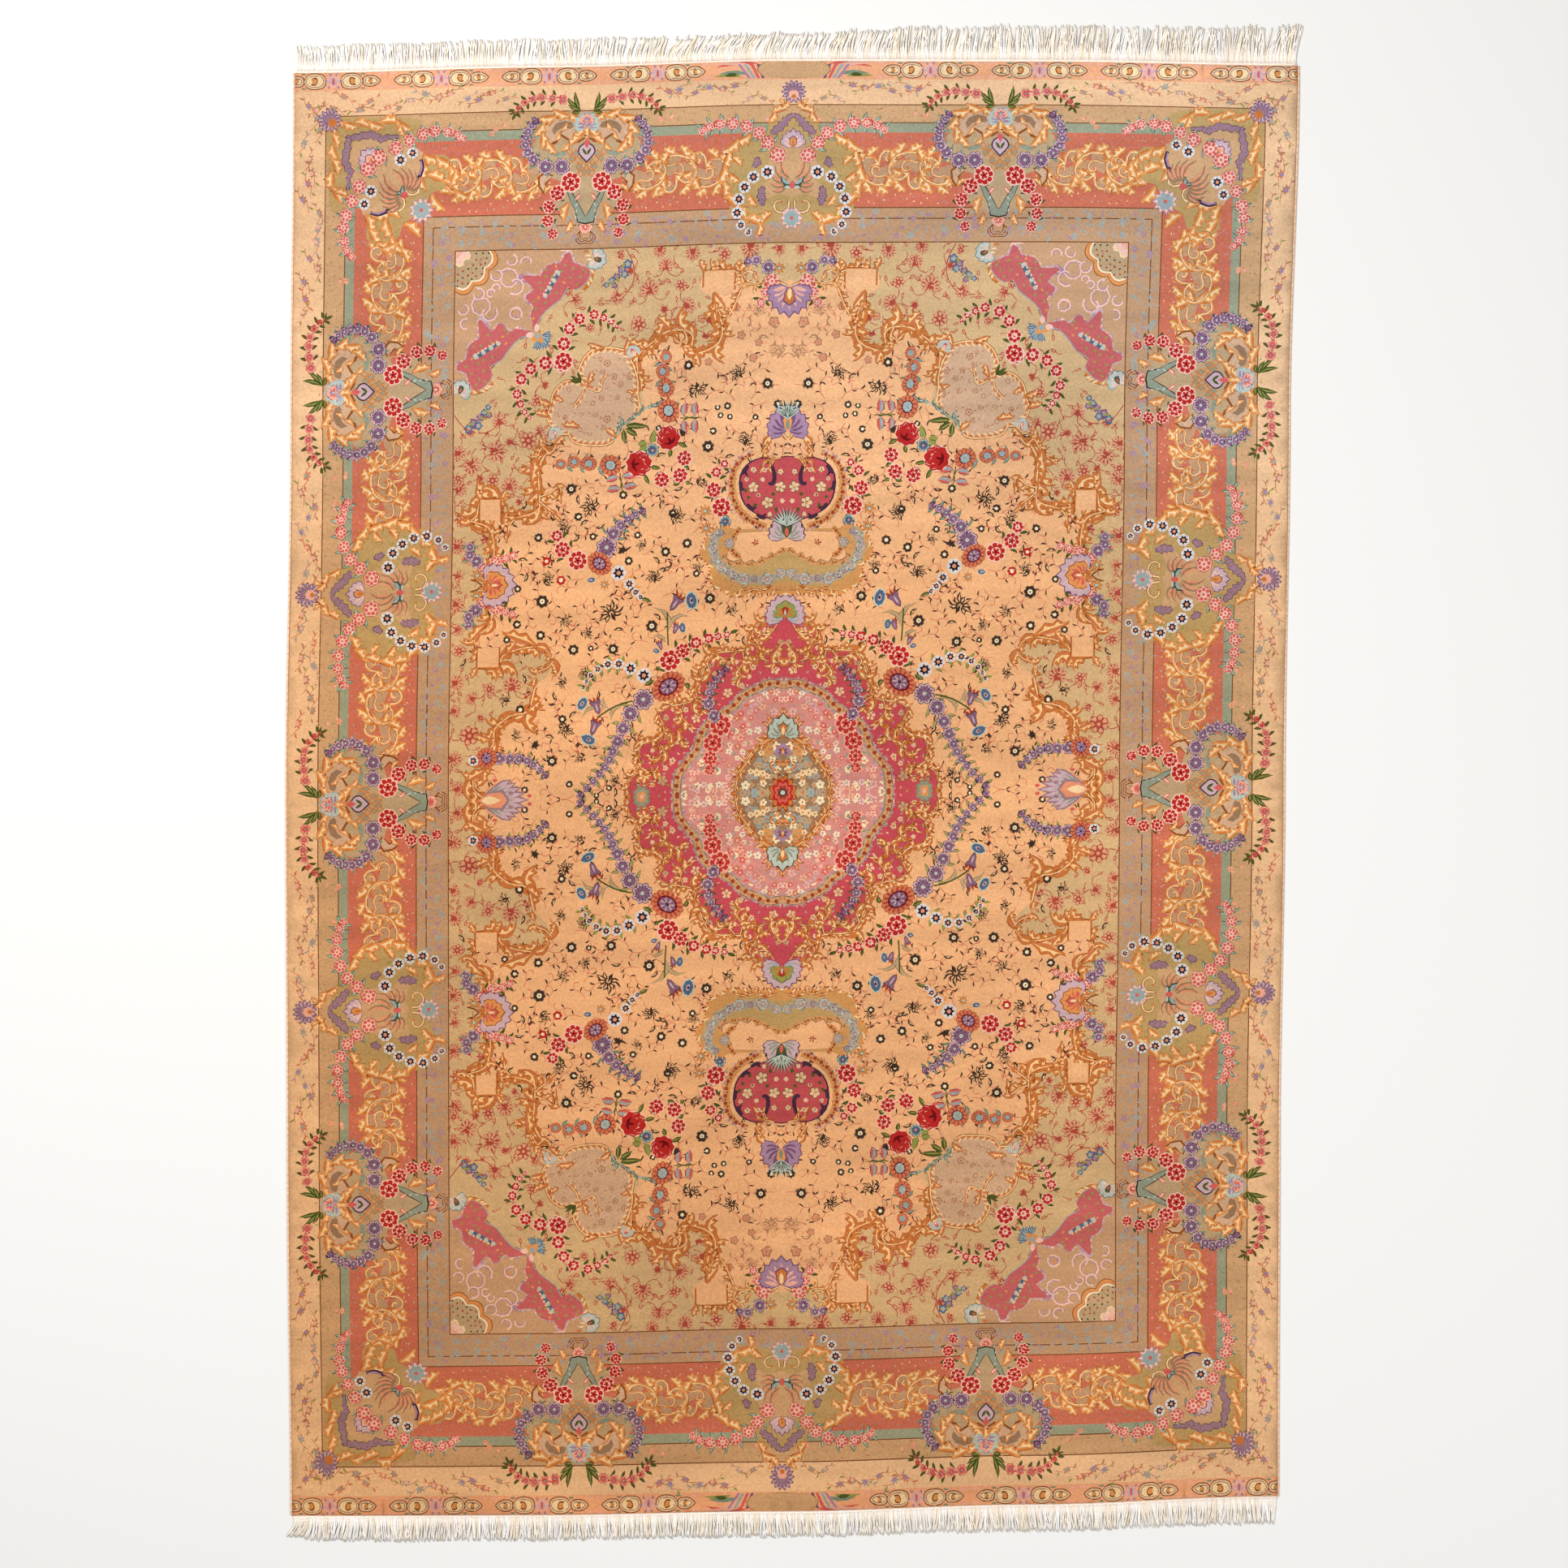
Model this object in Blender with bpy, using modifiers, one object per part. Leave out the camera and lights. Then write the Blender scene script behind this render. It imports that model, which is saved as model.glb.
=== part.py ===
"""A hand-knotted rug, two metres by three, lying flat with its fringes spread.

The knotted body is one slab: pile and foundation together.  An overcast cord
runs down each long side, and at each end a narrow plain-woven band carries the
knotted-off warp ends as a fringe.  The weave strays from a true rectangle, as
hand-knotted rugs do, and every piece follows the same stray.

Metres, +Z up, +Y along the rug.  The origin is under the middle of the whole
rug, fringes included, on the surface that it lies on.
"""

import math

import bpy
from mathutils import Vector

# Driving dimensions
HALF_WIDTH = 1.000            # middle of the knotted body to its side
HALF_LENGTH = 1.450           # middle of the knotted body to its end
RUG_THICKNESS = 0.008         # 6 mm of pile on 2 mm of foundation
EDGE_ROUND = 0.0015           # rounding of the body's rims
KILIM_WIDTH = 0.008           # plain-woven band at each end
KILIM_THICKNESS = 0.0025
FRINGE_THICKNESS = 0.0030
FRINGE_ROOT = 0.006           # knotted heading that the fringe's locks hang from
FRINGE_LOCKS = 46             # locks of yarn in each fringe
LOCK_SHARE = 0.80             # part of its pitch that a lock fills at the root
LOCK_TIP_SHARE = 0.62         # and at its tip
SELVEDGE_RADIUS = 0.0025      # overcast cord down each long side
GAP = 0.0003                  # clearance between neighbouring pieces
WELD = 0.00005

# How far the woven edges stray outward from the true rectangle, in metres.
# columns: height up the rug as a share of HALF_LENGTH, left edge, right edge
SIDE_STRAY = (
    (-1.00, -0.010, -0.012),
    (-0.50, -0.003, -0.010),
    (0.00, 0.000, 0.000),
    (0.50, -0.010, 0.010),
    (1.00, -0.016, 0.029),
)
# columns: place across the rug as a share of HALF_WIDTH, top end, bottom end
END_STRAY = (
    (-1.00, -0.017, 0.015),
    (-0.50, -0.006, 0.013),
    (0.00, 0.007, 0.006),
    (0.50, 0.006, -0.008),
    (1.00, -0.002, -0.025),
)

# The two fringes.
# columns: place across the rug, length of a lock (m), lean to the right (deg)
FRINGE_TOP = (
    (-1.00, 0.050, -8.0),
    (-0.80, 0.052, 2.0),
    (-0.50, 0.054, 8.0),
    (-0.20, 0.056, 38.0),
    (0.00, 0.056, 30.0),
    (0.25, 0.066, 16.0),
    (0.45, 0.070, 8.0),
    (0.75, 0.070, 8.0),
    (1.00, 0.078, 17.0),
)
FRINGE_BOTTOM = (
    (-1.00, 0.043, -42.0),
    (-0.93, 0.046, -14.0),
    (-0.80, 0.048, 0.0),
    (0.00, 0.047, 2.0),
    (0.50, 0.050, 2.0),
    (0.95, 0.052, 2.0),
    (1.00, 0.052, 8.0),
)

SIDE_STEPS = 20               # points along a long side
END_STEPS = 16                # points along a short side

TOP, BOTTOM = 1, -1
LEFT, RIGHT = -1, 1


def read_table(table, column, place):
    """A column of a table at a place between its rows, eased from row to row."""
    place = min(max(place, table[0][0]), table[-1][0])
    for low, high in zip(table, table[1:]):
        if place <= high[0]:
            share = (place - low[0]) / (high[0] - low[0])
            ease = share * share * (3.0 - 2.0 * share)
            return low[column] + (high[column] - low[column]) * ease
    return table[-1][column]


def woven(across, along):
    """Where a place on the true rectangle, given as shares of it, really lies."""
    left = read_table(SIDE_STRAY, 1, along)
    right = read_table(SIDE_STRAY, 2, along)
    top = read_table(END_STRAY, 1, across)
    bottom = read_table(END_STRAY, 2, across)
    x = across * HALF_WIDTH + ((right - left) + across * (right + left)) / 2.0
    y = along * HALF_LENGTH + ((top - bottom) + along * (top + bottom)) / 2.0
    return Vector((x, y))


def shares(steps):
    """Evenly spaced shares from -1 to 1."""
    return [-1.0 + 2.0 * step / steps for step in range(steps + 1)]


def body_outline():
    """The knotted body's rim, anticlockwise from its bottom left corner."""
    rim = [woven(across, BOTTOM) for across in shares(END_STEPS)[:-1]]
    rim += [woven(RIGHT, along) for along in shares(SIDE_STEPS)[:-1]]
    rim += [woven(-across, TOP) for across in shares(END_STEPS)[:-1]]
    rim += [woven(LEFT, -along) for along in shares(SIDE_STEPS)[:-1]]
    return rim


def end_line(end, out):
    """The line that lies a distance out from one end of the body, left to right."""
    return [woven(across, end) + Vector((0.0, end * out)) for across in shares(END_STEPS)]


def kilim_outline(end):
    """The plain-woven band, from just off the body to its full width."""
    inner = end_line(end, GAP)
    outer = end_line(end, KILIM_WIDTH)
    return inner + outer[::-1]


def lock_outline(end, table, across, pitch):
    """The root and tip corners of one lock of the fringe, left to right."""
    start = KILIM_WIDTH + GAP + FRINGE_ROOT
    root = woven(across, end) + Vector((0.0, end * start))
    lean = math.radians(read_table(table, 2, across))
    run = read_table(table, 1, across) - FRINGE_ROOT
    tip = root + run * Vector((math.sin(lean), end * math.cos(lean)))
    half_root = Vector((pitch * LOCK_SHARE / 2.0, 0.0))
    half_tip = Vector((pitch * LOCK_TIP_SHARE / 2.0, 0.0))
    return [root - half_root, tip - half_tip, tip + half_tip, root + half_root]


def fringe_outline(end, table):
    """One comb: a heading along the kilim band, and the locks that hang from it."""
    pitch = 2.0 * HALF_WIDTH / FRINGE_LOCKS
    comb = end_line(end, KILIM_WIDTH + GAP)[::-1]
    for lock in range(FRINGE_LOCKS):
        across = -1.0 + 2.0 * (lock + 0.5) / FRINGE_LOCKS
        comb += lock_outline(end, table, across, pitch)
    return comb


def selvedge_route(side):
    """The middle line of the overcast cord down one long side."""
    out = Vector((side * (GAP + SELVEDGE_RADIUS), 0.0))
    return [woven(side, along) + out for along in shares(SIDE_STEPS)]


def middle_of(outlines):
    """The middle of the box round a set of outlines."""
    xs = [point.x for outline in outlines for point in outline]
    ys = [point.y for outline in outlines for point in outline]
    return Vector(((min(xs) + max(xs)) / 2.0, (min(ys) + max(ys)) / 2.0))


def clear_scene():
    """Remove whatever the scene starts with."""
    for item in list(bpy.data.objects):
        bpy.data.objects.remove(item, do_unlink=True)


def make_material(name, colour, roughness, sheen):
    """A plain woollen or cotton finish."""
    material = bpy.data.materials.new(name)
    material.use_nodes = True
    shader = material.node_tree.nodes["Principled BSDF"]
    shader.inputs["Base Color"].default_value = (*colour, 1.0)
    shader.inputs["Roughness"].default_value = roughness
    shader.inputs["Metallic"].default_value = 0.0
    shader.inputs["Sheen Weight"].default_value = sheen
    return material


def new_curve(name, points, closed):
    """A poly curve through the given points, flat on z = 0."""
    curve = bpy.data.curves.new(name, "CURVE")
    spline = curve.splines.new("POLY")
    spline.points.add(len(points) - 1)
    for slot, point in zip(spline.points, points):
        slot.co = (point.x, point.y, 0.0, 1.0)
    spline.use_cyclic_u = closed
    return curve


def place(name, curve, height, middle, material, rug):
    """Put a curve in the rug's collection, with the whole rug's middle at the origin."""
    item = bpy.data.objects.new(name, curve)
    item.location = (-middle.x, -middle.y, height)
    curve.materials.append(material)
    rug.objects.link(item)
    return item


def flat_piece(name, outline, thickness, middle, material, rug):
    """A flat outline raised to its thickness, resting on z = 0."""
    curve = new_curve(name, outline, closed=True)
    curve.dimensions = "2D"
    curve.fill_mode = "BOTH"
    curve.extrude = thickness / 2.0
    item = place(name, curve, thickness / 2.0, middle, material, rug)
    weld = item.modifiers.new("weld_caps", "WELD")
    weld.merge_threshold = WELD
    return item


def cord_piece(name, route, radius, middle, material, rug):
    """A round cord along a route, resting on z = 0."""
    curve = new_curve(name, route, closed=False)
    curve.dimensions = "3D"
    curve.bevel_depth = radius
    curve.bevel_resolution = 2
    curve.use_fill_caps = True
    return place(name, curve, radius, middle, material, rug)


def round_rims(item):
    """Soften the rims of a flat piece."""
    bevel = item.modifiers.new("rims", "BEVEL")
    bevel.width = EDGE_ROUND
    bevel.segments = 2
    bevel.limit_method = "ANGLE"
    bevel.angle_limit = math.radians(60.0)


def build_body(middle, rug):
    """The knotted body: pile and foundation in one slab."""
    wool = make_material("knotted_wool", (0.86, 0.57, 0.34), 0.85, 0.3)
    item = flat_piece("pile_rug", body_outline(), RUG_THICKNESS, middle, wool, rug)
    round_rims(item)


def build_selvedge(name, side, middle, rug):
    """The overcast cord down one long side."""
    yarn = make_material(name + "_yarn", (0.80, 0.62, 0.50), 0.8, 0.2)
    cord_piece(name, selvedge_route(side), SELVEDGE_RADIUS, middle, yarn, rug)


def build_kilim(name, end, middle, rug):
    """The plain-woven band at one end."""
    cotton = make_material(name + "_cotton", (0.88, 0.82, 0.74), 0.85, 0.1)
    flat_piece(name, kilim_outline(end), KILIM_THICKNESS, middle, cotton, rug)


def build_fringe(name, end, table, middle, rug):
    """The comb of warp ends at one end."""
    warp = make_material(name + "_warp", (0.90, 0.84, 0.74), 0.8, 0.1)
    flat_piece(name, fringe_outline(end, table), FRINGE_THICKNESS, middle, warp, rug)


def main():
    clear_scene()
    rug = bpy.data.collections.new("persian_rug")
    bpy.context.scene.collection.children.link(rug)
    reach = [fringe_outline(TOP, FRINGE_TOP), fringe_outline(BOTTOM, FRINGE_BOTTOM)]
    for side in (LEFT, RIGHT):
        rim = Vector((side * SELVEDGE_RADIUS, 0.0))
        reach.append([point + rim for point in selvedge_route(side)])
    middle = middle_of(reach)
    build_body(middle, rug)
    build_selvedge("selvedge_left", LEFT, middle, rug)
    build_selvedge("selvedge_right", RIGHT, middle, rug)
    build_kilim("kilim_top", TOP, middle, rug)
    build_kilim("kilim_bottom", BOTTOM, middle, rug)
    build_fringe("fringe_top", TOP, FRINGE_TOP, middle, rug)
    build_fringe("fringe_bottom", BOTTOM, FRINGE_BOTTOM, middle, rug)


main()
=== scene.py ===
"""The looks of a hand-knotted rug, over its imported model.

The pile is a chart: one quarter of the design, drawn as areas of flat colour laid
one over another, cut into triangles, mirrored to the other quarters and bent with
the weave.  Woollen material, fringe strands, woven end bands and overcast side
cords follow.  Chart sizes are millimetres; everything else is in metres.
"""
import cmath
import math
import random

import bpy
import numpy as np
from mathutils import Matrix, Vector
from mathutils.geometry import delaunay_2d_cdt


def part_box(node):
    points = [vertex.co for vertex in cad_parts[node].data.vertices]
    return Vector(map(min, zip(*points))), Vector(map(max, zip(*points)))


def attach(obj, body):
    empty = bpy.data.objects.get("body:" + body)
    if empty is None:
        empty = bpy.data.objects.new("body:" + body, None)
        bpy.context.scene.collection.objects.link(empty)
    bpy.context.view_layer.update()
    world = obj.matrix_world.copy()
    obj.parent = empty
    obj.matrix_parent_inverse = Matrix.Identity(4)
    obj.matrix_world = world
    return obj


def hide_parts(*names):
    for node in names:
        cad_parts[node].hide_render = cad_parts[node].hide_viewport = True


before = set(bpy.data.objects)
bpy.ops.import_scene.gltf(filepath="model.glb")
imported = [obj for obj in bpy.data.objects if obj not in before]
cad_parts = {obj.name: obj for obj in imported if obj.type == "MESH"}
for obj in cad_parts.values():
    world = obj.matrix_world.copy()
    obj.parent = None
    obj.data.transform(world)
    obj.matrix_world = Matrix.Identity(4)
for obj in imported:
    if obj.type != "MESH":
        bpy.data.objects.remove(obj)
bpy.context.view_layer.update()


# ---------------------------------------------------------------- the pattern chart
# The chart is one quarter of the design, in millimetres from the rug's middle, as
# areas of flat colour laid one over another.  Points are complex numbers: x + yj.

TONES = {
    # grounds
    "peach": (246, 184, 130), "guard": (244, 194, 144), "strip": (246, 172, 124),
    "tan": (212, 164, 116), "teal": (160, 160, 128), "rose": (210, 114, 86),
    "inner": (198, 152, 112), "sage": (218, 178, 126), "green": (194, 156, 98),
    "stone": (216, 172, 134), "magenta": (204, 102, 98), "wine": (202, 78, 86),
    "pink": (222, 144, 132), "blush": (248, 196, 172), "collar": (212, 152, 90),
    "spandrel": (206, 158, 116), "mist": (196, 162, 120), "line": (128, 78, 44),
    # gold leafwork
    "gold": (230, 150, 82), "gold_light": (252, 214, 160), "gold_dark": (150, 84, 40),
    "amber": (208, 120, 58), "amber_light": (252, 206, 146), "amber_dark": (136, 70, 34),
    # flowers and leaves
    "red": (190, 42, 38), "red_dark": (112, 18, 24),
    "coral": (218, 100, 88), "coral_light": (244, 176, 148), "coral_dark": (170, 56, 48),
    "coral_red": (196, 56, 52), "rust": (166, 68, 42), "rust_light": (212, 122, 82),
    "plum": (124, 84, 112), "plum_dark": (72, 46, 62), "lilac": (172, 134, 156),
    "lilac_light": (208, 174, 176), "blue": (84, 104, 128), "blue_light": (158, 170, 164),
    "sky": (192, 198, 180), "navy": (42, 36, 48), "cream": (252, 228, 184), "salmon": (234, 150, 110),
    "leaf": (84, 90, 38), "leaf_dark": (48, 54, 28), "leaf_light": (156, 152, 78),
    "sea": (128, 144, 116), "sea_dark": (62, 76, 60), "umber": (64, 48, 38),
    "faded": (184, 130, 94), "faded_blue": (176, 158, 140), "vine": (208, 124, 92),
    "violet": (138, 98, 120), "berry": (198, 82, 84), "taupe": (160, 122, 90),
    "haze": (150, 154, 130), "bark": (86, 58, 44), "brick": (180, 74, 58), "brick_light": (224, 164, 122),
    "frost": (228, 216, 208), "mauve": (162, 122, 130), "tendril": (212, 116, 88), "petal": (236, 192, 150),
}


def way(degrees):
    """The unit step in a direction."""
    return cmath.rect(1.0, math.radians(degrees))


class Pen:
    """Fills areas of the chart, in a frame of its own: placed, turned, sized, mirrored."""

    def __init__(self, areas, outer=None, place=0j, arm=1 + 0j, flip=False):
        self.areas = areas
        self.outer = outer
        self.place = place
        self.arm = arm
        self.flip = flip

    def at(self, place, turn=0.0, size=1.0, flip=False):
        """A pen for a frame inside this one."""
        return Pen(self.areas, self, place, size * way(turn), flip)

    def chart_point(self, point):
        """Where a point of this pen's frame lies on the chart."""
        point = self.place + self.arm * (point.conjugate() if self.flip else point)
        return self.outer.chart_point(point) if self.outer else point

    def fill(self, outline, tone):
        """Lay one area of colour on top of what is there, unless all of it lies in another quarter."""
        outline = [self.chart_point(point) for point in outline]
        if max(point.real for point in outline) > 0.0 and max(point.imag for point in outline) > 0.0:
            self.areas.append((outline, tone))


# ---- outlines

def ellipse(centre, across, along=None, turn=0.0, points=None):
    """An ellipse, its first half-width along its turn."""
    along = across if along is None else along
    points = points or (6 if across < 5 else 8 if across < 12 else 14)
    spin = way(turn)
    steps = [2.0 * math.pi * k / points for k in range(points)]
    return [centre + spin * complex(across * math.cos(a), along * math.sin(a)) for a in steps]


def scallop(centre, radius, lobes, depth, turn=0.0, stretch=1.0, round_above=8):
    """A flower's rim of round lobes, pointed where it is small; stretch draws it out along its turn."""
    per_lobe = 2 if radius * stretch < round_above else 3 if radius < 40 else 5
    outline = []
    for k in range(lobes * per_lobe):
        share = k / per_lobe
        reach = radius * (1.0 - depth + depth * abs(math.sin(math.pi * share)))
        z = cmath.rect(reach, 2.0 * math.pi * share / lobes)
        outline.append(centre + way(turn) * complex(z.real * stretch, z.imag))
    return outline


def star(centre, radius, points, inner, turn=0.0, stretch=1.0):
    """A rim of pointed petals."""
    outline = []
    for k in range(points * 2):
        reach = radius if k % 2 == 0 else radius * inner
        z = cmath.rect(reach, math.pi * k / points)
        outline.append(centre + way(turn) * complex(z.real * stretch, z.imag))
    return outline


# How full a leaf is along its length.  columns: share of its length, share of its width
SMALL_LEAF = ((0.42, 1.0),)
LEAF_SWELL = ((0.25, 0.85), (0.65, 0.85))
LONG_LEAF = ((0.15, 0.6), (0.4, 1.0), (0.7, 0.72))
PETAL_SWELL = ((0.35, 0.8), (0.78, 0.95))
ROUND_SWELL = ((0.2, 0.86), (0.82, 0.94))


def leaf(base, tip, width, bend=0.0, swell=None):
    """A leaf or petal from base to tip, its middle line bowed to the left by a share."""
    run = tip - base
    unit = run / max(abs(run), 1e-6)
    if swell is None:
        swell = SMALL_LEAF if abs(run) < 12 or width < 3 else LEAF_SWELL if abs(run) < 34 else LONG_LEAF
    left, right = [], []
    for share, fullness in swell:
        middle = base + run * share + 1j * run * bend * 4.0 * share * (1.0 - share)
        left.append(middle + 1j * unit * width * fullness / 2.0)
        right.append(middle - 1j * unit * width * fullness / 2.0)
    return [base] + right + [tip] + left[::-1]


def spline(points, steps=4, closed=False):
    """A smooth line through the points."""
    count = len(points)
    line = []
    spans = count if closed else count - 1
    for k in range(spans):
        if closed:
            a, b, c, d = (points[(k + j) % count] for j in (-1, 0, 1, 2))
        else:
            a, b = points[max(k - 1, 0)], points[k]
            c, d = points[k + 1], points[min(k + 2, count - 1)]
        for step in range(steps):
            t = step / steps
            line.append(0.5 * (2 * b + (c - a) * t + (2 * a - 5 * b + 4 * c - d) * t * t
                               + (3 * b - a - 3 * c + d) * t * t * t))
    if not closed:
        line.append(points[-1])
    return line


def normals(path):
    """The unit step to the left of a path at each of its points."""
    last = len(path) - 1
    steps = [path[min(k + 1, last)] - path[max(k - 1, 0)] for k in range(last + 1)]
    return [1j * step / max(abs(step), 1e-6) for step in steps]


def band(path, start, end=None, middle=None, shift=0.0):
    """A band along a path, its width changing from start through middle to end."""
    end = start if end is None else end
    middle = (start + end) / 2.0 if middle is None else middle
    left, right = [], []
    last = len(path) - 1
    for k, (point, side) in enumerate(zip(path, normals(path))):
        t = k / last
        width = start * (1 - t) * (1 - 2 * t) + middle * 4 * t * (1 - t) + end * t * (2 * t - 1)
        width = max(width, 0.3)
        left.append(point + side * (shift + width / 2.0))
        right.append(point + side * (shift - width / 2.0))
    return right + left[::-1]


def resample(path, pitch):
    """Points evenly spaced along a path, with the direction at each, as (point, way)."""
    marks = []
    carried = pitch / 2.0
    for a, b in zip(path, path[1:]):
        run = abs(b - a)
        while carried < run:
            marks.append((a + (b - a) * carried / run, (b - a) / run))
            carried += pitch
        carried -= run
    return marks


def coil(centre, radius, start, turns, steps=8, inner=0.3):
    """A spiral from its rim at the start angle inward; negative turns run clockwise."""
    count = max(int(abs(turns) * steps), 3)
    line = []
    for k in range(count + 1):
        t = k / count
        line.append(centre + cmath.rect(radius * (1 - (1 - inner) * t),
                                        math.radians(start) + 2 * math.pi * turns * t))
    return line


def mirror_halves(pen, turn=0.0):
    """The pen as it is, and mirrored about its x axis, or about the one at half the turn."""
    return pen, pen.at(0j, turn, flip=True)


# ---- leaves, vines and leafwork

# Tones of leaves and buds: rim, body, light half.
LEAVES = ("leaf_dark", "leaf", "leaf_light")
SEA_LEAVES = ("sea_dark", "sea", "sky")
UMBER_LEAVES = ("umber", "leaf_light", "mist")
BUDS = ("plum_dark", "violet", "lilac_light")


def draw_leaf(pen, base, tip, width, bend=0.0, tones=LEAVES):
    """A leaf with a darker rim and a light half."""
    unit = (tip - base) / max(abs(tip - base), 1e-6)
    if width < 5.0:
        pen.fill(leaf(base, tip, width + 0.6, bend), tones[1])
        return
    pen.fill(leaf(base - unit * 0.6, tip + unit, width + 1.8, bend), tones[0])
    pen.fill(leaf(base, tip, width, bend), tones[1])
    if width > 6.0:
        side = 1j * unit * width * 0.16
        pen.fill(leaf(base + unit + side, tip - unit + side * 0.3, width * 0.34, bend), tones[2])


# Tones of leafwork: rim, body, highlight, streak.
GOLD = ("gold_dark", "gold", "gold_light", "amber")
AMBER = ("amber_dark", "amber", "amber_light", "rust_light")
WARM = ("amber_dark", "gold", "gold_light", "amber")
SEA = ("sea_dark", "sea", "sky", "sea_dark")
RUSTY = ("amber_dark", "amber", "gold_light", "rust")
# Outlines in shares of a leaf's length and width, its round lobes on the outer side.
FLAME = (
    -0.16j, 0.20 - 0.42j, 0.50 - 0.54j, 0.80 - 0.36j, 1.02 + 0.02j, 1.08 + 0.44j, 0.90 + 0.22j,
    0.78 + 0.66j, 0.60 + 0.30j, 0.42 + 0.66j, 0.20 + 0.30j, 0.0 + 0.20j
)
SMALL_FLAME = (
    -0.16j, 0.34 - 0.44j, 0.76 - 0.36j, 1.06 + 0.12j, 1.02 + 0.44j, 0.74 + 0.26j, 0.50 + 0.58j,
    0.22 + 0.26j, 0.0 + 0.18j
)
FLAME_LIGHT = (
    0.06 + 0.02j, 0.28 - 0.12j, 0.54 - 0.16j, 0.82 - 0.06j, 1.02 + 0.24j, 0.82 + 0.08j, 0.75 + 0.40j,
    0.64 + 0.04j, 0.50 + 0.04j, 0.38 + 0.38j, 0.30 + 0.04j
)
SMALL_FLAME_LIGHT = (
    0.08 + 0.02j, 0.40 - 0.12j, 0.78 - 0.08j, 0.98 + 0.20j, 0.68 + 0.06j, 0.48 + 0.30j, 0.36 + 0.04j
)
FLAME_STREAK = (0.14 - 0.24j, 0.94 - 0.12j)


def acanthus(pen, base, tip, width, hand=1, bow=0.12, tones=GOLD):
    """A curling leaf: dark rim, body, light belly and a darker streak along its back."""
    dark, body, light, streak = tones
    run = tip - base
    unit = run / max(abs(run), 1e-6)

    def shaped(shares, grow=0.0):
        points = []
        for z in shares:
            bowed = bow * 4.0 * z.real * (1.0 - z.real) * abs(run)
            lift = z.imag * (width + 2.0 * grow) + bowed
            points.append(base + run * z.real + unit * grow * (2.0 * z.real - 1.0) + 1j * unit * hand * lift)
        return points

    large = abs(run) > 20.0
    whole = FLAME if large else SMALL_FLAME
    pen.fill(shaped(whole, 0.9), dark)
    pen.fill(shaped(whole), body)
    if large:
        start, end = shaped(FLAME_STREAK)
        pen.fill(leaf(start, end, width * 0.3, -0.06 * hand, SMALL_LEAF), streak)
    pen.fill(shaped(FLAME_LIGHT if large else SMALL_FLAME_LIGHT), light)


def leafwork(pen, points, width, hand=1, tones=GOLD, fullness=1.0, both=False, stem=0.6, pitch=None):
    """A gold stem along a line, curling leaves thrown forward off its outer side."""
    path = spline(points, 3)
    dark, body, light, streak = tones
    marks = resample(path, (pitch or width * 2.5) * (0.66 if both else 1.0))
    for k, (place, unit) in enumerate(marks):
        share = k / max(len(marks) - 1, 1)
        side = -hand if both and k % 2 else hand
        reach = width * fullness * (3.6 - 1.1 * share) * (1.0 if k % 3 else 0.74)
        base = place - unit * 1j * side * width * 0.1
        tip = place + unit * way((16.0 if k % 2 else 30.0) * side) * reach
        acanthus(pen, base, tip, reach * 0.48, side, -0.14, tones)
    pen.fill(band(path, width * stem + 1.8, width * stem * 0.35 + 1.4), dark)
    pen.fill(band(path, width * stem, width * stem * 0.35), body)
    pen.fill(band(path, width * stem * 0.45, width * stem * 0.25, shift=-width * stem * 0.2 * hand), light)
    tail = path[-1] - path[-2]
    tail = tail / max(abs(tail), 1e-6)
    acanthus(pen, path[-1] - tail * width * 0.5, path[-1] + tail * width * 2.0, width * 1.0, hand, 0.16,
        tones)


def flames(pen, table, bow, tones=GOLD, widen=1.0):
    """Curling leaves, each from a row of foot x, y, tip x, y, width and hand."""
    for x, y, tip_x, tip_y, width, hand in table:
        acanthus(pen, complex(x, y), complex(tip_x, tip_y), width * widen, hand, bow, tones)


def paired_leaves(pen, pairs, width, bend=0.0, tones=LEAVES):
    """Leaves of one width, each from a foot and a tip."""
    for base, tip in pairs:
        draw_leaf(pen, base, tip, width, bend, tones)


def rim_hairs(pen, points, width, hand, tones=AMBER, pitch=6.5):
    """A gold rim round a ground, striped with short strokes that lean inward."""
    path = spline(points, 3)
    dark, body, light, streak = tones
    pen.fill(band(path, width * 0.62 + 2.0), dark)
    pen.fill(band(path, width * 0.62), body)
    pen.fill(band(path, width * 0.26, shift=-width * 0.12 * hand), light)
    for k, (place, unit) in enumerate(resample(path, pitch)):
        out = unit * way(48.0 * hand)
        pen.fill(leaf(place, place + out * width * (1.5 if k % 2 else 1.0), width * 0.46, 0.1 * hand),
            light if k % 2 else streak)


def volute(pen, centre, radius, start, turns, width, tones=GOLD):
    """A plain scroll end that winds in on itself."""
    path = coil(centre, radius, start, turns, 10)
    pen.fill(band(path, width + 1.8, width * 0.6 + 1.4), tones[0])
    pen.fill(band(path, width * 0.8, width * 0.5), tones[2])
    pen.fill(ellipse(path[-1], width * 0.6, points=6), tones[1])


def draw_vine(pen, points, width, tone, steps=3):
    """A thin line of one colour."""
    pen.fill(band(spline(points, steps), width), tone)


# ---- flowers

def petal_ring(pen, centre, count, near, far, width, tone, turn=0.0, stretch=1.0, swell=PETAL_SWELL):
    """Rounded petals side by side round a centre, from near to far."""
    for k in range(count):
        z = way(360.0 * k / count)
        out = way(turn) * complex(z.real * stretch, z.imag)
        pen.fill(leaf(centre + out * near, centre + out * far, width, 0.0, swell), tone)


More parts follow.
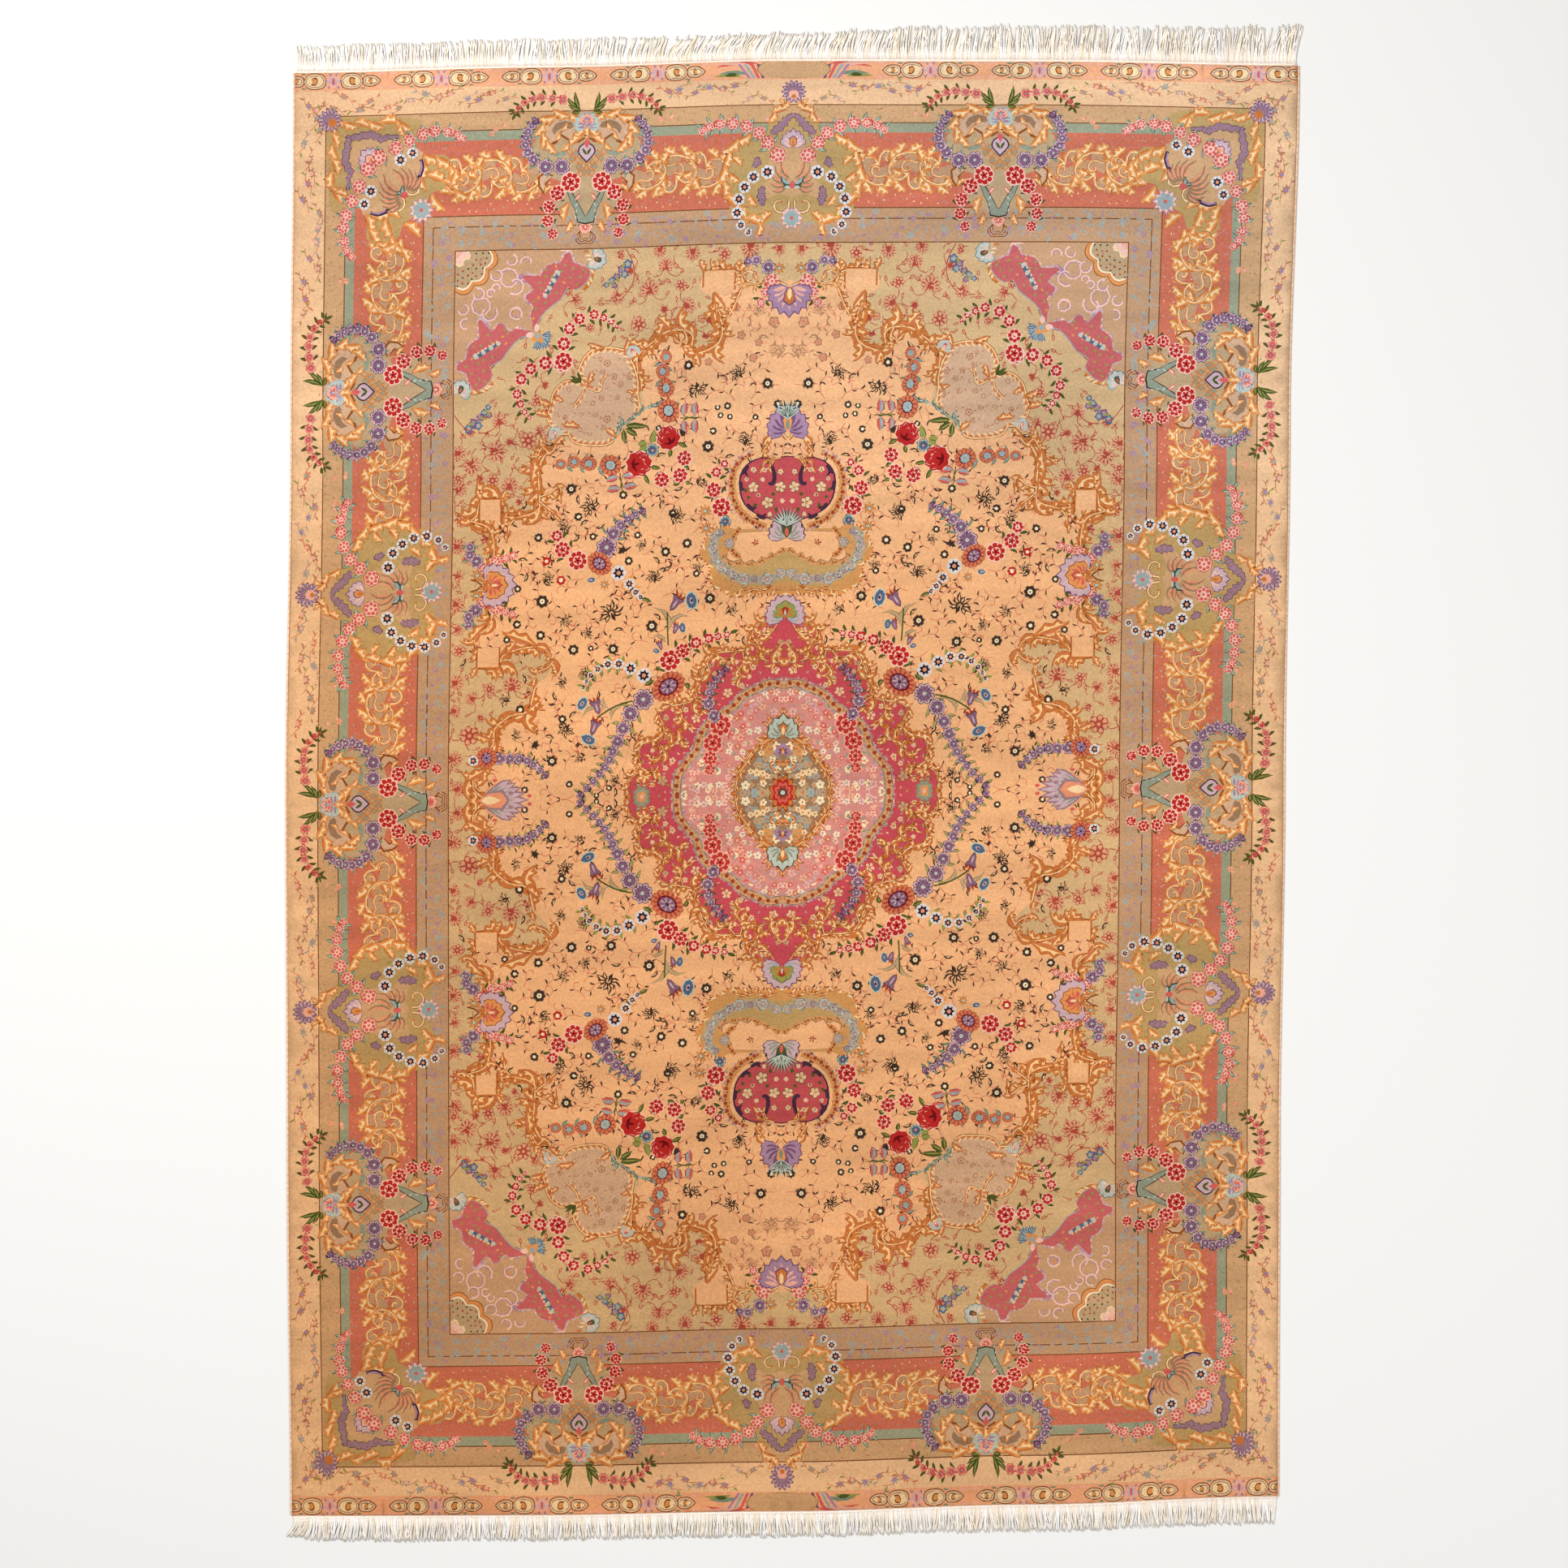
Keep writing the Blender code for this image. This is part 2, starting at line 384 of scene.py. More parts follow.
def rose(pen, centre, radius, tones, turn=0.0):
    """A full rose seen from above, two rings of petals parted by pale lines.  tones: pale, body, heart."""
    pale, body, heart = tones
    pen.fill(scallop(centre, radius * 1.17, 8, 0.1, turn + 22), pale)
    petal_ring(pen, centre, 8, radius * 0.4, radius * 1.03, radius * 0.56, body, turn, swell=ROUND_SWELL)
    pen.fill(ellipse(centre, radius * 0.56, points=8), pale)
    petal_ring(pen, centre, 5, radius * 0.06, radius * 0.47, radius * 0.3, body, turn + 20, swell=ROUND_SWELL)
    pen.fill(ellipse(centre, radius * 0.14, points=5), heart)


def ring_rose(pen, centre, radius, tones, turn=0.0):
    """A small rose: a ring of bright petals round a pale middle with a stroke in it.  tones: pale, bright."""
    pale, bright = tones
    petals = 7 if radius > 7 else 6
    pen.fill(ellipse(centre, radius * 1.16, points=9), pale)
    petal_ring(pen, centre, petals, radius * 0.42, radius * 1.02, radius * 0.66, bright, turn,
        swell=ROUND_SWELL)
    fold = way(turn + 70) * radius * 0.3
    pen.fill(leaf(centre - fold, centre + fold, radius * 0.3, 0.2, SMALL_LEAF), bright)


def pale_rose(pen, centre, radius, turn=0.0):
    """A pink rose: coral petals with pale rims round a pale middle."""
    pen.fill(scallop(centre, radius * 1.14, 7, 0.12, turn), "coral_dark")
    pen.fill(scallop(centre, radius * 1.06, 7, 0.16, turn), "blush")
    petal_ring(pen, centre, 7, radius * 0.4, radius * 0.92, radius * 0.5, "coral", turn + 26,
        swell=ROUND_SWELL)
    pen.fill(ellipse(centre, radius * 0.2, points=6), "coral")


ROSE_RED = ("blush", "red", "red_dark")
ROSE_BRIGHT = ("blush", "red")


def daisy(pen, centre, radius, petals, tones, turn=0.0, stretch=1.0):
    """A flat flower.  tones: outline, petal rims, petals, heart's ring, heart."""
    outline, rim, petal, ring, heart = tones
    petals = petals if radius > 8.5 else min(petals, 6)
    pen.fill(scallop(centre, radius + 1.0, petals, 0.2, turn, stretch), outline)
    pen.fill(scallop(centre, radius * 0.98, petals, 0.24, turn, stretch), rim)
    pen.fill(scallop(centre, radius * 0.86, petals, 0.34, turn, stretch, 99), petal)
    if radius > 8.5:
        for k in range(petals):
            out = way(turn + 360.0 * k / petals)
            pen.fill(leaf(centre + out * radius * 0.3, centre + out * radius * 0.84, radius * 0.12, 0.0,
                SMALL_LEAF), outline)
    pen.fill(ellipse(centre, radius * 0.3 * stretch, radius * 0.3, turn, 6), ring)
    pen.fill(ellipse(centre, radius * 0.2 * stretch, radius * 0.2, turn, 6 if radius > 8.5 else 4), heart)


PURPLE = ("plum_dark", "lilac_light", "violet", "plum", "sky")
ORANGE = ("coral_dark", "coral_light", "coral", "coral_dark", "blue_light")
SEA_BLUE = ("sea_dark", "sky", "blue", "navy", "salmon")


def small_bloom(pen, centre, radius, tones, turn=0.0):
    """A little flower of five petals.  tones: outline, petals, heart."""
    pen.fill(scallop(centre, radius * 1.12, 5, 0.3, turn), tones[0])
    if radius > 3.5:
        pen.fill(scallop(centre, radius * 0.74, 5, 0.36, turn), tones[1])
    if radius > 5.0:
        pen.fill(ellipse(centre, radius * 0.28, points=4), tones[2])


def cream_bloom(pen, centre, radius, tones=("leaf", "cream", "gold"), turn=0.0):
    """A cream flower of five notched petals in thin line."""
    outline, petal, heart = tones
    for k in range(5):
        out = way(turn + 72.0 * k)
        pen.fill(leaf(centre, centre + out * radius * 1.14, radius * 0.92, 0.0, PETAL_SWELL), outline)
    for k in range(5):
        out = way(turn + 72.0 * k)
        pen.fill(leaf(centre + out * radius * 0.12, centre + out * radius, radius * 0.68, 0.0,
            PETAL_SWELL), petal)
        if radius > 8.5:
            pen.fill(leaf(centre + out * radius * 0.3, centre + out * radius * 0.8, radius * 0.12, 0.0,
                SMALL_LEAF), outline)
    pen.fill(ellipse(centre, radius * 0.26, points=6), outline)
    pen.fill(ellipse(centre, radius * 0.16, points=5), heart)


def pied_bloom(pen, centre, radius, turn=0.0):
    """A near-black star on a pale flower, with a salmon heart."""
    pen.fill(scallop(centre, radius * 1.22, 7, 0.14, turn), "frost")
    pen.fill(star(centre, radius * 0.92, 7, 0.62, turn), "navy")
    pen.fill(ellipse(centre, radius * 0.34, points=6), "salmon")


def oval_bloom(pen, centre, radius, stretch, turn, heart=("sky", "cream", "umber"), lobes=14, heart_size=0.5):
    """A brick-red flower drawn out to an oval.  heart: its base, its folds, its dot."""
    pen.fill(scallop(centre, radius * 1.1, lobes, 0.1, turn, stretch), "rust")
    pen.fill(scallop(centre, radius * 1.1 - 1.1, lobes, 0.12, turn, stretch), "rust_light")
    petal_ring(pen, centre, lobes, radius * 0.5, radius * 0.96, radius * 0.2, "brick", turn, stretch)
    outer, inner, core = heart
    pen.fill(ellipse(centre, radius * (heart_size + 0.09) * stretch, radius * (heart_size + 0.09), turn),
        "red_dark")
    pen.fill(scallop(centre, radius * heart_size, 9, 0.14, turn, stretch), outer)
    petal_ring(pen, centre, 7 if radius > 14 else 5, radius * 0.12, radius * heart_size * 0.86,
        radius * 0.14, inner, turn, stretch)
    pen.fill(ellipse(centre, radius * 0.13 * stretch, radius * 0.13, turn, 6), core)


def palmette(pen, size, tones, petals=7, spread=150.0, heart=("coral", "cream")):
    """A fan of petals opening along +x from its foot.  tones: outline, petals, petal bases."""
    outline, petal, base = tones
    width = 1.3 * size * math.radians(spread) / petals
    rays = []
    for k in range(petals):
        angle = spread * (k / (petals - 1.0) - 0.5)
        rays.append(way(angle) * size * (1.0 - 0.24 * abs(angle) / (spread / 2.0)))
    for ray in rays:
        pen.fill(leaf(ray * 0.06, ray, width, 0.0, PETAL_SWELL), outline)
    for ray in rays:
        pen.fill(leaf(ray * 0.1, ray * 0.95, width - size * 0.07, 0.0, PETAL_SWELL), petal)
        pen.fill(leaf(ray * 0.16, ray * 0.74, width * 0.38), base)
    pen.fill(leaf(0j, size * 0.62 + 0j, size * 0.42, 0.0, PETAL_SWELL), outline)
    pen.fill(leaf(0.02j, size * 0.57 + 0j, size * 0.33, 0.0, PETAL_SWELL), heart[0])
    pen.fill(leaf(size * 0.06 + 0j, size * 0.44 + 0j, size * 0.16), heart[1])


def palmettes(pen, table):
    """Palmettes, each from a row of place, turn, size, tones, petals, spread and heart tones."""
    for place, turn, *shape in table:
        palmette(pen.at(place, turn), *shape)


def plain_leaves(pen, table):
    """Leaves of one tone, each from a row of foot, tip, width, bend and tone."""
    for base, tip, width, bend, tone in table:
        pen.fill(leaf(base, tip, width, bend), tone)


def garland(pen, table, draw, leaves=None, leaf_tones=LEAVES, buds=None):
    """Flowers in a row, each from a row of (x, y, radius), with pairs of leaves and buds between them."""
    rows = [(complex(x, y), radius) for x, y, radius in table]
    if leaves:
        for (a, r), (b, _) in zip(rows, rows[1:]):
            middle, unit = (a + b) / 2.0, (b - a) / abs(b - a)
            for side in (1, -1):
                out = unit * way(60 * side)
                draw_leaf(pen, middle + out * r * 0.7, middle + out * (r + leaves + 2.0), leaves * 0.56,
                    -0.08 * side, leaf_tones)
                if buds:
                    out = unit * way(38 * side)
                    draw_leaf(pen, middle + out * r * 0.3, middle + out * (r * 0.9 + 7.0), 6.4, 0.0, buds)
    for k, (centre, radius) in enumerate(rows):
        draw(pen, centre, radius, 23.0 * k)


# ---- small scattered pieces

def ring_bloom(pen, centre, radius, turn=0.0):
    """A dark round rosette with a grey halo and a pale heart."""
    pen.fill(scallop(centre, radius * 1.2, 7, 0.2, turn), "taupe")
    pen.fill(scallop(centre, radius * 1.06, 7, 0.22, turn), "umber")
    pen.fill(ellipse(centre, radius * 0.46, points=7), "cream")
    if radius > 9:
        pen.fill(ellipse(centre, radius * 0.16, points=5), "umber")


def lotus(pen, centre, radius, turn, tones=("umber", "cream"), petals=7):
    """A spiky lotus of separate dark strokes, opening along its turn."""
    local = pen.at(centre, turn)
    for k in range(petals):
        angle = 230.0 * (k / (petals - 1.0) - 0.5)
        reach = radius * (1.2 if k % 2 else 0.9)
        local.fill(leaf(way(angle) * radius * 0.14, way(angle * 1.06) * reach, radius * 0.4, 0.1,
            LEAF_SWELL), tones[0])
        if radius > 10:
            local.fill(leaf(way(angle) * radius * 0.3, way(angle * 1.04) * reach * 0.88, radius * 0.19,
                0.1, SMALL_LEAF), tones[1])
    local.fill(leaf(-radius * 0.75 + 0j, radius * 0.14 + 0j, radius * 0.36, 0.0, SMALL_LEAF), tones[0])


def line_lotus(pen, centre, radius, turn, petals=9):
    """A lotus drawn in red line, its petals in two rows."""
    local = pen.at(centre, turn)
    for share, spread, width in ((1.08, 250.0, 0.38), (0.68, 200.0, 0.3)):
        count = petals if share > 1.0 else petals - 2
        for k in range(count):
            angle = spread * (k / (count - 1.0) - 0.5)
            reach = radius * share * (1.0 - 0.2 * abs(angle) / 125.0)
            local.fill(leaf(way(angle) * radius * 0.1, way(angle) * reach, radius * width, 0.0,
                PETAL_SWELL), "brick")
            local.fill(leaf(way(angle) * reach * 0.4, way(angle) * reach * 0.94, radius * width * 0.66,
                0.0, PETAL_SWELL), "brick_light")
    local.fill(leaf(-radius * 0.5 + 0j, radius * 0.26 + 0j, radius * 0.3, 0.0, SMALL_LEAF), "brick")


def line_bloom(pen, centre, radius, turn=0.0):
    """A round flower drawn in red line, its petals paler."""
    pen.fill(scallop(centre, radius * 1.08, 7, 0.24, turn), "brick")
    for k in range(7):
        out = way(turn + 360.0 * (k + 0.5) / 7)
        pen.fill(leaf(centre + out * radius * 0.4, centre + out * radius * 0.96, radius * 0.5, 0.0,
            PETAL_SWELL), "brick_light")
    pen.fill(ellipse(centre, radius * 0.22, points=5), "brick_light")


def line_bud(pen, place, turn, size=1.0):
    """A small bud drawn in red line on a curved stem."""
    local = pen.at(place, turn, size)
    draw_vine(local, [0j, 9 + 2j, 15 - 1j], 1.5, "brick", 2)
    local.fill(leaf(13 + 0j, 27 - 3j, 8.0, 0.08, LEAF_SWELL), "brick")
    local.fill(leaf(15.5 - 0.4j, 24.5 - 2.4j, 4.4, 0.08, LEAF_SWELL), "brick_light")


def inside(point, outline):
    """Whether a point lies inside an outline."""
    within = False
    x, y = point.real, point.imag
    for a, b in zip(outline, outline[1:] + outline[:1]):
        if (a.imag > y) != (b.imag > y):
            if x < a.real + (y - a.imag) * (b.real - a.real) / (b.imag - a.imag):
                within = not within
    return within


def jittered(low, high, pitch, rng, wander=0.3):
    """Places on a loose staggered grid between two corners."""
    places = []
    rows = int((high.imag - low.imag) / pitch)
    for row in range(rows + 1):
        for column in range(int((high.real - low.real) / pitch) + 1):
            x = low.real + (column + 0.5 * (row % 2)) * pitch + rng.uniform(-1, 1) * wander * pitch
            y = low.imag + row * pitch + rng.uniform(-1, 1) * wander * pitch
            places.append(complex(x, y))
    return places


def jagged_star(pen, centre, radius):
    """A pale star of many points with a blue-grey middle and a coral dot."""
    pen.fill(star(centre, radius, 11, 0.66), "lilac")
    pen.fill(star(centre, radius * 0.9, 11, 0.66), "blush")
    pen.fill(scallop(centre, radius * 0.66, 8, 0.2), "blue_light")
    pen.fill(ellipse(centre, radius * 0.16, points=6), "coral")


def jagged_band(pen, points, width):
    """A mauve band with a dark rim and dark veins, toothed along both sides."""
    path = spline(points, 3)
    last = len(path) - 1
    for grow, tone in ((1.3, "plum_dark"), (0.0, "mauve")):
        left, right = [], []
        for j, (place, side) in enumerate(zip(path, normals(path))):
            taper = 0.5 + math.sin(math.pi * j / last)
            left.append(place + side * (width * (0.5 if j % 2 else 0.26) * taper + grow))
            right.append(place - side * (width * (0.24 if j % 2 else 0.46) * taper + grow))
        pen.fill(right + left[::-1], tone)
    for place, side in list(zip(path, normals(path)))[1:-1:2]:
        pen.fill(leaf(place - side * width * 0.1, place + side * width * 0.5, 1.8, 0.0, SMALL_LEAF), "plum")


def flame_fan(pen, reach, strokes, spread, tones=("taupe", "salmon")):
    """Long curved strokes that fan out along +x."""
    for k in range(strokes):
        angle = spread * (k / (strokes - 1.0) - 0.5)
        bend = 0.16 if angle > 0 else -0.16
        tip = way(angle) * reach * (1.0 - 0.3 * abs(angle) / (spread / 2.0))
        pen.fill(leaf(way(angle) * reach * 0.18, tip, reach * 0.15, bend, LONG_LEAF), tones[0])
        pen.fill(leaf(way(angle) * reach * 0.26, tip * 0.94, reach * 0.075, bend, LEAF_SWELL), tones[1])
# ---------------------------------------------------------------- borders
# Half sizes of the frames, from the middle of the rug, in millimetres (x, y).
EDGE = (1000.0, 1450.0)
GUARD = (1000.0, 1412.0)
TAN = (938.0, 1357.0)
TEAL = (897.0, 1319.0)
ROSE = (878.0, 1299.0)
INNER = (739.0, 1153.0)
INNER_LINE = (719.0, 1132.0)
FIELD = (674.0, 1086.0)
LINE = 2.2                     # width of the brown lines
CORNER = complex(*TAN)


def points(*pairs):
    """Chart points from alternating x and y."""
    return [complex(x, y) for x, y in zip(pairs[::2], pairs[1::2])]


def frame_ring(pen, outer, inner, tone):
    """A frame's ground between two half sizes, with points to bend by."""
    def corner_line(half):
        up = [complex(half[0], half[1] * k / 14.0) for k in range(14)]
        return up + [complex(half[0] * k / 10.0, half[1]) for k in range(11)][::-1]

    pen.fill(corner_line(outer) + corner_line(inner)[::-1], tone)


def frame_line(pen, half, width, tone):
    """A line round a frame, its middle on the half size."""
    frame_ring(pen, (half[0] + width / 2, half[1] + width / 2),
        (half[0] - width / 2, half[1] - width / 2), tone)


def draw_grounds(pen):
    """The plain grounds of the frames, outermost first, with the lines between them."""
    frames = ((EDGE, "strip"), (GUARD, "guard"), (TAN, "tan"), (TEAL, "teal"), (ROSE, "rose"),
        (INNER, "inner"), (FIELD, None))
    for (outer, tone), (inner, _) in zip(frames, frames[1:]):
        frame_ring(pen, outer, inner, tone)
    for half in (TAN, TEAL, INNER, INNER_LINE, FIELD):
        frame_line(pen, half, LINE, "line")


def both_ways(pen):
    """A border pen and its mirror across the motif's middle."""
    return mirror_halves(pen, 180.0)


def both_sides(pen):
    """A corner pen and its mirror across the diagonal."""
    return mirror_halves(pen, 90.0)


def along_end(pen, x):
    """A pen on the end border: x runs outward from the middle, y inward from the guard line."""
    return pen.at(complex(x, TAN[1]), flip=True)


def along_side(pen, y):
    """A pen on the side border: x runs up the rug, y inward from the guard line."""
    return pen.at(complex(TAN[0], y), 90.0)


def full_rose(pen, centre, radius, turn=0.0):
    """A large red rose."""
    rose(pen, centre, radius, ROSE_RED, turn + 100.0)


def red_rose(pen, centre, radius, turn=0.0):
    """A red rose, drawn more plainly where it is small."""
    if radius > 13.5:
        full_rose(pen, centre, radius, turn)
    else:
        ring_rose(pen, centre, radius, ROSE_BRIGHT, turn)


def purple_daisy(pen, centre, radius, turn=0.0):
    """A purple flower with lilac rims."""
    daisy(pen, centre, radius, 8, PURPLE, turn)


def orange_daisy(pen, centre, radius, turn=0.0):
    """A coral flower with a blue-grey heart."""
    daisy(pen, centre, radius, 8, ORANGE, turn)


def sea_daisy(pen, centre, radius, turn=0.0):
    """A blue flower with pale rims and a salmon heart."""
    daisy(pen, centre, radius, 8, SEA_BLUE, turn)


# ---- the end strip

STRIP_MIDDLE = 1431.5
STRIP_FIRST = 272.0            # middle of the first unit
STRIP_PITCH = 217.0
STRIP_UNITS = 4


def strip_oval(pen, x, length, height, tip):
    """A cream oval, drawn to a point on one side, with a brown line and a gold curl in it."""
    for grow, tone in ((2.0, "line"), (0.0, "petal"), (-3.0, "taupe"), (-4.6, "gold_light")):
        a, b = length / 2 + grow, height / 2 + grow
        outline = points(-a, 0, -a * 0.8, b * 0.75, -a * 0.1, b, a * 0.6, b * 0.8, a * tip, 0,
            a * 0.6, -b * 0.8, -a * 0.1, -b, -a * 0.8, -b * 0.75)
        pen.fill([x + z for z in spline(outline, 2, True)], tone)
    curl = points(-7, 2, -3, 9, 6, 6, 4, -2, 8, -7, -2, -8)
    for share, tone in ((height / 31, "line"), (height / 44, "gold")):
        pen.fill(spline([x + z * share for z in curl], 2, True), tone)


def strip_unit(pen):
    """One unit of the end strip: a rosette, a round oval and a pointed one to each side."""
    for half in both_ways(pen):
        strip_oval(half, 75.0, 30.0, 21.0, 1.25)
        strip_oval(half, 38.0, 44.0, 31.0, 0.95)
        for y in (14.0, -14.0):
            half.fill(leaf(88 + y * 1j, 106 + y * 1j, 5.0), "coral_light")
            half.fill(leaf(54 + y * 1.05j, 66 + y * 1.05j, 4.5), "sea")
        for turn in (-60.0, 0.0, 60.0):
            half.fill(leaf(way(turn) * 6, way(turn) * 20, 6.0, 0.2), "lilac")
    pen.fill(scallop(0j, 15.5, 6, 0.26, 0), "coral_light")
    pen.fill(scallop(0j, 10.0, 6, 0.3, 30), "lilac_light")
    pen.fill(leaf(-9j, 9j, 6.0), "coral")


STRIP_PANEL = (-17.5j, 30 - 16j, 50 - 17j, 66 - 8j, 72 + 2j, 62 + 14j, 52 + 17.5j, 40 + 15j, 20 + 17.5j, 15j)
# Ribbons beside the panel.  columns: foot, tip, width, bend, tone
RIBBONS = (
    (70 + 13j, 158 + 7j, 9.0, 0.06, "coral"), (78 + 6j, 165 + 14j, 9.0, 0.06, "coral_light"),
    (104 - 13j, 160 - 12j, 9.0, 0.06, "leaf_light"), (88 - 9j, 150 - 6j, 9.0, 0.06, "sea"),
    (112 - 9j, 138 - 11j, 9.0, 0.06, "leaf")
)
STRIPE_TONES = ("coral_light", "blue_light", "plum", "coral", "blue_light", "lilac")


def draw_strip(pen):
    """The end strip: a bare tan panel in the middle, ribbons beside it, then the units."""
    row = pen.at(complex(0, STRIP_MIDDLE))
    for k in range(STRIP_UNITS):
        strip_unit(row.at(complex(STRIP_FIRST + k * STRIP_PITCH)))
    row.fill([0 - 17j, 168 - 17j, 168 + 17j, 0 + 17j], "strip")
    plain_leaves(row, RIBBONS)
    for k, tone in enumerate(STRIPE_TONES):
        foot = complex(40 + 9 * k, -17)
        head = foot + complex(-14 + 4 * k, 33) * 0.9
        row.fill([foot, foot + 6, head + 22, head + 16], tone)
    panel = spline(STRIP_PANEL, 3)
    row.fill([0 - 18.5j] + [p * 1.02 for p in panel], "line")
    row.fill([0 - 17j] + panel, "tan")


# ---- motif A: a palmette between flower sprays, a purple arc and a horseshoe of red roses

SPRAY = (
    (49, -25, 10.5), (70, -28, 10), (91, -30, 9.5), (109, -27, 8.5), (125, -19, 7.5), (137, -8, 6),
    (145, 3, 4.5)
)
PURPLE_ARC = ((50, 112, 17), (82, 112, 16), (106, 98, 12.5), (118, 84, 11.5), (123, 69, 10.5), (122, 55, 10),
              (118, 42, 9.5), (111, 30, 8.5), (103, 21, 7))
HORSESHOE = ((66, 241, 9.5), (76, 216, 11), (74, 189, 11.5), (57, 163, 14), (31, 142, 18))


def draw_spray(pen):
    """The spray of orange flowers in the guard, with its dark leaves."""
    pairs = ((14 - 4j, 24 - 42j), (12 - 2j, 38 - 14j), (14 + 2j, 30 + 3j), (20 - 8j, 40 - 30j))
    paired_leaves(pen, pairs, 8.0, 0.08)
    garland(pen, SPRAY, orange_daisy, leaves=9.0)
    draw_leaf(pen, 143 + 4j, 150 + 18j, 5.0)
    draw_leaf(pen, 143 + 2j, 158 + 6j, 4.5)


FLAME_BOW = 0.18
# Grounds of motif A's right half, lowest first.  columns: tone, outline
GROUNDS_A = (
    ("mist", points(0, 34, 50, 40, 92, 50, 106, 64, 112, 80, 111, 98, 102, 114, 86, 128, 70, 134, 50, 140,
        0, 152)),
    ("gold_dark", points(0, 28, 20, 18, 44, 10, 72, 14, 92, 34, 90, 58, 74, 72, 60, 66, 52, 52, 34, 64,
        16, 66, 0, 56)),
    ("stone", points(2, 30, 22, 22, 44, 14, 70, 18, 87, 36, 85, 56, 73, 67, 63, 60, 54, 46, 34, 58,
        16, 62, 2, 52)),
    ("gold_dark", points(66, 128, 84, 122, 98, 132, 96, 152, 84, 166, 74, 158, 80, 146)),
    ("stone", points(69, 131, 83, 126, 94, 134, 92, 150, 84, 161, 79, 156, 84, 144)),
    ("taupe", points(30, 24, 46, 20, 62, 26, 70, 38, 66, 50, 58, 40, 46, 34, 34, 38, 26, 34)),
    ("taupe", points(6, 34, 16, 30, 24, 38, 22, 50, 12, 56, 14, 46)),
    ("haze", points(36, 76, 50, 84, 70, 82, 84, 70, 78, 86, 60, 94, 42, 90)),
    ("mist", points(0, 148, 30, 150, 58, 160, 66, 186, 44, 206, 0, 210)),
    ("umber", points(40, 156, 32, 178, 22, 196, 17, 220, 0, 224, 0, 208, 12, 186, 30, 158)),
    ("haze", points(38, 158, 30, 180, 20, 197, 15, 218, 0, 221, 0, 210, 13, 188, 30, 162)),
)
# columns: foot, tip, width, hand
FLAMES_A = (
    (6, 22, 34, 4, 15, 1), (34, 12, 66, -4, 16, 1), (62, 12, 96, 14, 18, 1), (86, 24, 106, 48, 17, 1),
    (90, 44, 92, 76, 15, 1), (80, 60, 60, 84, 14, -1), (64, 62, 56, 44, 10, -1), (2, 40, 22, 60, 15, -1),
    (10, 54, 34, 72, 13, -1), (36, 66, 50, 80, 10, 1), (4, 30, 4, 56, 12, 1), (40, 26, 52, 40, 9, 1),
    (34, 182, 42, 216, 13, -1), (30, 216, 40, 236, 11, 1), (84, 164, 66, 150, 8, 1),
    (96, 150, 108, 164, 9, 1)
)


# The blue teardrop over the palmette, and its light.
TEARDROP = points(0, 62, 14, 72, 18, 84, 10, 96, 0, 106)
TEARDROP_LIGHT = points(0, 65, 12, 74, 15, 84, 9, 93, 0, 102)
# columns: foot, tip, width, bend, tone
LEAVES_A = (
    (90j, 9 + 76j, 6, 0, "leaf"), (10 + 164j, 22 + 178j, 9, 0, "coral"),
    (11 + 166j, 20 + 176j, 5, 0, "blush")
)
# columns: place, turn, size, tones, petals, spread, heart tones
PALMETTES_A = (
    (224j, 90, 20, ("coral_dark", "coral_light", "coral"), 5, 120, ("coral", "cream")),
    (34j, -90, 34, ("blue_light", "sky", "lilac"), 9, 190, ("coral", "lilac_light")),
    (26j, -90, 22, ("plum", "coral_light", "coral"), 5, 130, ("lilac", "sky"))
)


def draw_motif_a(pen):
    """The palmette with its arcs of flowers, over grounds edged with gold leafwork."""
    for half in both_ways(pen):
        for tone, outline in GROUNDS_A:
            half.fill(outline, tone)
    for half in both_ways(pen):
        flames(half, FLAMES_A, FLAME_BOW, WARM)
        for row in range(4):
            for column in range(3 - row // 2):
                spot = complex((8 + 13 * column) * (1 - 0.14 * row), 84 + 13 * row + 3 * (column % 2))
                half.fill(ellipse(spot, 7.2, 9.0, 0, 4), "amber")
                half.fill(ellipse(spot, 4.6, 6.0, 0, 4), "haze" if (row + column) % 2 else "mist")
        half.fill(spline(TEARDROP, 2), "plum_dark")
        half.fill(spline(TEARDROP_LIGHT, 2), "lilac_light")
        half.fill([56j, 7 + 65j, 78j], "coral")
        plain_leaves(half, LEAVES_A)
        for k in range(3):
            half.fill(leaf(15 + 182j + (3 + 12j) * k, 22 + 190j + (-2 + 12j) * k, 3.6), "sky")
            curl = [4 + 236j, 12 + 238j + (4 + 4j) * k, 8 + 252j + (3 + 4j) * k, 250j + 5j * k]
            draw_vine(half, curl, 1.6, "amber_dark")
    palmettes(pen, PALMETTES_A)
    for half in both_ways(pen):
        garland(half, PURPLE_ARC, purple_daisy, 7.5, SEA_LEAVES, BUDS)
        garland(half, HORSESHOE, full_rose, 9.0)
        draw_spray(half)


# ---- motif B: a bracket of lilac under a long garland of pink roses

PINK_GARLAND = (
    (30, 102, 15), (50, 78, 13), (68, 58, 12.5), (93, 45, 12.5), (121, 38, 12), (147, 38, 11),
    (168, 43, 9.5), (181, 51, 8)
)
PIED_ARC = (
    (50, 135, 11.5), (78, 144, 10.5), (95, 163, 10), (106, 186, 10), (109, 212, 10), (101, 236, 8),
    (86, 250, 6.5)
)
GROUNDS_B = (
    ("green", points(0, 16, 26, 26, 56, 44, 86, 62, 118, 74, 134, 100, 128, 120, 142, 140, 138, 166,
        122, 186, 124, 206, 96, 228, 60, 238, 30, 228, 0, 236)),
    ("tan", points(0, 70, 24, 84, 40, 104, 52, 124, 44, 150, 60, 162, 50, 186, 26, 176, 0, 184)),
)
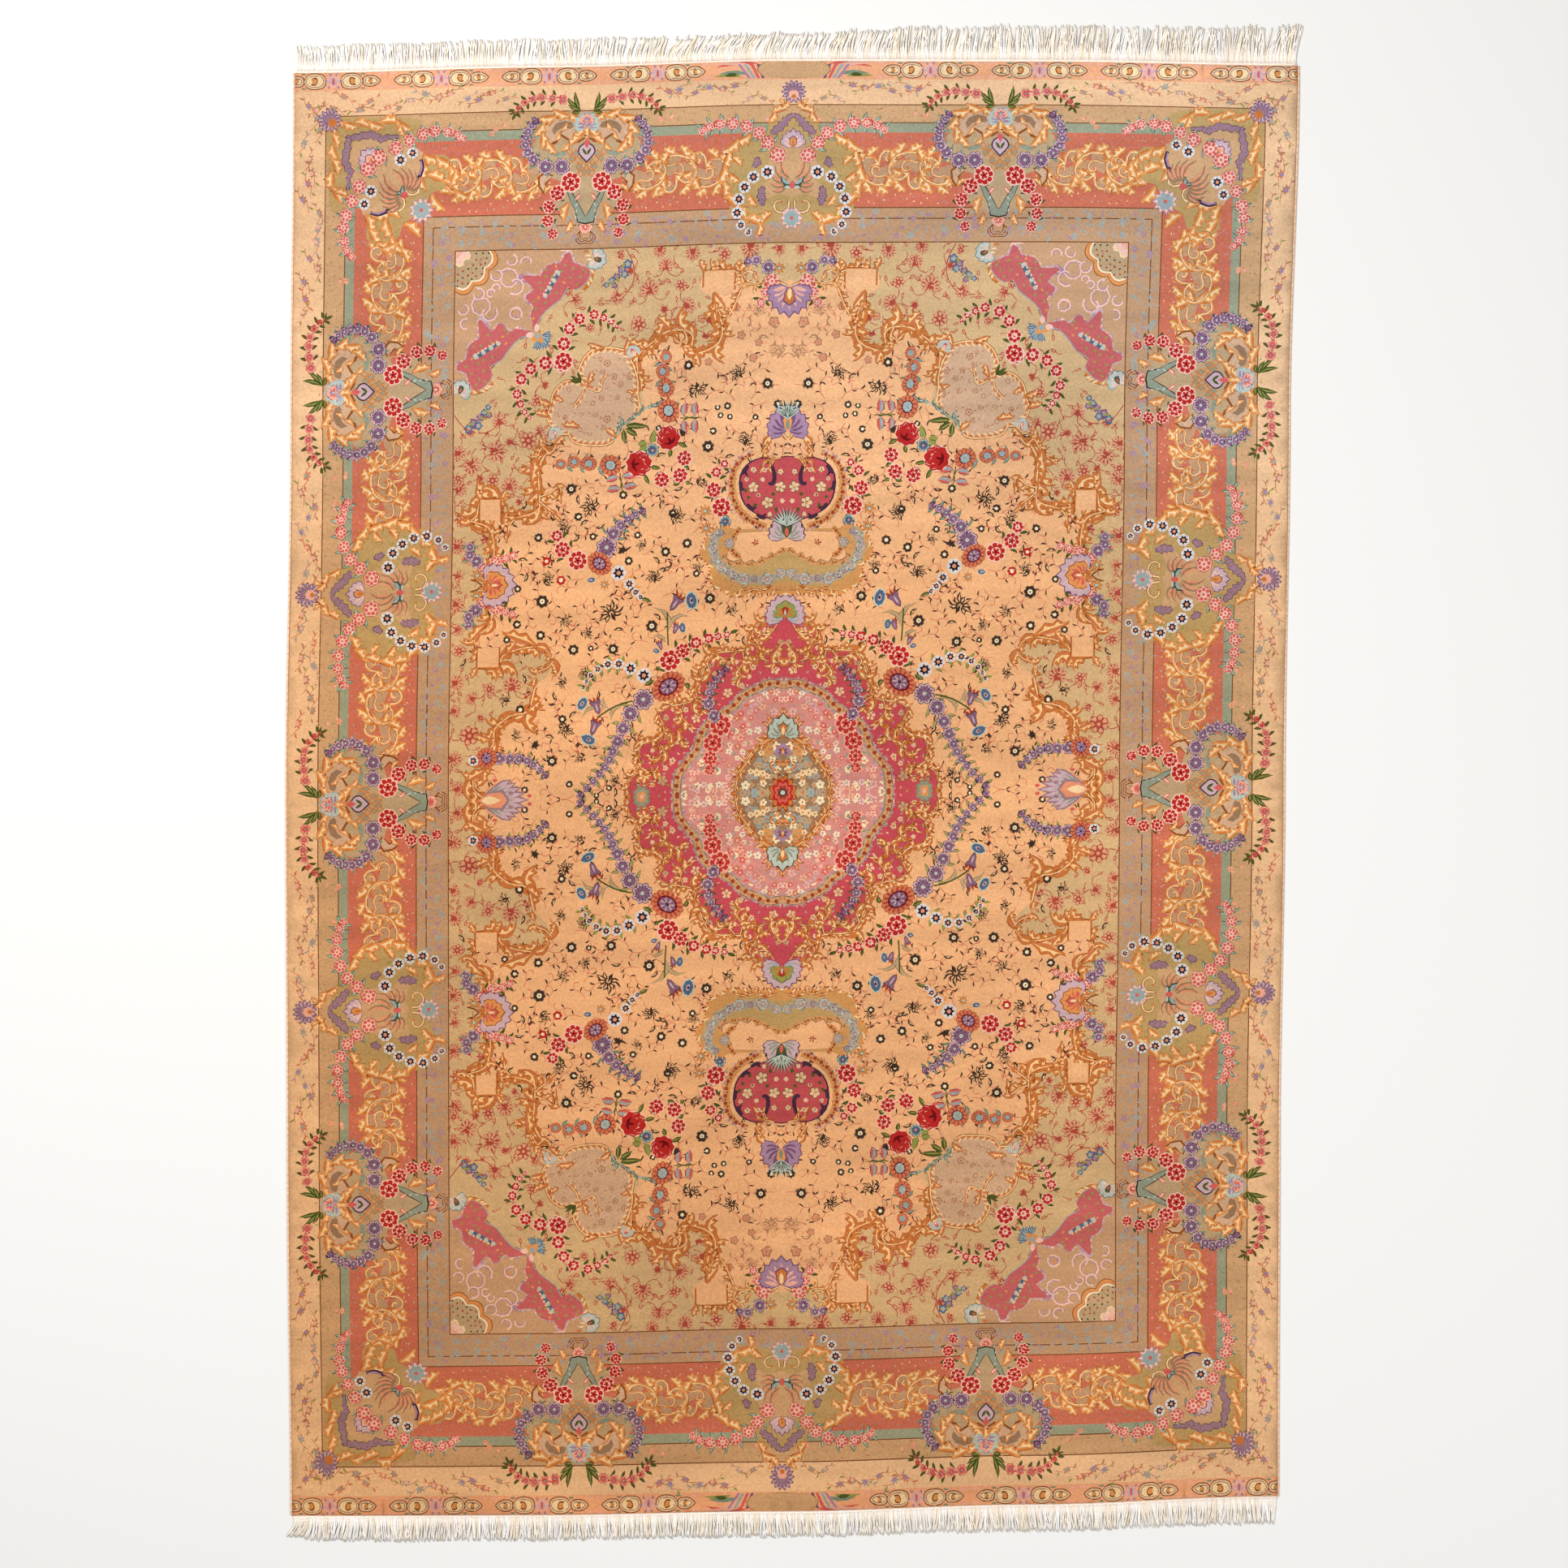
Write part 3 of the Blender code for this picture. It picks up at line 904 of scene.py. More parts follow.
# columns: foot, tip, width, hand
FLAMES_B = (
    (84, 62, 112, 74, 18, 1), (108, 70, 136, 92, 18, 1), (126, 92, 140, 124, 17, 1),
    (134, 120, 148, 152, 18, 1), (138, 150, 136, 184, 18, 1), (132, 178, 108, 206, 18, 1),
    (112, 198, 90, 232, 17, 1), (92, 222, 58, 238, 17, 1), (60, 232, 40, 214, 14, 1),
    (126, 136, 106, 150, 14, -1), (122, 104, 104, 122, 12, 1), (16, 8, 40, 18, 14, -1),
    (36, 16, 50, 36, 13, 1), (10, -8, 24, 8, 12, 1), (20, 0, 30, -12, 9, -1), (70, 200, 84, 178, 13, 1),
    (62, 232, 70, 258, 12, 1)
)


def jagged_rosette(pen, centre):
    """A mauve rosette with narrow petals, dark and pale."""
    pen.fill(scallop(centre, 21.0, 14, 0.2), "mauve")
    petal_ring(pen, centre, 14, 9.0, 26.0, 6.4, "plum")
    petal_ring(pen, centre, 14, 11.0, 23.0, 3.4, "lilac_light")


# Toothed bands.  columns: width, route
BANDS_B = (
    (13.0, points(0, 20, 12, 30, 22, 42, 38, 56, 44, 62)), (13.0, points(58, 162, 62, 176, 60, 192, 64, 198)),
    (11.0, points(74, 106, 70, 116, 80, 124))
)
# columns: foot, tip, width, bend, tone
GREEN_LEAVES_B = (
    (92 + 140j, 101 + 146j, 5, 0, "leaf_light"), (104 + 164j, 113 + 170j, 5, 0, "leaf_light"),
    (60 + 212j, 69 + 218j, 5, 0, "leaf_light"), (84 + 214j, 93 + 220j, 5, 0, "leaf_light")
)
SHELL_LEAVES_B = (
    (160j, 24 + 142j, 12, 0.2, "sea_dark"), (2 + 158j, 21 + 143j, 7, 0.2, "blue_light"),
    (166j, 20 + 166j, 9, -0.2, "sea_dark"), (3 + 166j, 17 + 166j, 5, -0.2, "sky"),
    (84j, 20 + 72j, 10, 0, "coral_light")
)


def draw_motif_b(pen):
    """The bracket of gold leafwork, its fans, palmette and star, and the garlands over it."""
    for half in both_ways(pen):
        for tone, outline in GROUNDS_B:
            half.fill(outline[:1] + spline(outline, 2)[1:], tone)
    for half in both_ways(pen):
        flames(half, FLAMES_B, FLAME_BOW, WARM)
        volute(half, 24 + 198j, 20.0, 200, -0.9, 4.6, AMBER)
        for width, route in BANDS_B:
            jagged_band(half, route, width)
        plain_leaves(half, GREEN_LEAVES_B)
    flame_fan(pen.at(160j, -90), 62, 11, 210)
    for half in both_ways(pen):
        plain_leaves(half, SHELL_LEAVES_B)
    pen.fill(ellipse(160j, 6, 8, 0, 7), "coral")
    palmette(pen.at(90j, -90), 42, ("plum", "lilac_light", "blush"), 7, 110, ("gold", "amber"))
    jagged_star(pen, 224j, 25)
    jagged_rosette(pen, -28j)
    pen.fill(scallop(-22j, 11, 7, 0.2), "coral_light")
    pen.fill(ellipse(-18j, 5, points=7), "amber")
    for half in both_ways(pen):
        garland(half, PINK_GARLAND, pale_rose, 11.0, SEA_LEAVES)
        garland(half, PIED_ARC, pied_bloom, 6.0, ("leaf_light", "green", "sky"))


# ---- the corner motif, in distances inward from the guard line's corner

CORNER_ROSES = (
    (275, 54, 8), (264, 45, 9), (246, 39, 10.5), (219, 37, 11.5), (196, 42, 12.5), (168, 54, 12.5),
    (141, 68, 13.5), (107, 86, 15)
)
CORNER_PIED = ((175, 79, 9.5), (151, 92, 10.5))
GROUNDS_CORNER = (
    ("green", points(0, 0, 168, 8, 190, 22, 176, 60, 206, 84, 240, 84, 258, 112, 240, 150, 214, 158,
        196, 190, 180, 180, 150, 150)),
    ("tan", points(56, 56, 110, 46, 150, 60, 196, 78, 200, 120, 186, 150, 160, 160)),
)
# columns: foot, tip, width, hand
FLAMES_CORNER = (
    (10, 12, 38, 24, 15, -1), (34, 12, 64, 22, 15, 1), (58, 12, 88, 26, 16, -1), (84, 12, 116, 24, 16, 1),
    (110, 14, 146, 16, 18, -1), (140, 12, 172, 30, 18, 1), (150, 20, 160, 44, 12, 1),
    (196, 84, 230, 92, 18, 1), (222, 88, 256, 104, 18, 1), (250, 104, 280, 134, 18, 1),
    (204, 122, 240, 138, 18, -1), (236, 134, 268, 158, 17, -1), (260, 152, 290, 168, 15, 1),
    (196, 96, 190, 132, 15, -1), (214, 160, 242, 190, 17, 1), (190, 118, 204, 150, 13, 1),
    (262, 112, 250, 146, 13, -1)
)


CORNER_BAND = points(148, 46, 124, 46, 112, 50, 92, 40, 66, 44, 46, 46, 42, 42)
# columns: foot, tip, width, bend, tone
CORNER_SHELL = ((164 + 164j, 140 + 156j, 12, 0.2, "sea_dark"), (162 + 163j, 143 + 156j, 7, 0.2, "blue_light"))


def draw_corner(pen):
    """The corner: a diagonal garland of pink roses over green, with gold leafwork to both sides."""
    corner = pen.at(CORNER, 180.0)
    for half in both_sides(corner):
        for tone, outline in GROUNDS_CORNER:
            half.fill(outline[:1] + spline(outline, 2)[1:] + [outline[0]], tone)
    for half in both_sides(corner):
        flames(half, FLAMES_CORNER, FLAME_BOW)
        volute(half, 178 + 146j, 17.0, 160, -0.9, 4.4)
        jagged_band(half, CORNER_BAND, 12.0)
        draw_vine(half, [192 + 92j, 196 + 108j, 190 + 124j, 182 + 134j], 7.0, "plum_dark")
        draw_vine(half, [191 + 94j, 194 + 108j, 188 + 122j], 4.0, "lilac")
    flame_fan(corner.at(166 + 166j, -135), 72, 11, 150)
    palmette(corner.at(98 + 98j, -135), 40, ("plum", "lilac_light", "blush"), 7, 120, ("coral_light", "gold"))
    for half in both_sides(corner):
        plain_leaves(half, CORNER_SHELL)
    corner.fill(scallop(160 + 160j, 8, 6, 0.2), "coral")
    jagged_star(corner, 194 + 190j, 27)
    for half in both_sides(corner):
        garland(half, CORNER_ROSES, pale_rose, 11.0, SEA_LEAVES)
        garland(half, CORNER_PIED, pied_bloom)
    jagged_rosette(corner, 8 + 8j)
    corner.fill(scallop(14 + 14j, 10, 7, 0.2), "amber")


# ---- the gold chain along the rose band

CHAIN_MIDDLE = 129.0
CHAIN_UNIT = 70.0
CHAIN_BOW = 0.16
CHAIN_WIDEN = 1.2              # the leaves' real width against the table's
CHAIN_GROUNDS = (
    points(-38, 18, -26, 30, -8, 26, 4, 8, -2, -8, -14, -18, -30, -14, -40, 0),
    points(-4, -10, 12, 2, 34, 6, 42, -12, 32, -32, 8, -38, -12, -30),
    points(14, 28, 28, 40, 42, 28, 34, 12, 20, 14)
)
# Leaves of one unit of the chain, those under the scrolls first.  columns: foot, tip, width, hand
CHAIN_LEAVES = (
    (-36, 6, -46, -32, 17, 1), (-26, -16, -14, -54, 18, -1), (-2, -34, 24, -55, 17, -1),
    (24, -38, 52, -38, 16, 1), (-34, 20, -42, 50, 16, -1), (-20, 28, 8, 46, 17, 1),
    (36, 36, 60, 24, 15, 1), (38, -6, 60, -16, 15, -1), (10, 20, -12, 8, 13, 1), (34, -22, 14, -32, 12, 1)
)
# Scrolls of one unit.  columns: width, hand, route
CHAIN_STEMS = (
    (6.5, -1, points(-30, 26, -40, 12, -38, -8, -28, -24, -8, -36, 12, -39, 32, -32, 42, -16)),
    (6.5, 1, points(-24, 30, -6, 26, 6, 14, 10, 28, 22, 40, 38, 36, 42, 22, 34, 13, 24, 16, 22, 24,
        28, 27)),
    (5.0, 1, points(30, -28, 18, -18, 4, -20, -10, -14, -12, 0, -2, 7, 7, 1, 3, -6))
)


def draw_chain(pen, start, end):
    """A chain of gold scrolls and leaves round grey-tan grounds, between two motifs."""
    units = max(int(round((end - start) / CHAIN_UNIT)), 1)
    pitch = (end - start) / units
    links = []
    for k in range(units):
        turn, size = (12.0, 0.88) if k % 2 else (-6.0, 0.84)
        links.append(pen.at(complex(start + (k + 0.5) * pitch, CHAIN_MIDDLE), turn, size, flip=k % 2 == 0))
    for link in links:
        for outline in CHAIN_GROUNDS:
            link.fill(outline, "inner")
    for link in links:
        flames(link, CHAIN_LEAVES, CHAIN_BOW, GOLD, CHAIN_WIDEN)
        for width, hand, route in CHAIN_STEMS:
            path = spline(route, 2)
            link.fill(band(path, width * 0.6 + 1.6, width * 0.5 + 1.6, width + 1.8), "gold_dark")
            link.fill(band(path, width * 0.6, width * 0.5, width), "gold")
            link.fill(band(path, width * 0.22, width * 0.2, width * 0.36, shift=-width * 0.22 * hand),
                "gold_light")


# ---- scattered small flowers in the frames

def guard_sprig(pen, place, size, turn, rng):
    """A faded lotus of loose strokes with a few leaves on a thin stem."""
    local = pen.at(place, turn, size)
    tone = rng.choice(("faded", "faded", "rust_light", "faded_blue"))
    draw_vine(local, [-24 - 4j, -8 + 4j, 6 - 2j, 22 + 6j], 1.3, "vine", 2)
    for base, tip in ((-16 + 2j, -26 + 8j), (14 + 2j, 24 - 5j)):
        local.fill(leaf(base, tip, 4.4, 0.1), "leaf_light" if rng.random() < 0.3 else tone)
    for k in range(5):
        out = way(50.0 * (k - 2) + 90)
        local.fill(leaf(out * 2, out * (11 if k % 2 else 9), 4.6), tone)
    local.fill(ellipse(0j, 4.4, points=6), rng.choice(("coral_light", "lilac", "faded_blue")))


# Where sprigs stand along the guard, and the stretches that the motifs' sprays take.
SPRIG_PITCH = 27
END_SPRIGS = range(62, 960, SPRIG_PITCH)
END_TAKEN = range(266, 575)
SIDE_SPRIGS = range(165, 1390, SPRIG_PITCH)
SIDE_TAKEN = range(656, 975)
# How far out on the guard they stand.
END_ROWS = (14, 30, 38)
SIDE_ROWS = (16, 32, 42)


def draw_guard_sprigs(pen, rng):
    """Sprigs along the guard, clear of the sprays."""
    for x in END_SPRIGS:
        if x not in END_TAKEN:
            along = x + rng.uniform(-5, 5)
            place = complex(along, TAN[1] + rng.choice(END_ROWS) + rng.uniform(-4, 4))
            guard_sprig(pen, place, rng.uniform(0.9, 1.25), rng.uniform(-40, 40), rng)
    for y in SIDE_SPRIGS:
        if y not in SIDE_TAKEN:
            out = TAN[0] + rng.choice(SIDE_ROWS) + rng.uniform(-4, 4)
            place = complex(out, y + rng.uniform(-5, 5))
            guard_sprig(pen, place, rng.uniform(0.9, 1.25), 90 + rng.uniform(-40, 40), rng)


FLECK_PITCH = 15.5
OUTER_FLECKS = ("lilac", "blue_light")
INNER_FLECKS = ("amber_light", "amber_light", "blue_light", "sky")


def draw_flecks(pen, rng):
    """Tiny dashes over the rose band, blue towards its outer edge and gold inward."""
    for place in jittered(0j, complex(ROSE[0] - 4, ROSE[1] - 4), FLECK_PITCH, rng, 0.45):
        if place.real < INNER[0] + 5 and place.imag < INNER[1] + 5:
            continue
        out = max(place.real - INNER[0], place.imag - INNER[1])
        tone = rng.choice(OUTER_FLECKS if out > 70.0 else INNER_FLECKS)
        pen.fill(leaf(place, place + way(rng.uniform(20, 160)) * 5.4, 2.4), tone)


def draw_inner_border(pen, rng):
    """Blue-grey flowers, leaves and scrolls over the inner border."""
    for place in jittered(0j, complex(INNER[0] - 3, INNER[1] - 3), FLECK_PITCH, rng, 0.3):
        across, up = place.real - FIELD[0], place.imag - FIELD[1]
        if (across < 9 and up < 9) or place.real > INNER[0] - 7 or place.imag > INNER[1] - 7:
            continue
        kind = rng.random()
        turn = rng.uniform(0, 360)
        tone = rng.choice(("faded_blue", "faded_blue", "blue_light", "lilac"))
        if kind < 0.45:
            pen.fill(star(place, rng.uniform(6, 9), 5, 0.5, turn), tone)
            pen.fill(ellipse(place, 2.4, points=5), "inner")
        elif kind < 0.8:
            pen.fill(leaf(place, place + way(turn) * 13, 5.0, 0.15), tone)
        else:
            draw_vine(pen, [place, place + way(turn) * 9, place + way(turn + 40) * 18], 1.6, tone, 2)


# Where bunches of pale flowers cross the tan and teal bands.
BAND_BUNCHES = points(40, 1325, 255, 1325, 590, 1325, 905, 165, 905, 240, 905, 590, 905, 660, 905, 1045)


def draw_band_sprigs(pen, rng):
    """Pale flowers that cross the tan and teal bands here and there."""
    for spot in BAND_BUNCHES:
        for k in range(3):
            small_bloom(pen, spot + complex(rng.uniform(-14, 14), rng.uniform(-14, 14)), rng.uniform(4.5, 7),
                        ("salmon", "coral_light", "amber"), rng.uniform(0, 70))
    for place in jittered(0j, complex(TAN[0] - 4, TAN[1] - 4), 19.0, rng, 0.45):
        if place.real > TEAL[0] + 4 or place.imag > TEAL[1] + 4:
            pen.fill(leaf(place, place + way(rng.uniform(0, 360)) * 8, 2.6, 0.2),
                rng.choice(("faded", "vine", "leaf_light")))


def draw_borders(pen, rng):
    """Everything between the rug's edge and the field."""
    draw_grounds(pen)
    draw_strip(pen)
    draw_guard_sprigs(pen, rng)
    draw_flecks(pen, rng)
    draw_inner_border(pen, rng)
    draw_band_sprigs(pen, rng)
    end, side = along_end(pen, 0.0), along_side(pen, 0.0)
    for start, stop in ((138, 318), (508, 690)):
        draw_chain(end, start, stop)
    for start, stop in ((96, 292), (546, 724), (908, 1098)):
        draw_chain(side, start, stop)
    draw_corner(pen)
    for local in (along_end(pen, 413.0), along_side(pen, 0.0), along_side(pen, 816.0)):
        draw_motif_a(local)
    for local in (along_end(pen, 0.0), along_side(pen, 419.0)):
        draw_motif_b(local)
# ---------------------------------------------------------------- the field
# Tables of places are in millimetres from the rug's middle: x, y, then sizes.

# The rim between the peach ground and the sage one, from the long axis round to the short one.
PEACH_RIM = points(
    0, 1012, 50, 1004, 88, 1004, 104, 1030, 140, 1034, 174, 1030, 178, 996, 152, 984, 148, 958, 134, 918,
    142, 892, 166, 878, 190, 873, 196, 888, 194, 908, 212, 918, 244, 916, 278, 892, 302, 870, 300, 830,
    292, 792, 288, 770, 312, 748, 338, 722, 360, 700, 400, 700, 436, 712, 466, 704, 492, 680, 502, 650,
    500, 600, 504, 574, 545, 562, 576, 566, 584, 596, 618, 594, 626, 566, 638, 554, 602, 540, 590, 500,
    592, 440, 592, 390, 596, 350, 626, 324, 620, 302, 618, 266, 576, 264, 566, 288, 520, 303, 484, 300,
    466, 276, 474, 250, 500, 224, 514, 176, 548, 168, 580, 142, 582, 112, 600, 92, 604, 60, 626, 40,
    606, 12, 600, 0)
CLOUD = points(
    312, 752, 300, 770, 303, 800, 304, 830, 318, 866, 334, 884, 372, 889, 402, 880, 419, 852, 417, 832,
    402, 815, 420, 826, 448, 826, 470, 806, 476, 782, 482, 752, 462, 728, 440, 724, 428, 708, 400, 702,
    364, 702, 346, 716, 336, 736)
MEDALLION = points(
    0, 350, 40, 342, 64, 324, 72, 292, 100, 284, 138, 282, 156, 262, 168, 232, 178, 210, 176, 190, 200, 184,
    238, 176, 250, 160, 240, 132, 258, 114, 284, 106, 292, 80, 286, 58, 304, 40, 313, 18, 312, 0)
BEAD_RING = points(
    0, 214, 28, 218, 56, 206, 80, 196, 100, 174, 126, 158, 150, 142, 166, 116, 176, 86, 196, 62, 210, 38,
    214, 0
)
LOZENGE = points(0, 116, 22, 112, 46, 98, 62, 80, 78, 58, 92, 34, 99, 0)
HEART = points(
    0, 668, 30, 664, 58, 664, 80, 654, 94, 636, 98, 608, 90, 578, 72, 558, 46, 546, 22, 538, 0, 534
)
HEART_RIM = points(66, 672, 84, 666, 99, 654, 109, 636, 111, 608, 103, 574, 85, 550, 62, 535, 40, 528)
# Middle of the corner's blue shell flower.  The corner mirrors about a line at 45 degrees there.
CORNER_HUB = 497 + 908j

LEAF_BOW = 0.1
RUST_GARLANDS = (
    ((245, 868, 11, 90), (252, 840, 13, 100), (245, 807, 16, 80), (240, 763, 20, 75)),
    ((457, 665, 10, 0), (430, 669, 12, 10), (400, 665, 14, 10), (356, 660, 19, 25)),
)
LINE_LOTUSES = (
    (250, 1046, 18, 90), (282, 1000, 22, 80), (206, 966, 20, 200), (346, 990, 18, 300), (302, 934, 19, 60),
    (196, 1072, 18, 270), (80, 1076, 22, 270), (262, 1078, 16, 270), (22, 1074, 15, 270), (560, 622, 20, 90),
    (590, 692, 24, 180), (636, 666, 22, 240), (580, 750, 18, 60), (664, 690, 18, 180), (662, 618, 18, 150),
    (660, 560, 15, 200), (664, 505, 18, 180), (662, 448, 14, 160), (664, 392, 18, 200), (660, 342, 15, 180),
    (662, 236, 18, 170), (664, 180, 16, 190), (548, 226, 22, 90), (628, 204, 16, 30), (664, 84, 18, 180),
    (656, 24, 18, 140), (560, 710, 12, 0), (430, 985, 15, 200), (160, 935, 10, 90), (166, 905, 9, 270),
    (620, 640, 12, 270), (510, 640, 13, 200), (250, 960, 12, 40), (640, 130, 18, 120), (480, 770, 12, 20),
    (500, 730, 14, 100), (540, 590, 10, 0), (610, 520, 9, 60), (320, 1040, 10, 0), (490, 820, 10, 200),
)
LINE_BLOOMS = (
    (218, 1007, 12), (132, 1066, 13), (302, 934, 15), (522, 712, 17), (594, 634, 13), (656, 555, 12),
    (656, 300, 12), (594, 222, 12), (632, 130, 19), (664, 640, 11), (340, 1070, 9), (640, 730, 10),
    (646, 480, 9), (560, 260, 9), (610, 165, 9), (420, 940, 9), (445, 1000, 8), (400, 930, 9),
    (505, 790, 11), (470, 860, 8),
)
SAGE_ROSES = (
    (455, 863, 17), (452, 900, 13), (441, 929, 11.5), (421, 948, 11), (392, 956, 9.5), (373, 949, 8),
    (357, 941, 6.5), (346, 931, 5)
)
PEONIES = ((240, 710, 24, 60), (299, 661, 26, 170))
SMALL_ROSES = (
    (208, 668, 14), (216, 635, 14), (252, 627, 14), (132, 568, 18), (148, 603, 14), (143, 638, 10),
    (127, 654, 8), (420, 474, 18), (451, 496, 15), (463, 523, 11)
)
FIELD_ROSES = ((230, 270, 20), (205, 288, 14), (178, 303, 11.5), (153, 311, 10), (134, 314, 8), (116, 317, 7))
FIELD_PIED = (
    (282, 242, 13), (309, 257, 11), (333, 267, 9), (355, 267, 8.5), (375, 258, 7), (389, 246, 6),
    (398, 234, 5), (404, 222, 4.5)
)
SIDE_PIED = ((337, 447, 13), (315, 425, 9), (302, 408, 7), (292, 398, 6))
OGEE = (
    (282, 194, 22), (308, 167, 18), (322, 138, 15), (333, 113, 13.5), (342, 93, 11), (349, 77, 10.5),
    (358, 62, 9.5), (369, 48, 9), (381, 34, 8.5), (394, 21, 8), (408, 8, 7.5)
)
OGEE_TAIL = (
    (571, 83, 13), (550, 83, 12), (531, 82, 11), (515, 78, 10), (502, 70, 9), (489, 60, 8), (479, 49, 7)
)
SIDE_PURPLE = ((362, 498, 22), (349, 524, 15), (334, 540, 12), (319, 552, 10), (305, 561, 8.5), (291, 567, 7))
WINE_PURPLE = (
    (140, 156, 14), (151, 181, 13), (149, 203, 9.5), (143, 217, 8.5), (135, 229, 7.5), (126, 240, 6.5),
    (118, 249, 5)
)
PINK_ROSES = ((126, 137, 20), (141, 102, 18), (146, 72, 13.5), (147, 49, 10))


# columns: x, y, radius
RINGS = (
    (41, 810, 10), (160, 690, 11), (121, 768, 7), (141, 766, 6), (116, 747, 6), (135, 750, 6),
    (65, 745, 6), (435, 615, 10), (243, 485, 9), (317, 470, 8), (268, 340, 11), (152, 390, 10),
    (345, 297, 10), (425, 298, 10), (465, 77, 10), (490, 395, 12), (492, 328, 9), (375, 6, 6),
    (190, 800, 8), (70, 860, 9), (160, 855, 8), (230, 560, 8), (300, 520, 7), (200, 500, 9),
    (330, 600, 8), (420, 560, 8), (540, 350, 8), (530, 180, 9), (445, 160, 8), (540, 420, 7),
    (390, 300, 6), (180, 440, 7), (30, 930, 11), (95, 905, 9), (60, 890, 8), (175, 940, 9), (105, 960, 8),
    (200, 850, 9), (520, 20, 7), (350, 20, 6), (500, 520, 8), (390, 520, 7), (260, 730, 6), (150, 720, 7),
    (20, 770, 8), (470, 560, 7), (560, 320, 7), (430, 30, 7)
)
# columns: x, y, radius, way that it opens
LOTUSES = (
    (100, 830, 17, 40), (85, 700, 16, 110), (180, 805, 18, 250), (395, 578, 20, 30), (222, 555, 17, 200),
    (350, 368, 24, 60), (265, 435, 16, 80), (178, 450, 13, 120), (108, 365, 13, 150), (445, 233, 12, 10),
    (437, 140, 17, 300), (408, 80, 12, 60), (443, 357, 14, 210), (338, 35, 12, 20), (20, 870, 18, 90),
    (140, 900, 15, 30), (60, 955, 14, 300), (450, 540, 15, 140), (395, 330, 12, 330), (520, 300, 13, 250),
    (560, 200, 14, 20), (400, 250, 14, 70), (540, 130, 12, 170), (290, 500, 12, 20), (170, 620, 11, 300),
    (330, 490, 10, 60), (480, 440, 14, 120), (210, 720, 10, 60), (500, 110, 10, 210)
)
# columns: first and last point of PEACH_RIM, width, hand
RIM_RUNS = (
    (2, 4, 10.5, 1), (7, 13, 12.0, 1), (13, 19, 12.0, -1), (27, 33, 12.0, 1), (33, 40, 11.0, 1),
    (39, 44, 10.5, 1), (45, 50, 10.5, 1), (52, 58, 12.0, -1), (58, 66, 10.5, 1)
)
RIM_SPRIGS = (
    points(96, 1000, 108, 970, 118, 950, 132, 930), points(152, 984, 146, 960, 136, 940),
    points(212, 918, 206, 904, 216, 894, 224, 902),
    points(466, 704, 478, 688, 494, 700, 506, 680, 528, 656),
    points(498, 600, 478, 606, 460, 620, 456, 604), points(500, 592, 484, 578, 468, 566),
    points(545, 562, 560, 545, 562, 528), points(466, 276, 480, 262, 496, 256, 500, 240)
)
# columns: foot, tip, width, hand
RIM_LEAVES = (
    (500, 306, 566, 330, 17, 1), (510, 676, 516, 632, 18, -1), (604, 352, 634, 318, 15, 1),
    (152, 990, 128, 960, 16, 1), (186, 876, 176, 850, 14, 1), (262, 902, 250, 938, 15, -1),
    (288, 884, 322, 900, 14, 1), (236, 920, 262, 946, 14, 1), (600, 60, 636, 40, 14, 1),
    (590, 120, 618, 132, 13, -1), (516, 176, 494, 196, 14, 1), (560, 290, 540, 316, 13, -1),
    (596, 400, 618, 380, 12, 1), (500, 612, 524, 590, 14, -1), (470, 704, 452, 722, 12, 1)
)


# columns: route, width, hand
CLOUD_RIMS = ((CLOUD[:12], 9.0, -1), (CLOUD[11:18], 8.0, -1), (CLOUD[17:], 9.0, -1))
# columns: foot, tip, width, hand
CLOUD_LEAVES = (
    (346, 716, 366, 730, 11, 1), (420, 738, 452, 740, 12, 1), (476, 782, 500, 792, 13, -1),
    (482, 760, 508, 766, 13, 1), (470, 800, 452, 790, 10, 1), (318, 866, 302, 892, 12, 1),
    (372, 889, 400, 900, 11, -1), (304, 800, 322, 806, 10, -1), (403, 820, 396, 846, 11, 1),
    (330, 880, 322, 906, 11, 1)
)


def peony(pen, centre, radius, turn):
    """A big red flower seen from the side, its petals parted by pale lines."""
    local = pen.at(centre, turn)
    local.fill(scallop(0j, radius * 1.06, 9, 0.14), "blush")
    petal_ring(local, 0j, 9, radius * 0.3, radius * 1.02, radius * 0.62, "red")
    local.fill(ellipse(0j, radius * 0.6, points=9), "red_dark")
    for reach, spread, count, tone in ((0.94, 150.0, 5, "blush"), (0.88, 150.0, 5, "red"),
            (0.56, 110.0, 4, "blush"), (0.5, 110.0, 4, "red")):
        for k in range(count):
            out = way(spread * (k / (count - 1.0) - 0.5))
            local.fill(leaf(-radius * 0.34 + 0j, out * radius * reach, radius * 0.4, 0.0, PETAL_SWELL), tone)
    local.fill(leaf(-radius * 0.5 + 0j, radius * 0.1 + 0j, radius * 0.3, 0.0, SMALL_LEAF), "red_dark")


def gold_star(pen, centre, radius, turn=0.0):
    """A gold flower of eight points with a blue-grey heart."""
    pen.fill(star(centre, radius * 1.1, 8, 0.5, turn), "amber_dark")
    pen.fill(star(centre, radius * 0.92, 8, 0.48, turn), "gold")
    pen.fill(ellipse(centre, radius * 0.36, points=8), "sea_dark")
    pen.fill(ellipse(centre, radius * 0.27, points=7), "sky")


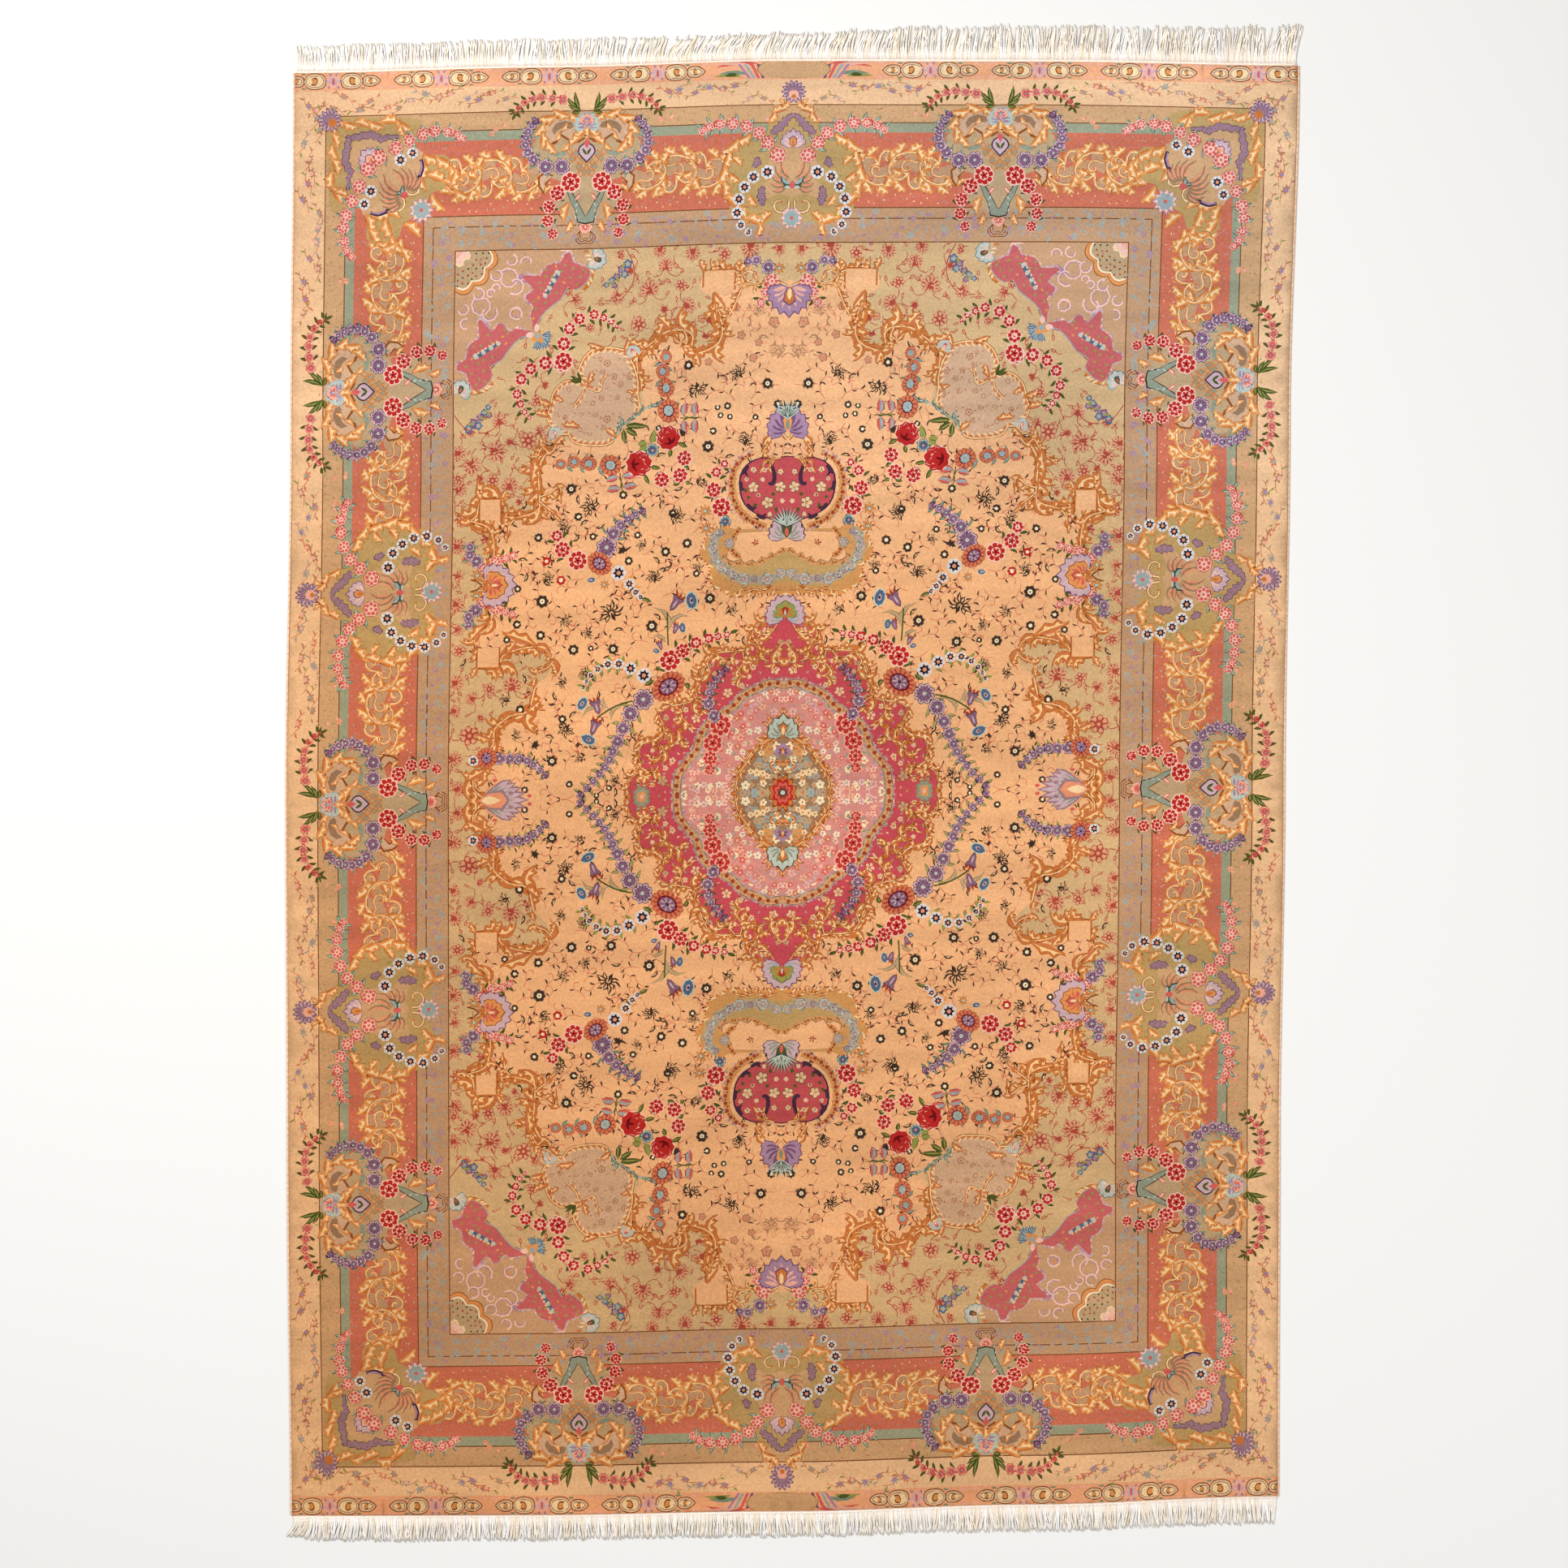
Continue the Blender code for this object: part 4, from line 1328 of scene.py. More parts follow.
def leaf_spray(pen, place, turn):
    """Four leaves, pink on one half and blue on the other, on a forked stem."""
    local = pen.at(place, turn)
    for side in (1, -1):
        for start, tip in ((6 + 4j * side, 13 + 30j * side), (30 + 3j * side, 32 + 32j * side)):
            draw_vine(local, [18 + 0j, start], 1.8, "leaf")
            local.fill(leaf(start, tip, 17.0, 0.08 * side), "plum_dark")
            local.fill(leaf(start, tip, 14.0, 0.08 * side), "coral")
            local.fill(leaf(start + 2.5, tip - 0.5, 6.5, 0.2 * side), "blue_light")
    draw_vine(local, [0 + 0j, 18 + 1j, 42 + 0j], 2.2, "leaf")


def tulip(pen, place, turn, size):
    """A lilac bell with coral tips."""
    local = pen.at(place, turn, size)
    for side in (-1, 0, 1):
        local.fill(leaf(3 + 4j * side, 20 + 10j * side, 6.0, -0.1 * side, LEAF_SWELL), "rust")
    bell = [-12 + 0j, -7 + 4j, 2 + 5.5j, 9 + 9j, 12 + 7j, 9 + 0j, 12 - 7j, 9 - 9j, 2 - 5.5j, -7 - 4j]
    local.fill([z * 1.14 for z in bell], "plum_dark")
    local.fill(bell, "violet")
    local.fill(leaf(-8 + 0j, 8 + 0j, 3.4), "lilac_light")


def blue_oval(pen, place, size, turn):
    """A blue oval flower with a dark eye."""
    pen.fill(ellipse(place, size * 1.7, size * 1.15, turn), "sky")
    pen.fill(scallop(place, size * 0.95, 9, 0.12, turn, 1.55), "blue")
    pen.fill(ellipse(place, size * 0.62, size * 0.36, turn, 9), "lilac_light")
    pen.fill(ellipse(place, size * 0.34, size * 0.2, turn, 7), "plum_dark")


def pale_leaf(pen, base, tip, width, bend):
    """A pale grey-green leaf drawn in outline."""
    pen.fill(leaf(base, tip, width + 2.4, bend), "leaf")
    pen.fill(leaf(base, tip, width, bend), "mist")


# ---- grounds of the field, and what is strewn over them

def draw_sage(pen, rng):
    """The sage ground with its red line-drawn lotuses, buds and vines."""
    pen.fill([0j] + [complex(FIELD[0], FIELD[1] * k / 12.0) for k in range(13)]
             + [complex(FIELD[0] * (1 - k / 8.0), FIELD[1]) for k in range(1, 9)], "sage")
    for x, y, radius, turn in LINE_LOTUSES:
        centre = complex(x, y)
        for side in (-1, 1):
            a = centre + way(turn + 150 * side) * radius
            b = a + way(turn + 110 * side) * 14
            draw_vine(pen, [centre, a, b], 1.5, "brick", 2)
            line_bud(pen, b, turn + 50 * side, 0.8)
    for place in jittered(20 + 20j, complex(FIELD[0] - 8, FIELD[1] - 8), 34.0, rng, 0.35):
        if not inside(place, FIELD_PEACH) and place.real + place.imag < 1440:
            line_bud(pen, place, rng.uniform(0, 360), rng.uniform(0.7, 1.0))
    for x, y, radius, turn in LINE_LOTUSES:
        line_lotus(pen, complex(x, y), radius, turn, 9 if radius > 15 else 7)
    for x, y, radius in LINE_BLOOMS:
        line_bloom(pen, complex(x, y), radius, 11.0 * radius)


FIELD_PEACH = [0j] + PEACH_RIM[::-1]


def strewn_vine(pen, place, turn, tone, rng):
    """A thin curling vine with small leaves, here and there a large one with a gold middle."""
    local = pen.at(place, turn, flip=rng.random() < 0.5)
    draw_vine(local, [0j, 13 + 1j, 27 + 9j, 38 + 2j, 34 - 6j], 1.4,
        "tendril" if tone == "bark" else "salmon", 2)
    for x, y, lean in ((15, 1, -50), (27, 9, 62)):
        spot = complex(x, y)
        local.fill(leaf(spot, spot + way(lean) * rng.uniform(9, 13), 4.0, 0.12, LEAF_SWELL), tone)
    if rng.random() < 0.3:
        local.fill(leaf(36 + 2j, 56 + 8j, 8.0, 0.12, LEAF_SWELL), tone)
        local.fill(leaf(40 + 3.5j, 52 + 7j, 2.6, 0.12, SMALL_LEAF), "amber_light")


def draw_peach(pen, rng):
    """The peach ground, its strewn flowers fading to tan towards the rug's end."""
    pen.fill([0j] + [complex(600, 0)] + spline(PEACH_RIM, 3)[::-1], "peach")
    for place in jittered(14 + 14j, 640 + 1030j, 36.0, rng, 0.34):
        if inside(place, FIELD_PEACH):
            tone = "faded" if faded_ground(place) else "bark"
            strewn_vine(pen, place, rng.uniform(0, 360), tone, rng)
    for x, y, radius in RINGS:
        if faded_ground(complex(x, y)):
            small_bloom(pen, complex(x, y), radius, ("faded", "salmon", "faded"), 8.0 * radius)
        else:
            ring_bloom(pen, complex(x, y), radius, 8.0 * radius)
    for x, y, radius, turn in LOTUSES:
        tone = "faded" if faded_ground(complex(x, y)) else "umber"
        lotus(pen, complex(x, y), radius, turn, (tone, "peach"), 9)


def faded_ground(place):
    """Whether the strewn flowers are pale there."""
    return place.imag > 850 and place.real < 250


# Square notches of the peach ground in the sage one, each open between its last and first points.
NOTCHES = (points(112, 998, 112, 1034, 172, 1034, 172, 1004), points(578, 556, 578, 596, 618, 596, 618, 556),
           points(576, 304, 576, 266, 618, 266, 618, 304))


def draw_frame(pen, outline):
    """A gold frame on the closed sides of a notch, with a leaf off each outer corner."""
    for grow, tone in ((3.4, "amber_dark"), (2.2, "amber")):
        middle = sum(outline) / len(outline)
        for a, b in zip(outline, outline[1:]):
            run = (b - a) / abs(b - a)
            out = run * 1j if ((middle - a) / run).imag < 0 else -run * 1j
            pen.fill([a - run * grow, b + run * grow, b + run * grow + out * grow,
                a - run * grow + out * grow], tone)
    for near, corner in ((outline[0], outline[1]), (outline[3], outline[2])):
        out = corner - sum(outline[1:3]) / 2
        acanthus(pen, corner, corner + out / abs(out) * 10 + (corner - near) / abs(corner - near) * 20,
            12.0, 1, 0.1, AMBER)


def draw_rim(pen):
    """The leafwork between peach and sage, in runs."""
    for first, last, width, hand in RIM_RUNS:
        leafwork(pen, PEACH_RIM[first:last + 1], width, hand, AMBER, fullness=1.25, both=last - first > 5,
            stem=0.5, pitch=24.0)
    for path in RIM_SPRIGS:
        leafwork(pen, path, 8.0, 1, AMBER)
    flames(pen, RIM_LEAVES, LEAF_BOW, AMBER)
    for outline in NOTCHES:
        pen.fill(outline, "peach")
        draw_frame(pen, outline)


# The striped rims of the cloud's inner scrolls.
CLOUD_SCROLLS = (
    points(402, 815, 384, 806, 376, 812, 374, 828, 366, 836),
    points(410, 812, 414, 798, 424, 786, 432, 778)
)
CLOUD_SPRIG = points(350, 708, 336, 736, 312, 750, 290, 768, 272, 772)
CLOUD_LEAF_FOOT = 416 + 824j
CLOUD_LEAF_TIPS = (424 + 846j, 438 + 838j, 440 + 828j)
CLOUD_PALMETTES = (310 + 876j, 466 + 722j)


def draw_cloud(pen, rng):
    """The tan cloud cartouche with faded flowers and a striped gold rim."""
    pen.fill(spline(CLOUD, 3, True), "stone")
    for place in jittered(305 + 705j, 480 + 890j, 27.0, rng, 0.3):
        if inside(place, CLOUD) and inside(place + 8, CLOUD) and inside(place - 8j, CLOUD):
            small_bloom(pen, place, rng.uniform(4, 8), ("faded", "stone", "brick"), rng.uniform(0, 60))
            pen.fill(leaf(place + 9, place + 16 + 5j, 3.0), "faded")
    for path, width, hand in CLOUD_RIMS:
        rim_hairs(pen, path, width, hand)
    for path in CLOUD_SCROLLS:
        rim_hairs(pen, path, 7.0, -1)
    leafwork(pen, CLOUD_SPRIG, 5.0, -1, SEA)
    flames(pen, CLOUD_LEAVES, LEAF_BOW, AMBER)
    for tip in CLOUD_LEAF_TIPS:
        draw_leaf(pen, CLOUD_LEAF_FOOT, tip, 6.0)
    for centre in CLOUD_PALMETTES:
        palmette(pen.at(centre, 60), 20, ("coral_dark", "sky", "coral_light"), 5)


# ---- the corner of the field

# The corner's shapes in its upper half, from the rug's middle.  The lower half mirrors them.
SPANDREL_EDGE = points(
    502, 938, 494, 960, 474, 980, 452, 996, 438, 1012, 412, 1004, 398, 1020, 392, 1046, 398, 1066,
    410, 1090
)
WINE_CLOUD = points(
    506, 938, 500, 954, 482, 972, 460, 988, 446, 1012, 430, 1006, 408, 1022, 402, 1044, 424, 1056,
    436, 1060, 442, 1078, 454, 1076, 462, 1060, 486, 1056, 498, 1042, 504, 1034, 536, 1036, 534, 1026,
    514, 1008, 530, 996, 526, 984, 514, 974, 520, 958, 516, 942
)
SPANDREL_CURLS = (
    (566, 1030, 21, 0, 1.0), (626, 1000, 13, 30, 0.8), (604, 962, 18, 100, 0.7), (548, 962, 14, 200, 0.7),
    (560, 1066, 12, 60, 0.7), (640, 1040, 10, 160, 0.7), (530, 1062, 12, 300, 0.6),
    (590, 1012, 9, 240, 0.8)
)


# Points beyond the field's corner that close the spandrel's grounds, in the hub's frame.
SPANDREL_FAR = points(60, 240, 350, 330, 300, 0)
# The spandrel's grounds, lowest first.  columns: foot, shift of the edge, its points left out, tone
SPANDREL_GROUNDS = ((4, 0, 0, "amber_dark"), (7, 1.6, 0, "gold"), (14, 10 + 4j, 2, "spandrel"))
# The quarter rosette in the very corner: its grounds, as radius and tone, and its rings of dots,
# as radius and count.
ROSETTE_GROUNDS = ((90, "gold_dark"), (88, "gold"), (82, "rust_light"), (80, "cream"), (76, "mist"))
ROSETTE_RINGS = ((68, 10), (56, 8), (44, 6))


def to_hub(point):
    """A chart point in the frame of the corner's hub."""
    return (point - CORNER_HUB) * way(-45.0)


def draw_rosette(pen, rng):
    """A quarter of a round rosette, its middle in the field's corner."""
    for radius, tone in ROSETTE_GROUNDS:
        pen.fill(scallop(0j, radius, 12, 0.12, 15), tone)
    for ring, count in ROSETTE_RINGS:
        for k in range(count):
            spot = way(-45 + 90.0 * (k + 0.5) / count) * (ring + rng.uniform(-3, 3))
            pen.fill(ellipse(spot, 2.6, 1.8, 30 * k, 6), "rust" if k % 3 else "sea_dark")
    pen.fill(scallop(0j, 34, 8, 0.24), "gold_light")
    pen.fill(scallop(0j, 30, 8, 0.24), "blush")
    pen.fill(scallop(0j, 16, 8, 0.2), "coral_light")


def draw_spandrel(pen, rng):
    """The tan corner with its wine cloud, pale fringe, ochre edge, and quarter rosette."""
    halves = mirror_halves(pen.at(CORNER_HUB, 45.0))
    edge = [to_hub(z) for z in spline(SPANDREL_EDGE, 2)]
    cloud = [to_hub(z) for z in spline(WINE_CLOUD, 2)]
    for half in halves:
        for foot, shift, skipped, tone in SPANDREL_GROUNDS:
            half.fill([foot + 0j] + [z + shift for z in edge[skipped:]] + SPANDREL_FAR, tone)
    for spot, unit in resample(edge, 9.0):
        for half in halves:
            tone = "gold_light" if rng.random() < 0.5 else "amber"
            half.fill(leaf(spot, spot + unit * way(-62) * 14, 4.2, 0.2), tone)
    for half in halves:
        for spot, unit in resample(cloud[len(cloud) // 3:], 5.0):
            tip = spot + unit * way(-90 + rng.uniform(-50, 50)) * rng.uniform(12, 28)
            half.fill(leaf(spot + unit * 4j, tip, 8.0, 0.2),
                rng.choice(("lilac_light", "blush", "lilac_light", "lilac")))
    for x, y, radius, turn, turns in SPANDREL_CURLS:
        for half in halves:
            centre = to_hub(complex(x, y))
            half.fill(band(coil(centre, radius, turn, turns, 9, 0.7), 3.6), "blush")
            half.fill(band(coil(centre, radius - 2.6, turn, turns, 9, 0.7), 1.8), "lilac")
    for half in halves:
        half.fill([z - 2.0 for z in cloud] + [24 + 0j], "blue_light")
        half.fill(cloud + [26 + 0j], "magenta")
        for spot in jittered(complex(20, 4), complex(150, 170), 17.0, rng, 0.3):
            if inside(spot, cloud) and inside(spot + 5, cloud) and inside(spot - 5, cloud):
                dot = ellipse(spot, 3.6, 2.4, rng.uniform(0, 180), 6)
                half.fill(dot, "leaf_light" if rng.random() < 0.6 else "gold")
        for k in range(7):
            spot = to_hub(complex(467 + 4 * k, 1040 - 7.5 * k))
            half.fill(scallop(spot, 7.0 - 0.3 * k, 5, 0.3, 30 * k), "blue" if k % 2 else "sky")
            half.fill(scallop(spot + 4, 3.0, 5, 0.3), "petal")
    for half in halves:
        for k in range(6):
            half.fill(leaf(6 + 4j, way(104 + 16 * k) * 26 + 6, 9.0, 0.1), "blue")
            half.fill(leaf(6 + 4j, way(104 + 16 * k) * 23 + 6, 6.0, 0.1), "blue_light")
        half.fill(leaf(18 + 4j, 30 + 16j, 12.0), "blush")
    pen.fill([CORNER_HUB + z for z in (-4 - 6j, 22 + 0j, 2 + 20j)], "gold")
    pen.fill(ellipse(CORNER_HUB + 8 + 8j, 6, points=8), "blue_light")
    draw_rosette(pen.at(complex(*FIELD), 225.0), rng)
    for centre, turn in ((396 + 1068j, 200), (662 + 806j, 110)):
        palmette(pen.at(centre, turn), 30, ("blue", "sky", "blush"), 7, 170, ("leaf", "coral"))


# Flowers of the bunch that hangs to each side of the corner.
SAGE_BUNCH = points(326, 1054, 338, 1044, 332, 1034, 348, 1030, 358, 1022, 352, 1012, 368, 1014)
# Tones of its flowers in turn: outline, petals, heart.
BUNCH_TONES = (("blue", "blue_light", "gold"), ("plum", "lilac", "leaf_light"))


def draw_sage_garlands(pen):
    """Red roses arched round the corner's hub, and a hanging bunch of blue flowers to each side."""
    halves = mirror_halves(pen.at(CORNER_HUB, 45.0))
    rows = [(to_hub(complex(x, y)).real, to_hub(complex(x, y)).imag, r) for x, y, r in SAGE_ROSES]
    for half in halves:
        garland(half, rows, red_rose, leaves=9.0)
    for k, spot in enumerate(SAGE_BUNCH):
        for half in halves:
            place = to_hub(spot)
            small_bloom(half, place, 9.0 - 0.5 * k, BUNCH_TONES[k % 2], 20 * k)
            if k % 2:
                half.fill(leaf(place, place + way(70 * k) * 14, 6), "leaf_light")
    draw_vine(pen, [330 + 1084j, 314 + 1050j, 316 + 1014j, 340 + 984j, 372 + 982j], 1.8, "brick")
    draw_vine(pen, [672 + 765j, 650 + 738j, 620 + 728j, 590 + 738j, 580 + 770j], 1.8, "brick")


# ---- garlands over the peach ground

# columns: foot, tip
PEONY_LEAVES = (
    (220 + 700j, 202 + 690j), (234 + 686j, 238 + 672j), (276 + 654j, 256 + 650j),
    (290 + 640j, 278 + 620j), (208 + 654j, 198 + 644j), (216 + 620j, 230 + 616j), (204 + 622j, 196 + 616j)
)
OGEE_LEAVES = (
    (196 + 224j, 190 + 212j), (236 + 200j, 230 + 186j), (262 + 232j, 280 + 222j), (236 + 250j, 258 + 258j)
)


# Sprays of lilac bells.
# columns: pale leaves (foot, tip, width, bend), stem, its width, bells (place, turn, size)
HUB_SPRAY = (
    ((238 + 320j, 268 + 378j, 9.0, 0.3), (234 + 330j, 190 + 356j, 7.0, -0.3),
        (238 + 306j, 266 + 320j, 6.0, 0.2)),
    points(234, 300, 236, 330, 237, 366),
    3.0,
    ((222 + 382j, 125, 1.25), (220 + 332j, 110, 0.8), (250 + 300j, 70, 0.7)),
)
SIDE_SPRAY = (
    ((350 + 178j, 362 + 206j, 8.0, -0.3), (356 + 174j, 408 + 160j, 7.0, 0.3),
        (322 + 184j, 346 + 152j, 8.0, 0.3)),
    points(304, 192, 330, 186, 352, 176, 374, 162),
    3.2,
    ((376 + 182j, 70, 1.15), (381 + 141j, 110, 1.15)),
)
# columns: place, size, turn
BLUE_OVALS = (
    (189 + 387j, 11.0, 80), (206 + 334j, 6.5, 80), (258 + 290j, 4.5, 20), (405 + 190j, 9.0, -60),
    (392 + 118j, 9.5, 25)
)


def tulip_spray(pen, leaves, route, width, tulips):
    """A green stem with pale leaves and lilac bells."""
    for base, tip, across, bend in leaves:
        pale_leaf(pen, base, tip, across, bend)
    draw_vine(pen, route, width, "leaf")
    for place, turn, size in tulips:
        tulip(pen, place, turn, size)


def draw_rust_garlands(pen):
    """Rows of oval brick-red flowers, with leaves between them."""
    for row in RUST_GARLANDS:
        for (x, y, r, _), (next_x, next_y, _, _) in zip(row, row[1:]):
            middle = complex(x + next_x, y + next_y) / 2
            run = complex(next_x - x, next_y - y)
            for side in (1, -1):
                tip = middle + run / abs(run) * way(65 * side) * (r + 11)
                draw_leaf(pen, middle, tip, 7.0, 0.1, ("sea_dark", "sea", "blue_light"))
        for x, y, r, turn in row:
            oval_bloom(pen, complex(x, y), r, 1.12, turn, ("blue_light", "sky", "faded_blue"), 12)


# Leaves under the peonies, and those on the stem between them.  columns: foot, tip
BROAD_LEAVES = ((276 + 700j, 268 + 728j), (282 + 698j, 302 + 700j), (280 + 692j, 300 + 686j))
STEM_LEAVES = ((326 + 738j, 280 + 734j), (326 + 732j, 302 + 716j), (330 + 730j, 328 + 702j))


def draw_field_garlands(pen):
    """The flowers between cloud and medallion: peonies, garlands, and sprays of lilac bells."""
    draw_rust_garlands(pen)
    leaf_spray(pen, 216 + 748j, 180.0)
    leaf_spray(pen, 337 + 644j, 262.0)
    for base, tip in BROAD_LEAVES:
        pen.fill(leaf(base, tip, 16.0, 0.1), "leaf")
        pen.fill(leaf(base, tip, 12.0, 0.1), "leaf_light")
    paired_leaves(pen, STEM_LEAVES, 11.0)
    for x, y, radius, turn in PEONIES:
        peony(pen, complex(x, y), radius, turn)
    paired_leaves(pen, PEONY_LEAVES, 8.0)
    sea_daisy(pen, 272 + 687j, 13.0)
    garland(pen, SMALL_ROSES[:3], red_rose)
    garland(pen, SMALL_ROSES[3:7], red_rose, leaves=9.0)
    sea_daisy(pen, 124 + 540j, 12.0)
    gold_star(pen, 165 + 562j, 13.0)
    gold_star(pen, 162 + 528j, 13.0)
    # the side cluster
    garland(pen, SIDE_PURPLE, purple_daisy, leaves=9.0, leaf_tones=SEA_LEAVES, buds=BUDS)
    garland(pen, SIDE_PIED, pied_bloom, leaves=8.0, leaf_tones=("leaf_light", "gold", "sky"))
    draw_leaf(pen, 290 + 396j, 270 + 388j, 7.0)
    gold_star(pen, 365 + 425j, 10.0)
    blue_oval(pen, 392 + 435j, 5.0, 0)
    oval_bloom(pen, 376 + 467j, 20.0, 1.25, 40, ("violet", "lilac_light", "plum_dark"), heart_size=0.54)
    garland(pen, SMALL_ROSES[7:], red_rose, leaves=10.0)
    for centre, radius in ((453 + 436j, 10), (483 + 474j, 9)):
        pen.fill(scallop(centre, radius, 7, 0.2), "red")
        pen.fill(ellipse(centre, radius * 0.42, points=8), "cream")
    # round the medallion
    garland(pen, OGEE, purple_daisy, leaves=11.0, leaf_tones=UMBER_LEAVES, buds=BUDS)
    garland(pen, OGEE_TAIL, purple_daisy, leaves=8.0, leaf_tones=UMBER_LEAVES, buds=BUDS)
    garland(pen, FIELD_PIED, pied_bloom, leaves=10.0, leaf_tones=("leaf", "leaf_light", "gold"))
    oval_bloom(pen, 597 + 85j, 20.0, 1.0, 0, ("lilac", "plum", "navy"))
    pied_bloom(pen, 624 + 80j, 9.0)
    paired_leaves(pen, OGEE_LEAVES, 9.0)
    garland(pen, FIELD_ROSES, red_rose, leaves=10.0)
    draw_leaf(pen, 110 + 320j, 94 + 326j, 6.0)
    oval_bloom(pen, 232 + 218j, 26.0, 1.28, -32, ("violet", "lilac_light", "plum_dark"), 16, 0.56)
    tulip_spray(pen, *HUB_SPRAY)
    for place, size, turn in BLUE_OVALS:
        blue_oval(pen, place, size, turn)
    tulip_spray(pen, *SIDE_SPRAY)


# columns: place, turn, size, tones, petals, spread, heart tones
SIDE_PALMETTES = (
    (-4 + 0j, 0, 56, ("plum", "lilac_light", "coral_light"), 11, 200, ("amber", "gold")),
    (-4 + 0j, 0, 38, ("amber_dark", "gold", "coral"), 7, 170, ("coral", "gold_light"))
)
LOZENGE_PALMETTES = (
    (112j, 90, 46, ("sea_dark", "sky", "haze"), 7, 150, ("amber", "gold_light")),
    (76j, 90, 24, ("amber_dark", "lilac", "plum"), 5, 130, ("amber", "gold_light"))
)
TIP_PALMETTES = (
    (346j, 90, 54, ("plum", "lilac_light", "blue_light"), 11, 190, ("amber", "gold_light")),
    (350j, 90, 34, ("leaf", "leaf_light", "amber"), 5, 130, ("red", "sky"))
)


# Flowers beside the side palmette, in its own frame.  columns: x, y, radius
SIDE_ROSES = ((-18, 34, 11), (6, 46, 11.5), (26, 52, 9), (42, 58, 8))
SIDE_DAISIES = ((-32, 48, 14), (-46, 60, 11), (-46, 76, 10))


def draw_side_palmette(pen):
    """The palmette at the side of the field, with small roses and purple flowers about it."""
    local = pen.at(592 + 428j, 180.0)
    for half in mirror_halves(local):
        leafwork(half, [-8 + 0j, -4 + 16j, 4 + 26j], 6.0, 1, AMBER)
        garland(half, SIDE_ROSES, pale_rose, leaves=9.0)
        garland(half, SIDE_DAISIES, purple_daisy, leaves=8.0, leaf_tones=SEA_LEAVES)
        gold_star(half, -30 + 20j, 13.0)
        draw_vine(half, [-20 + 0j, -30 + 8j, -44 + 12j], 3.0, "amber_dark")
    palmettes(local, SIDE_PALMETTES)


def fanned_strokes(pen, foot, count, strokes):
    """Strokes fanned from straight up towards the right.  strokes: lift of the foot, reach, width, tone."""
    for k in range(count):
        out = way(90 - 12 * k)
        for lift, reach, width, tone in strokes:
            pen.fill(leaf(foot + lift, foot + out * reach, width), tone)


# What stands at the top of the field: gold leafwork and rows of flowers (x, y, radius).
TOP_WORK = points(6, 1000, 30, 1010, 60, 1006, 86, 1012, 100, 1034)
TOP_CURL = points(56, 1010, 70, 1004, 92, 1008, 96, 1024, 80, 1032, 72, 1022)
TOP_DAISIES = ((84, 1050, 9), (68, 1052, 10), (44, 1038, 14))
TOP_ROSES = ((36, 1010, 14), (47, 990, 11), (57, 968, 9))
# Leafwork beside two palmettes, in their frames.
HEART_WORK = points(0, 2, 12, 14, 6, 30, -8, 38, -20, 46, -34, 52, -46, 44)
SHORT_WORK = points(-10, 40, -8, 24, 4, 12, 12, 4)


def draw_axis_groups(pen):
    """What sits on the field's two middle lines, outside the medallion."""
    # the top of the field
    leafwork(pen, TOP_WORK, 8.0, -1, AMBER)
    leafwork(pen, TOP_CURL, 6.0, -1)
    garland(pen, TOP_DAISIES, purple_daisy, leaves=8.0, leaf_tones=SEA_LEAVES)
    gold_star(pen, 22 + 1036j, 12.0)
    garland(pen, TOP_ROSES, pale_rose, leaves=9.0)
    palmette(pen.at(1000j, -90), 64, ("plum", "lilac", "coral_light"), 9, 150, ("amber", "gold_light"))
    # the palmette over the heart
    for half in mirror_halves(pen.at(700j, 90.0)):
        leafwork(half, HEART_WORK, 9.0, 1, AMBER)
    palmette(pen.at(716j, 90), 56, ("plum", "lilac", "plum"), 9, 190, ("gold", "sea"))
    fanned_strokes(pen, 740j, 5, ((0j, 40, 6, "sky"), (2j, 34, 2.5, "sea_dark")))
    # the palmette on the short axis
    short = pen.at(614 + 0j, 180.0)
    for half in mirror_halves(short):
        for k in range(6):
            half.fill(ellipse(complex(34 + 14 * k, 40 - 6.4 * k), 5, 4, 0, 7), "coral")
        leafwork(half, SHORT_WORK, 7.0, 1, AMBER)
    palmette(short, 104, ("mauve", "lilac_light", "haze"), 9, 64, ("salmon", "gold_light"))


COLLAR_RIM = points(
    0, 394, 40, 398, 80, 394, 108, 394, 124, 404, 142, 412, 152, 428, 151, 446, 160, 462, 172, 474,
    168, 494, 158, 514, 140, 528, 118, 530
)
COLLAR_POCKET = points(
    0, 520, 96, 518, 101, 506, 108, 494, 103, 482, 118, 480, 122, 467, 106, 459, 92, 464, 86, 455,
    70, 462, 61, 455, 52, 468, 40, 464, 34, 476, 22, 473, 12, 486, 0, 484
)
COLLAR_GARLAND = points(
    0, 438, 20, 430, 38, 425, 62, 425, 85, 425, 106, 434, 126, 448, 142, 468, 148, 490, 144, 510, 132, 520
)
# columns: x, y, radius
COLLAR_FLOWERS = (
    (10, 436, 9), (38, 425, 12), (64, 426, 6), (86, 426, 12), (104, 433, 7.5), (118, 442, 6.5),
    (131, 451, 9), (143, 469, 8.5), (148, 488, 9), (145, 507, 8.5), (132, 518, 6), (115, 497, 9)
)


COLLAR_CLOUD = points(
    0, 478, 30, 466, 58, 452, 96, 452, 124, 462, 134, 476, 136, 456, 120, 438, 92, 416, 50, 410, 0, 420
)
COLLAR_HOOK = points(92, 526, 106, 512, 110, 494, 106, 478, 94, 470)
COLLAR_WORK = points(8, 404, 30, 408, 50, 402, 76, 406, 96, 402)
# Lotuses in the pocket.  columns: place, radius, way that it opens
COLLAR_LOTUSES = (
    (62 + 496j, 8.0, 60), (44 + 486j, 4.5, 180), (76 + 466j, 4.5, 200), (30 + 504j, 4.5, 20),
    (84 + 500j, 4.5, 300)
)


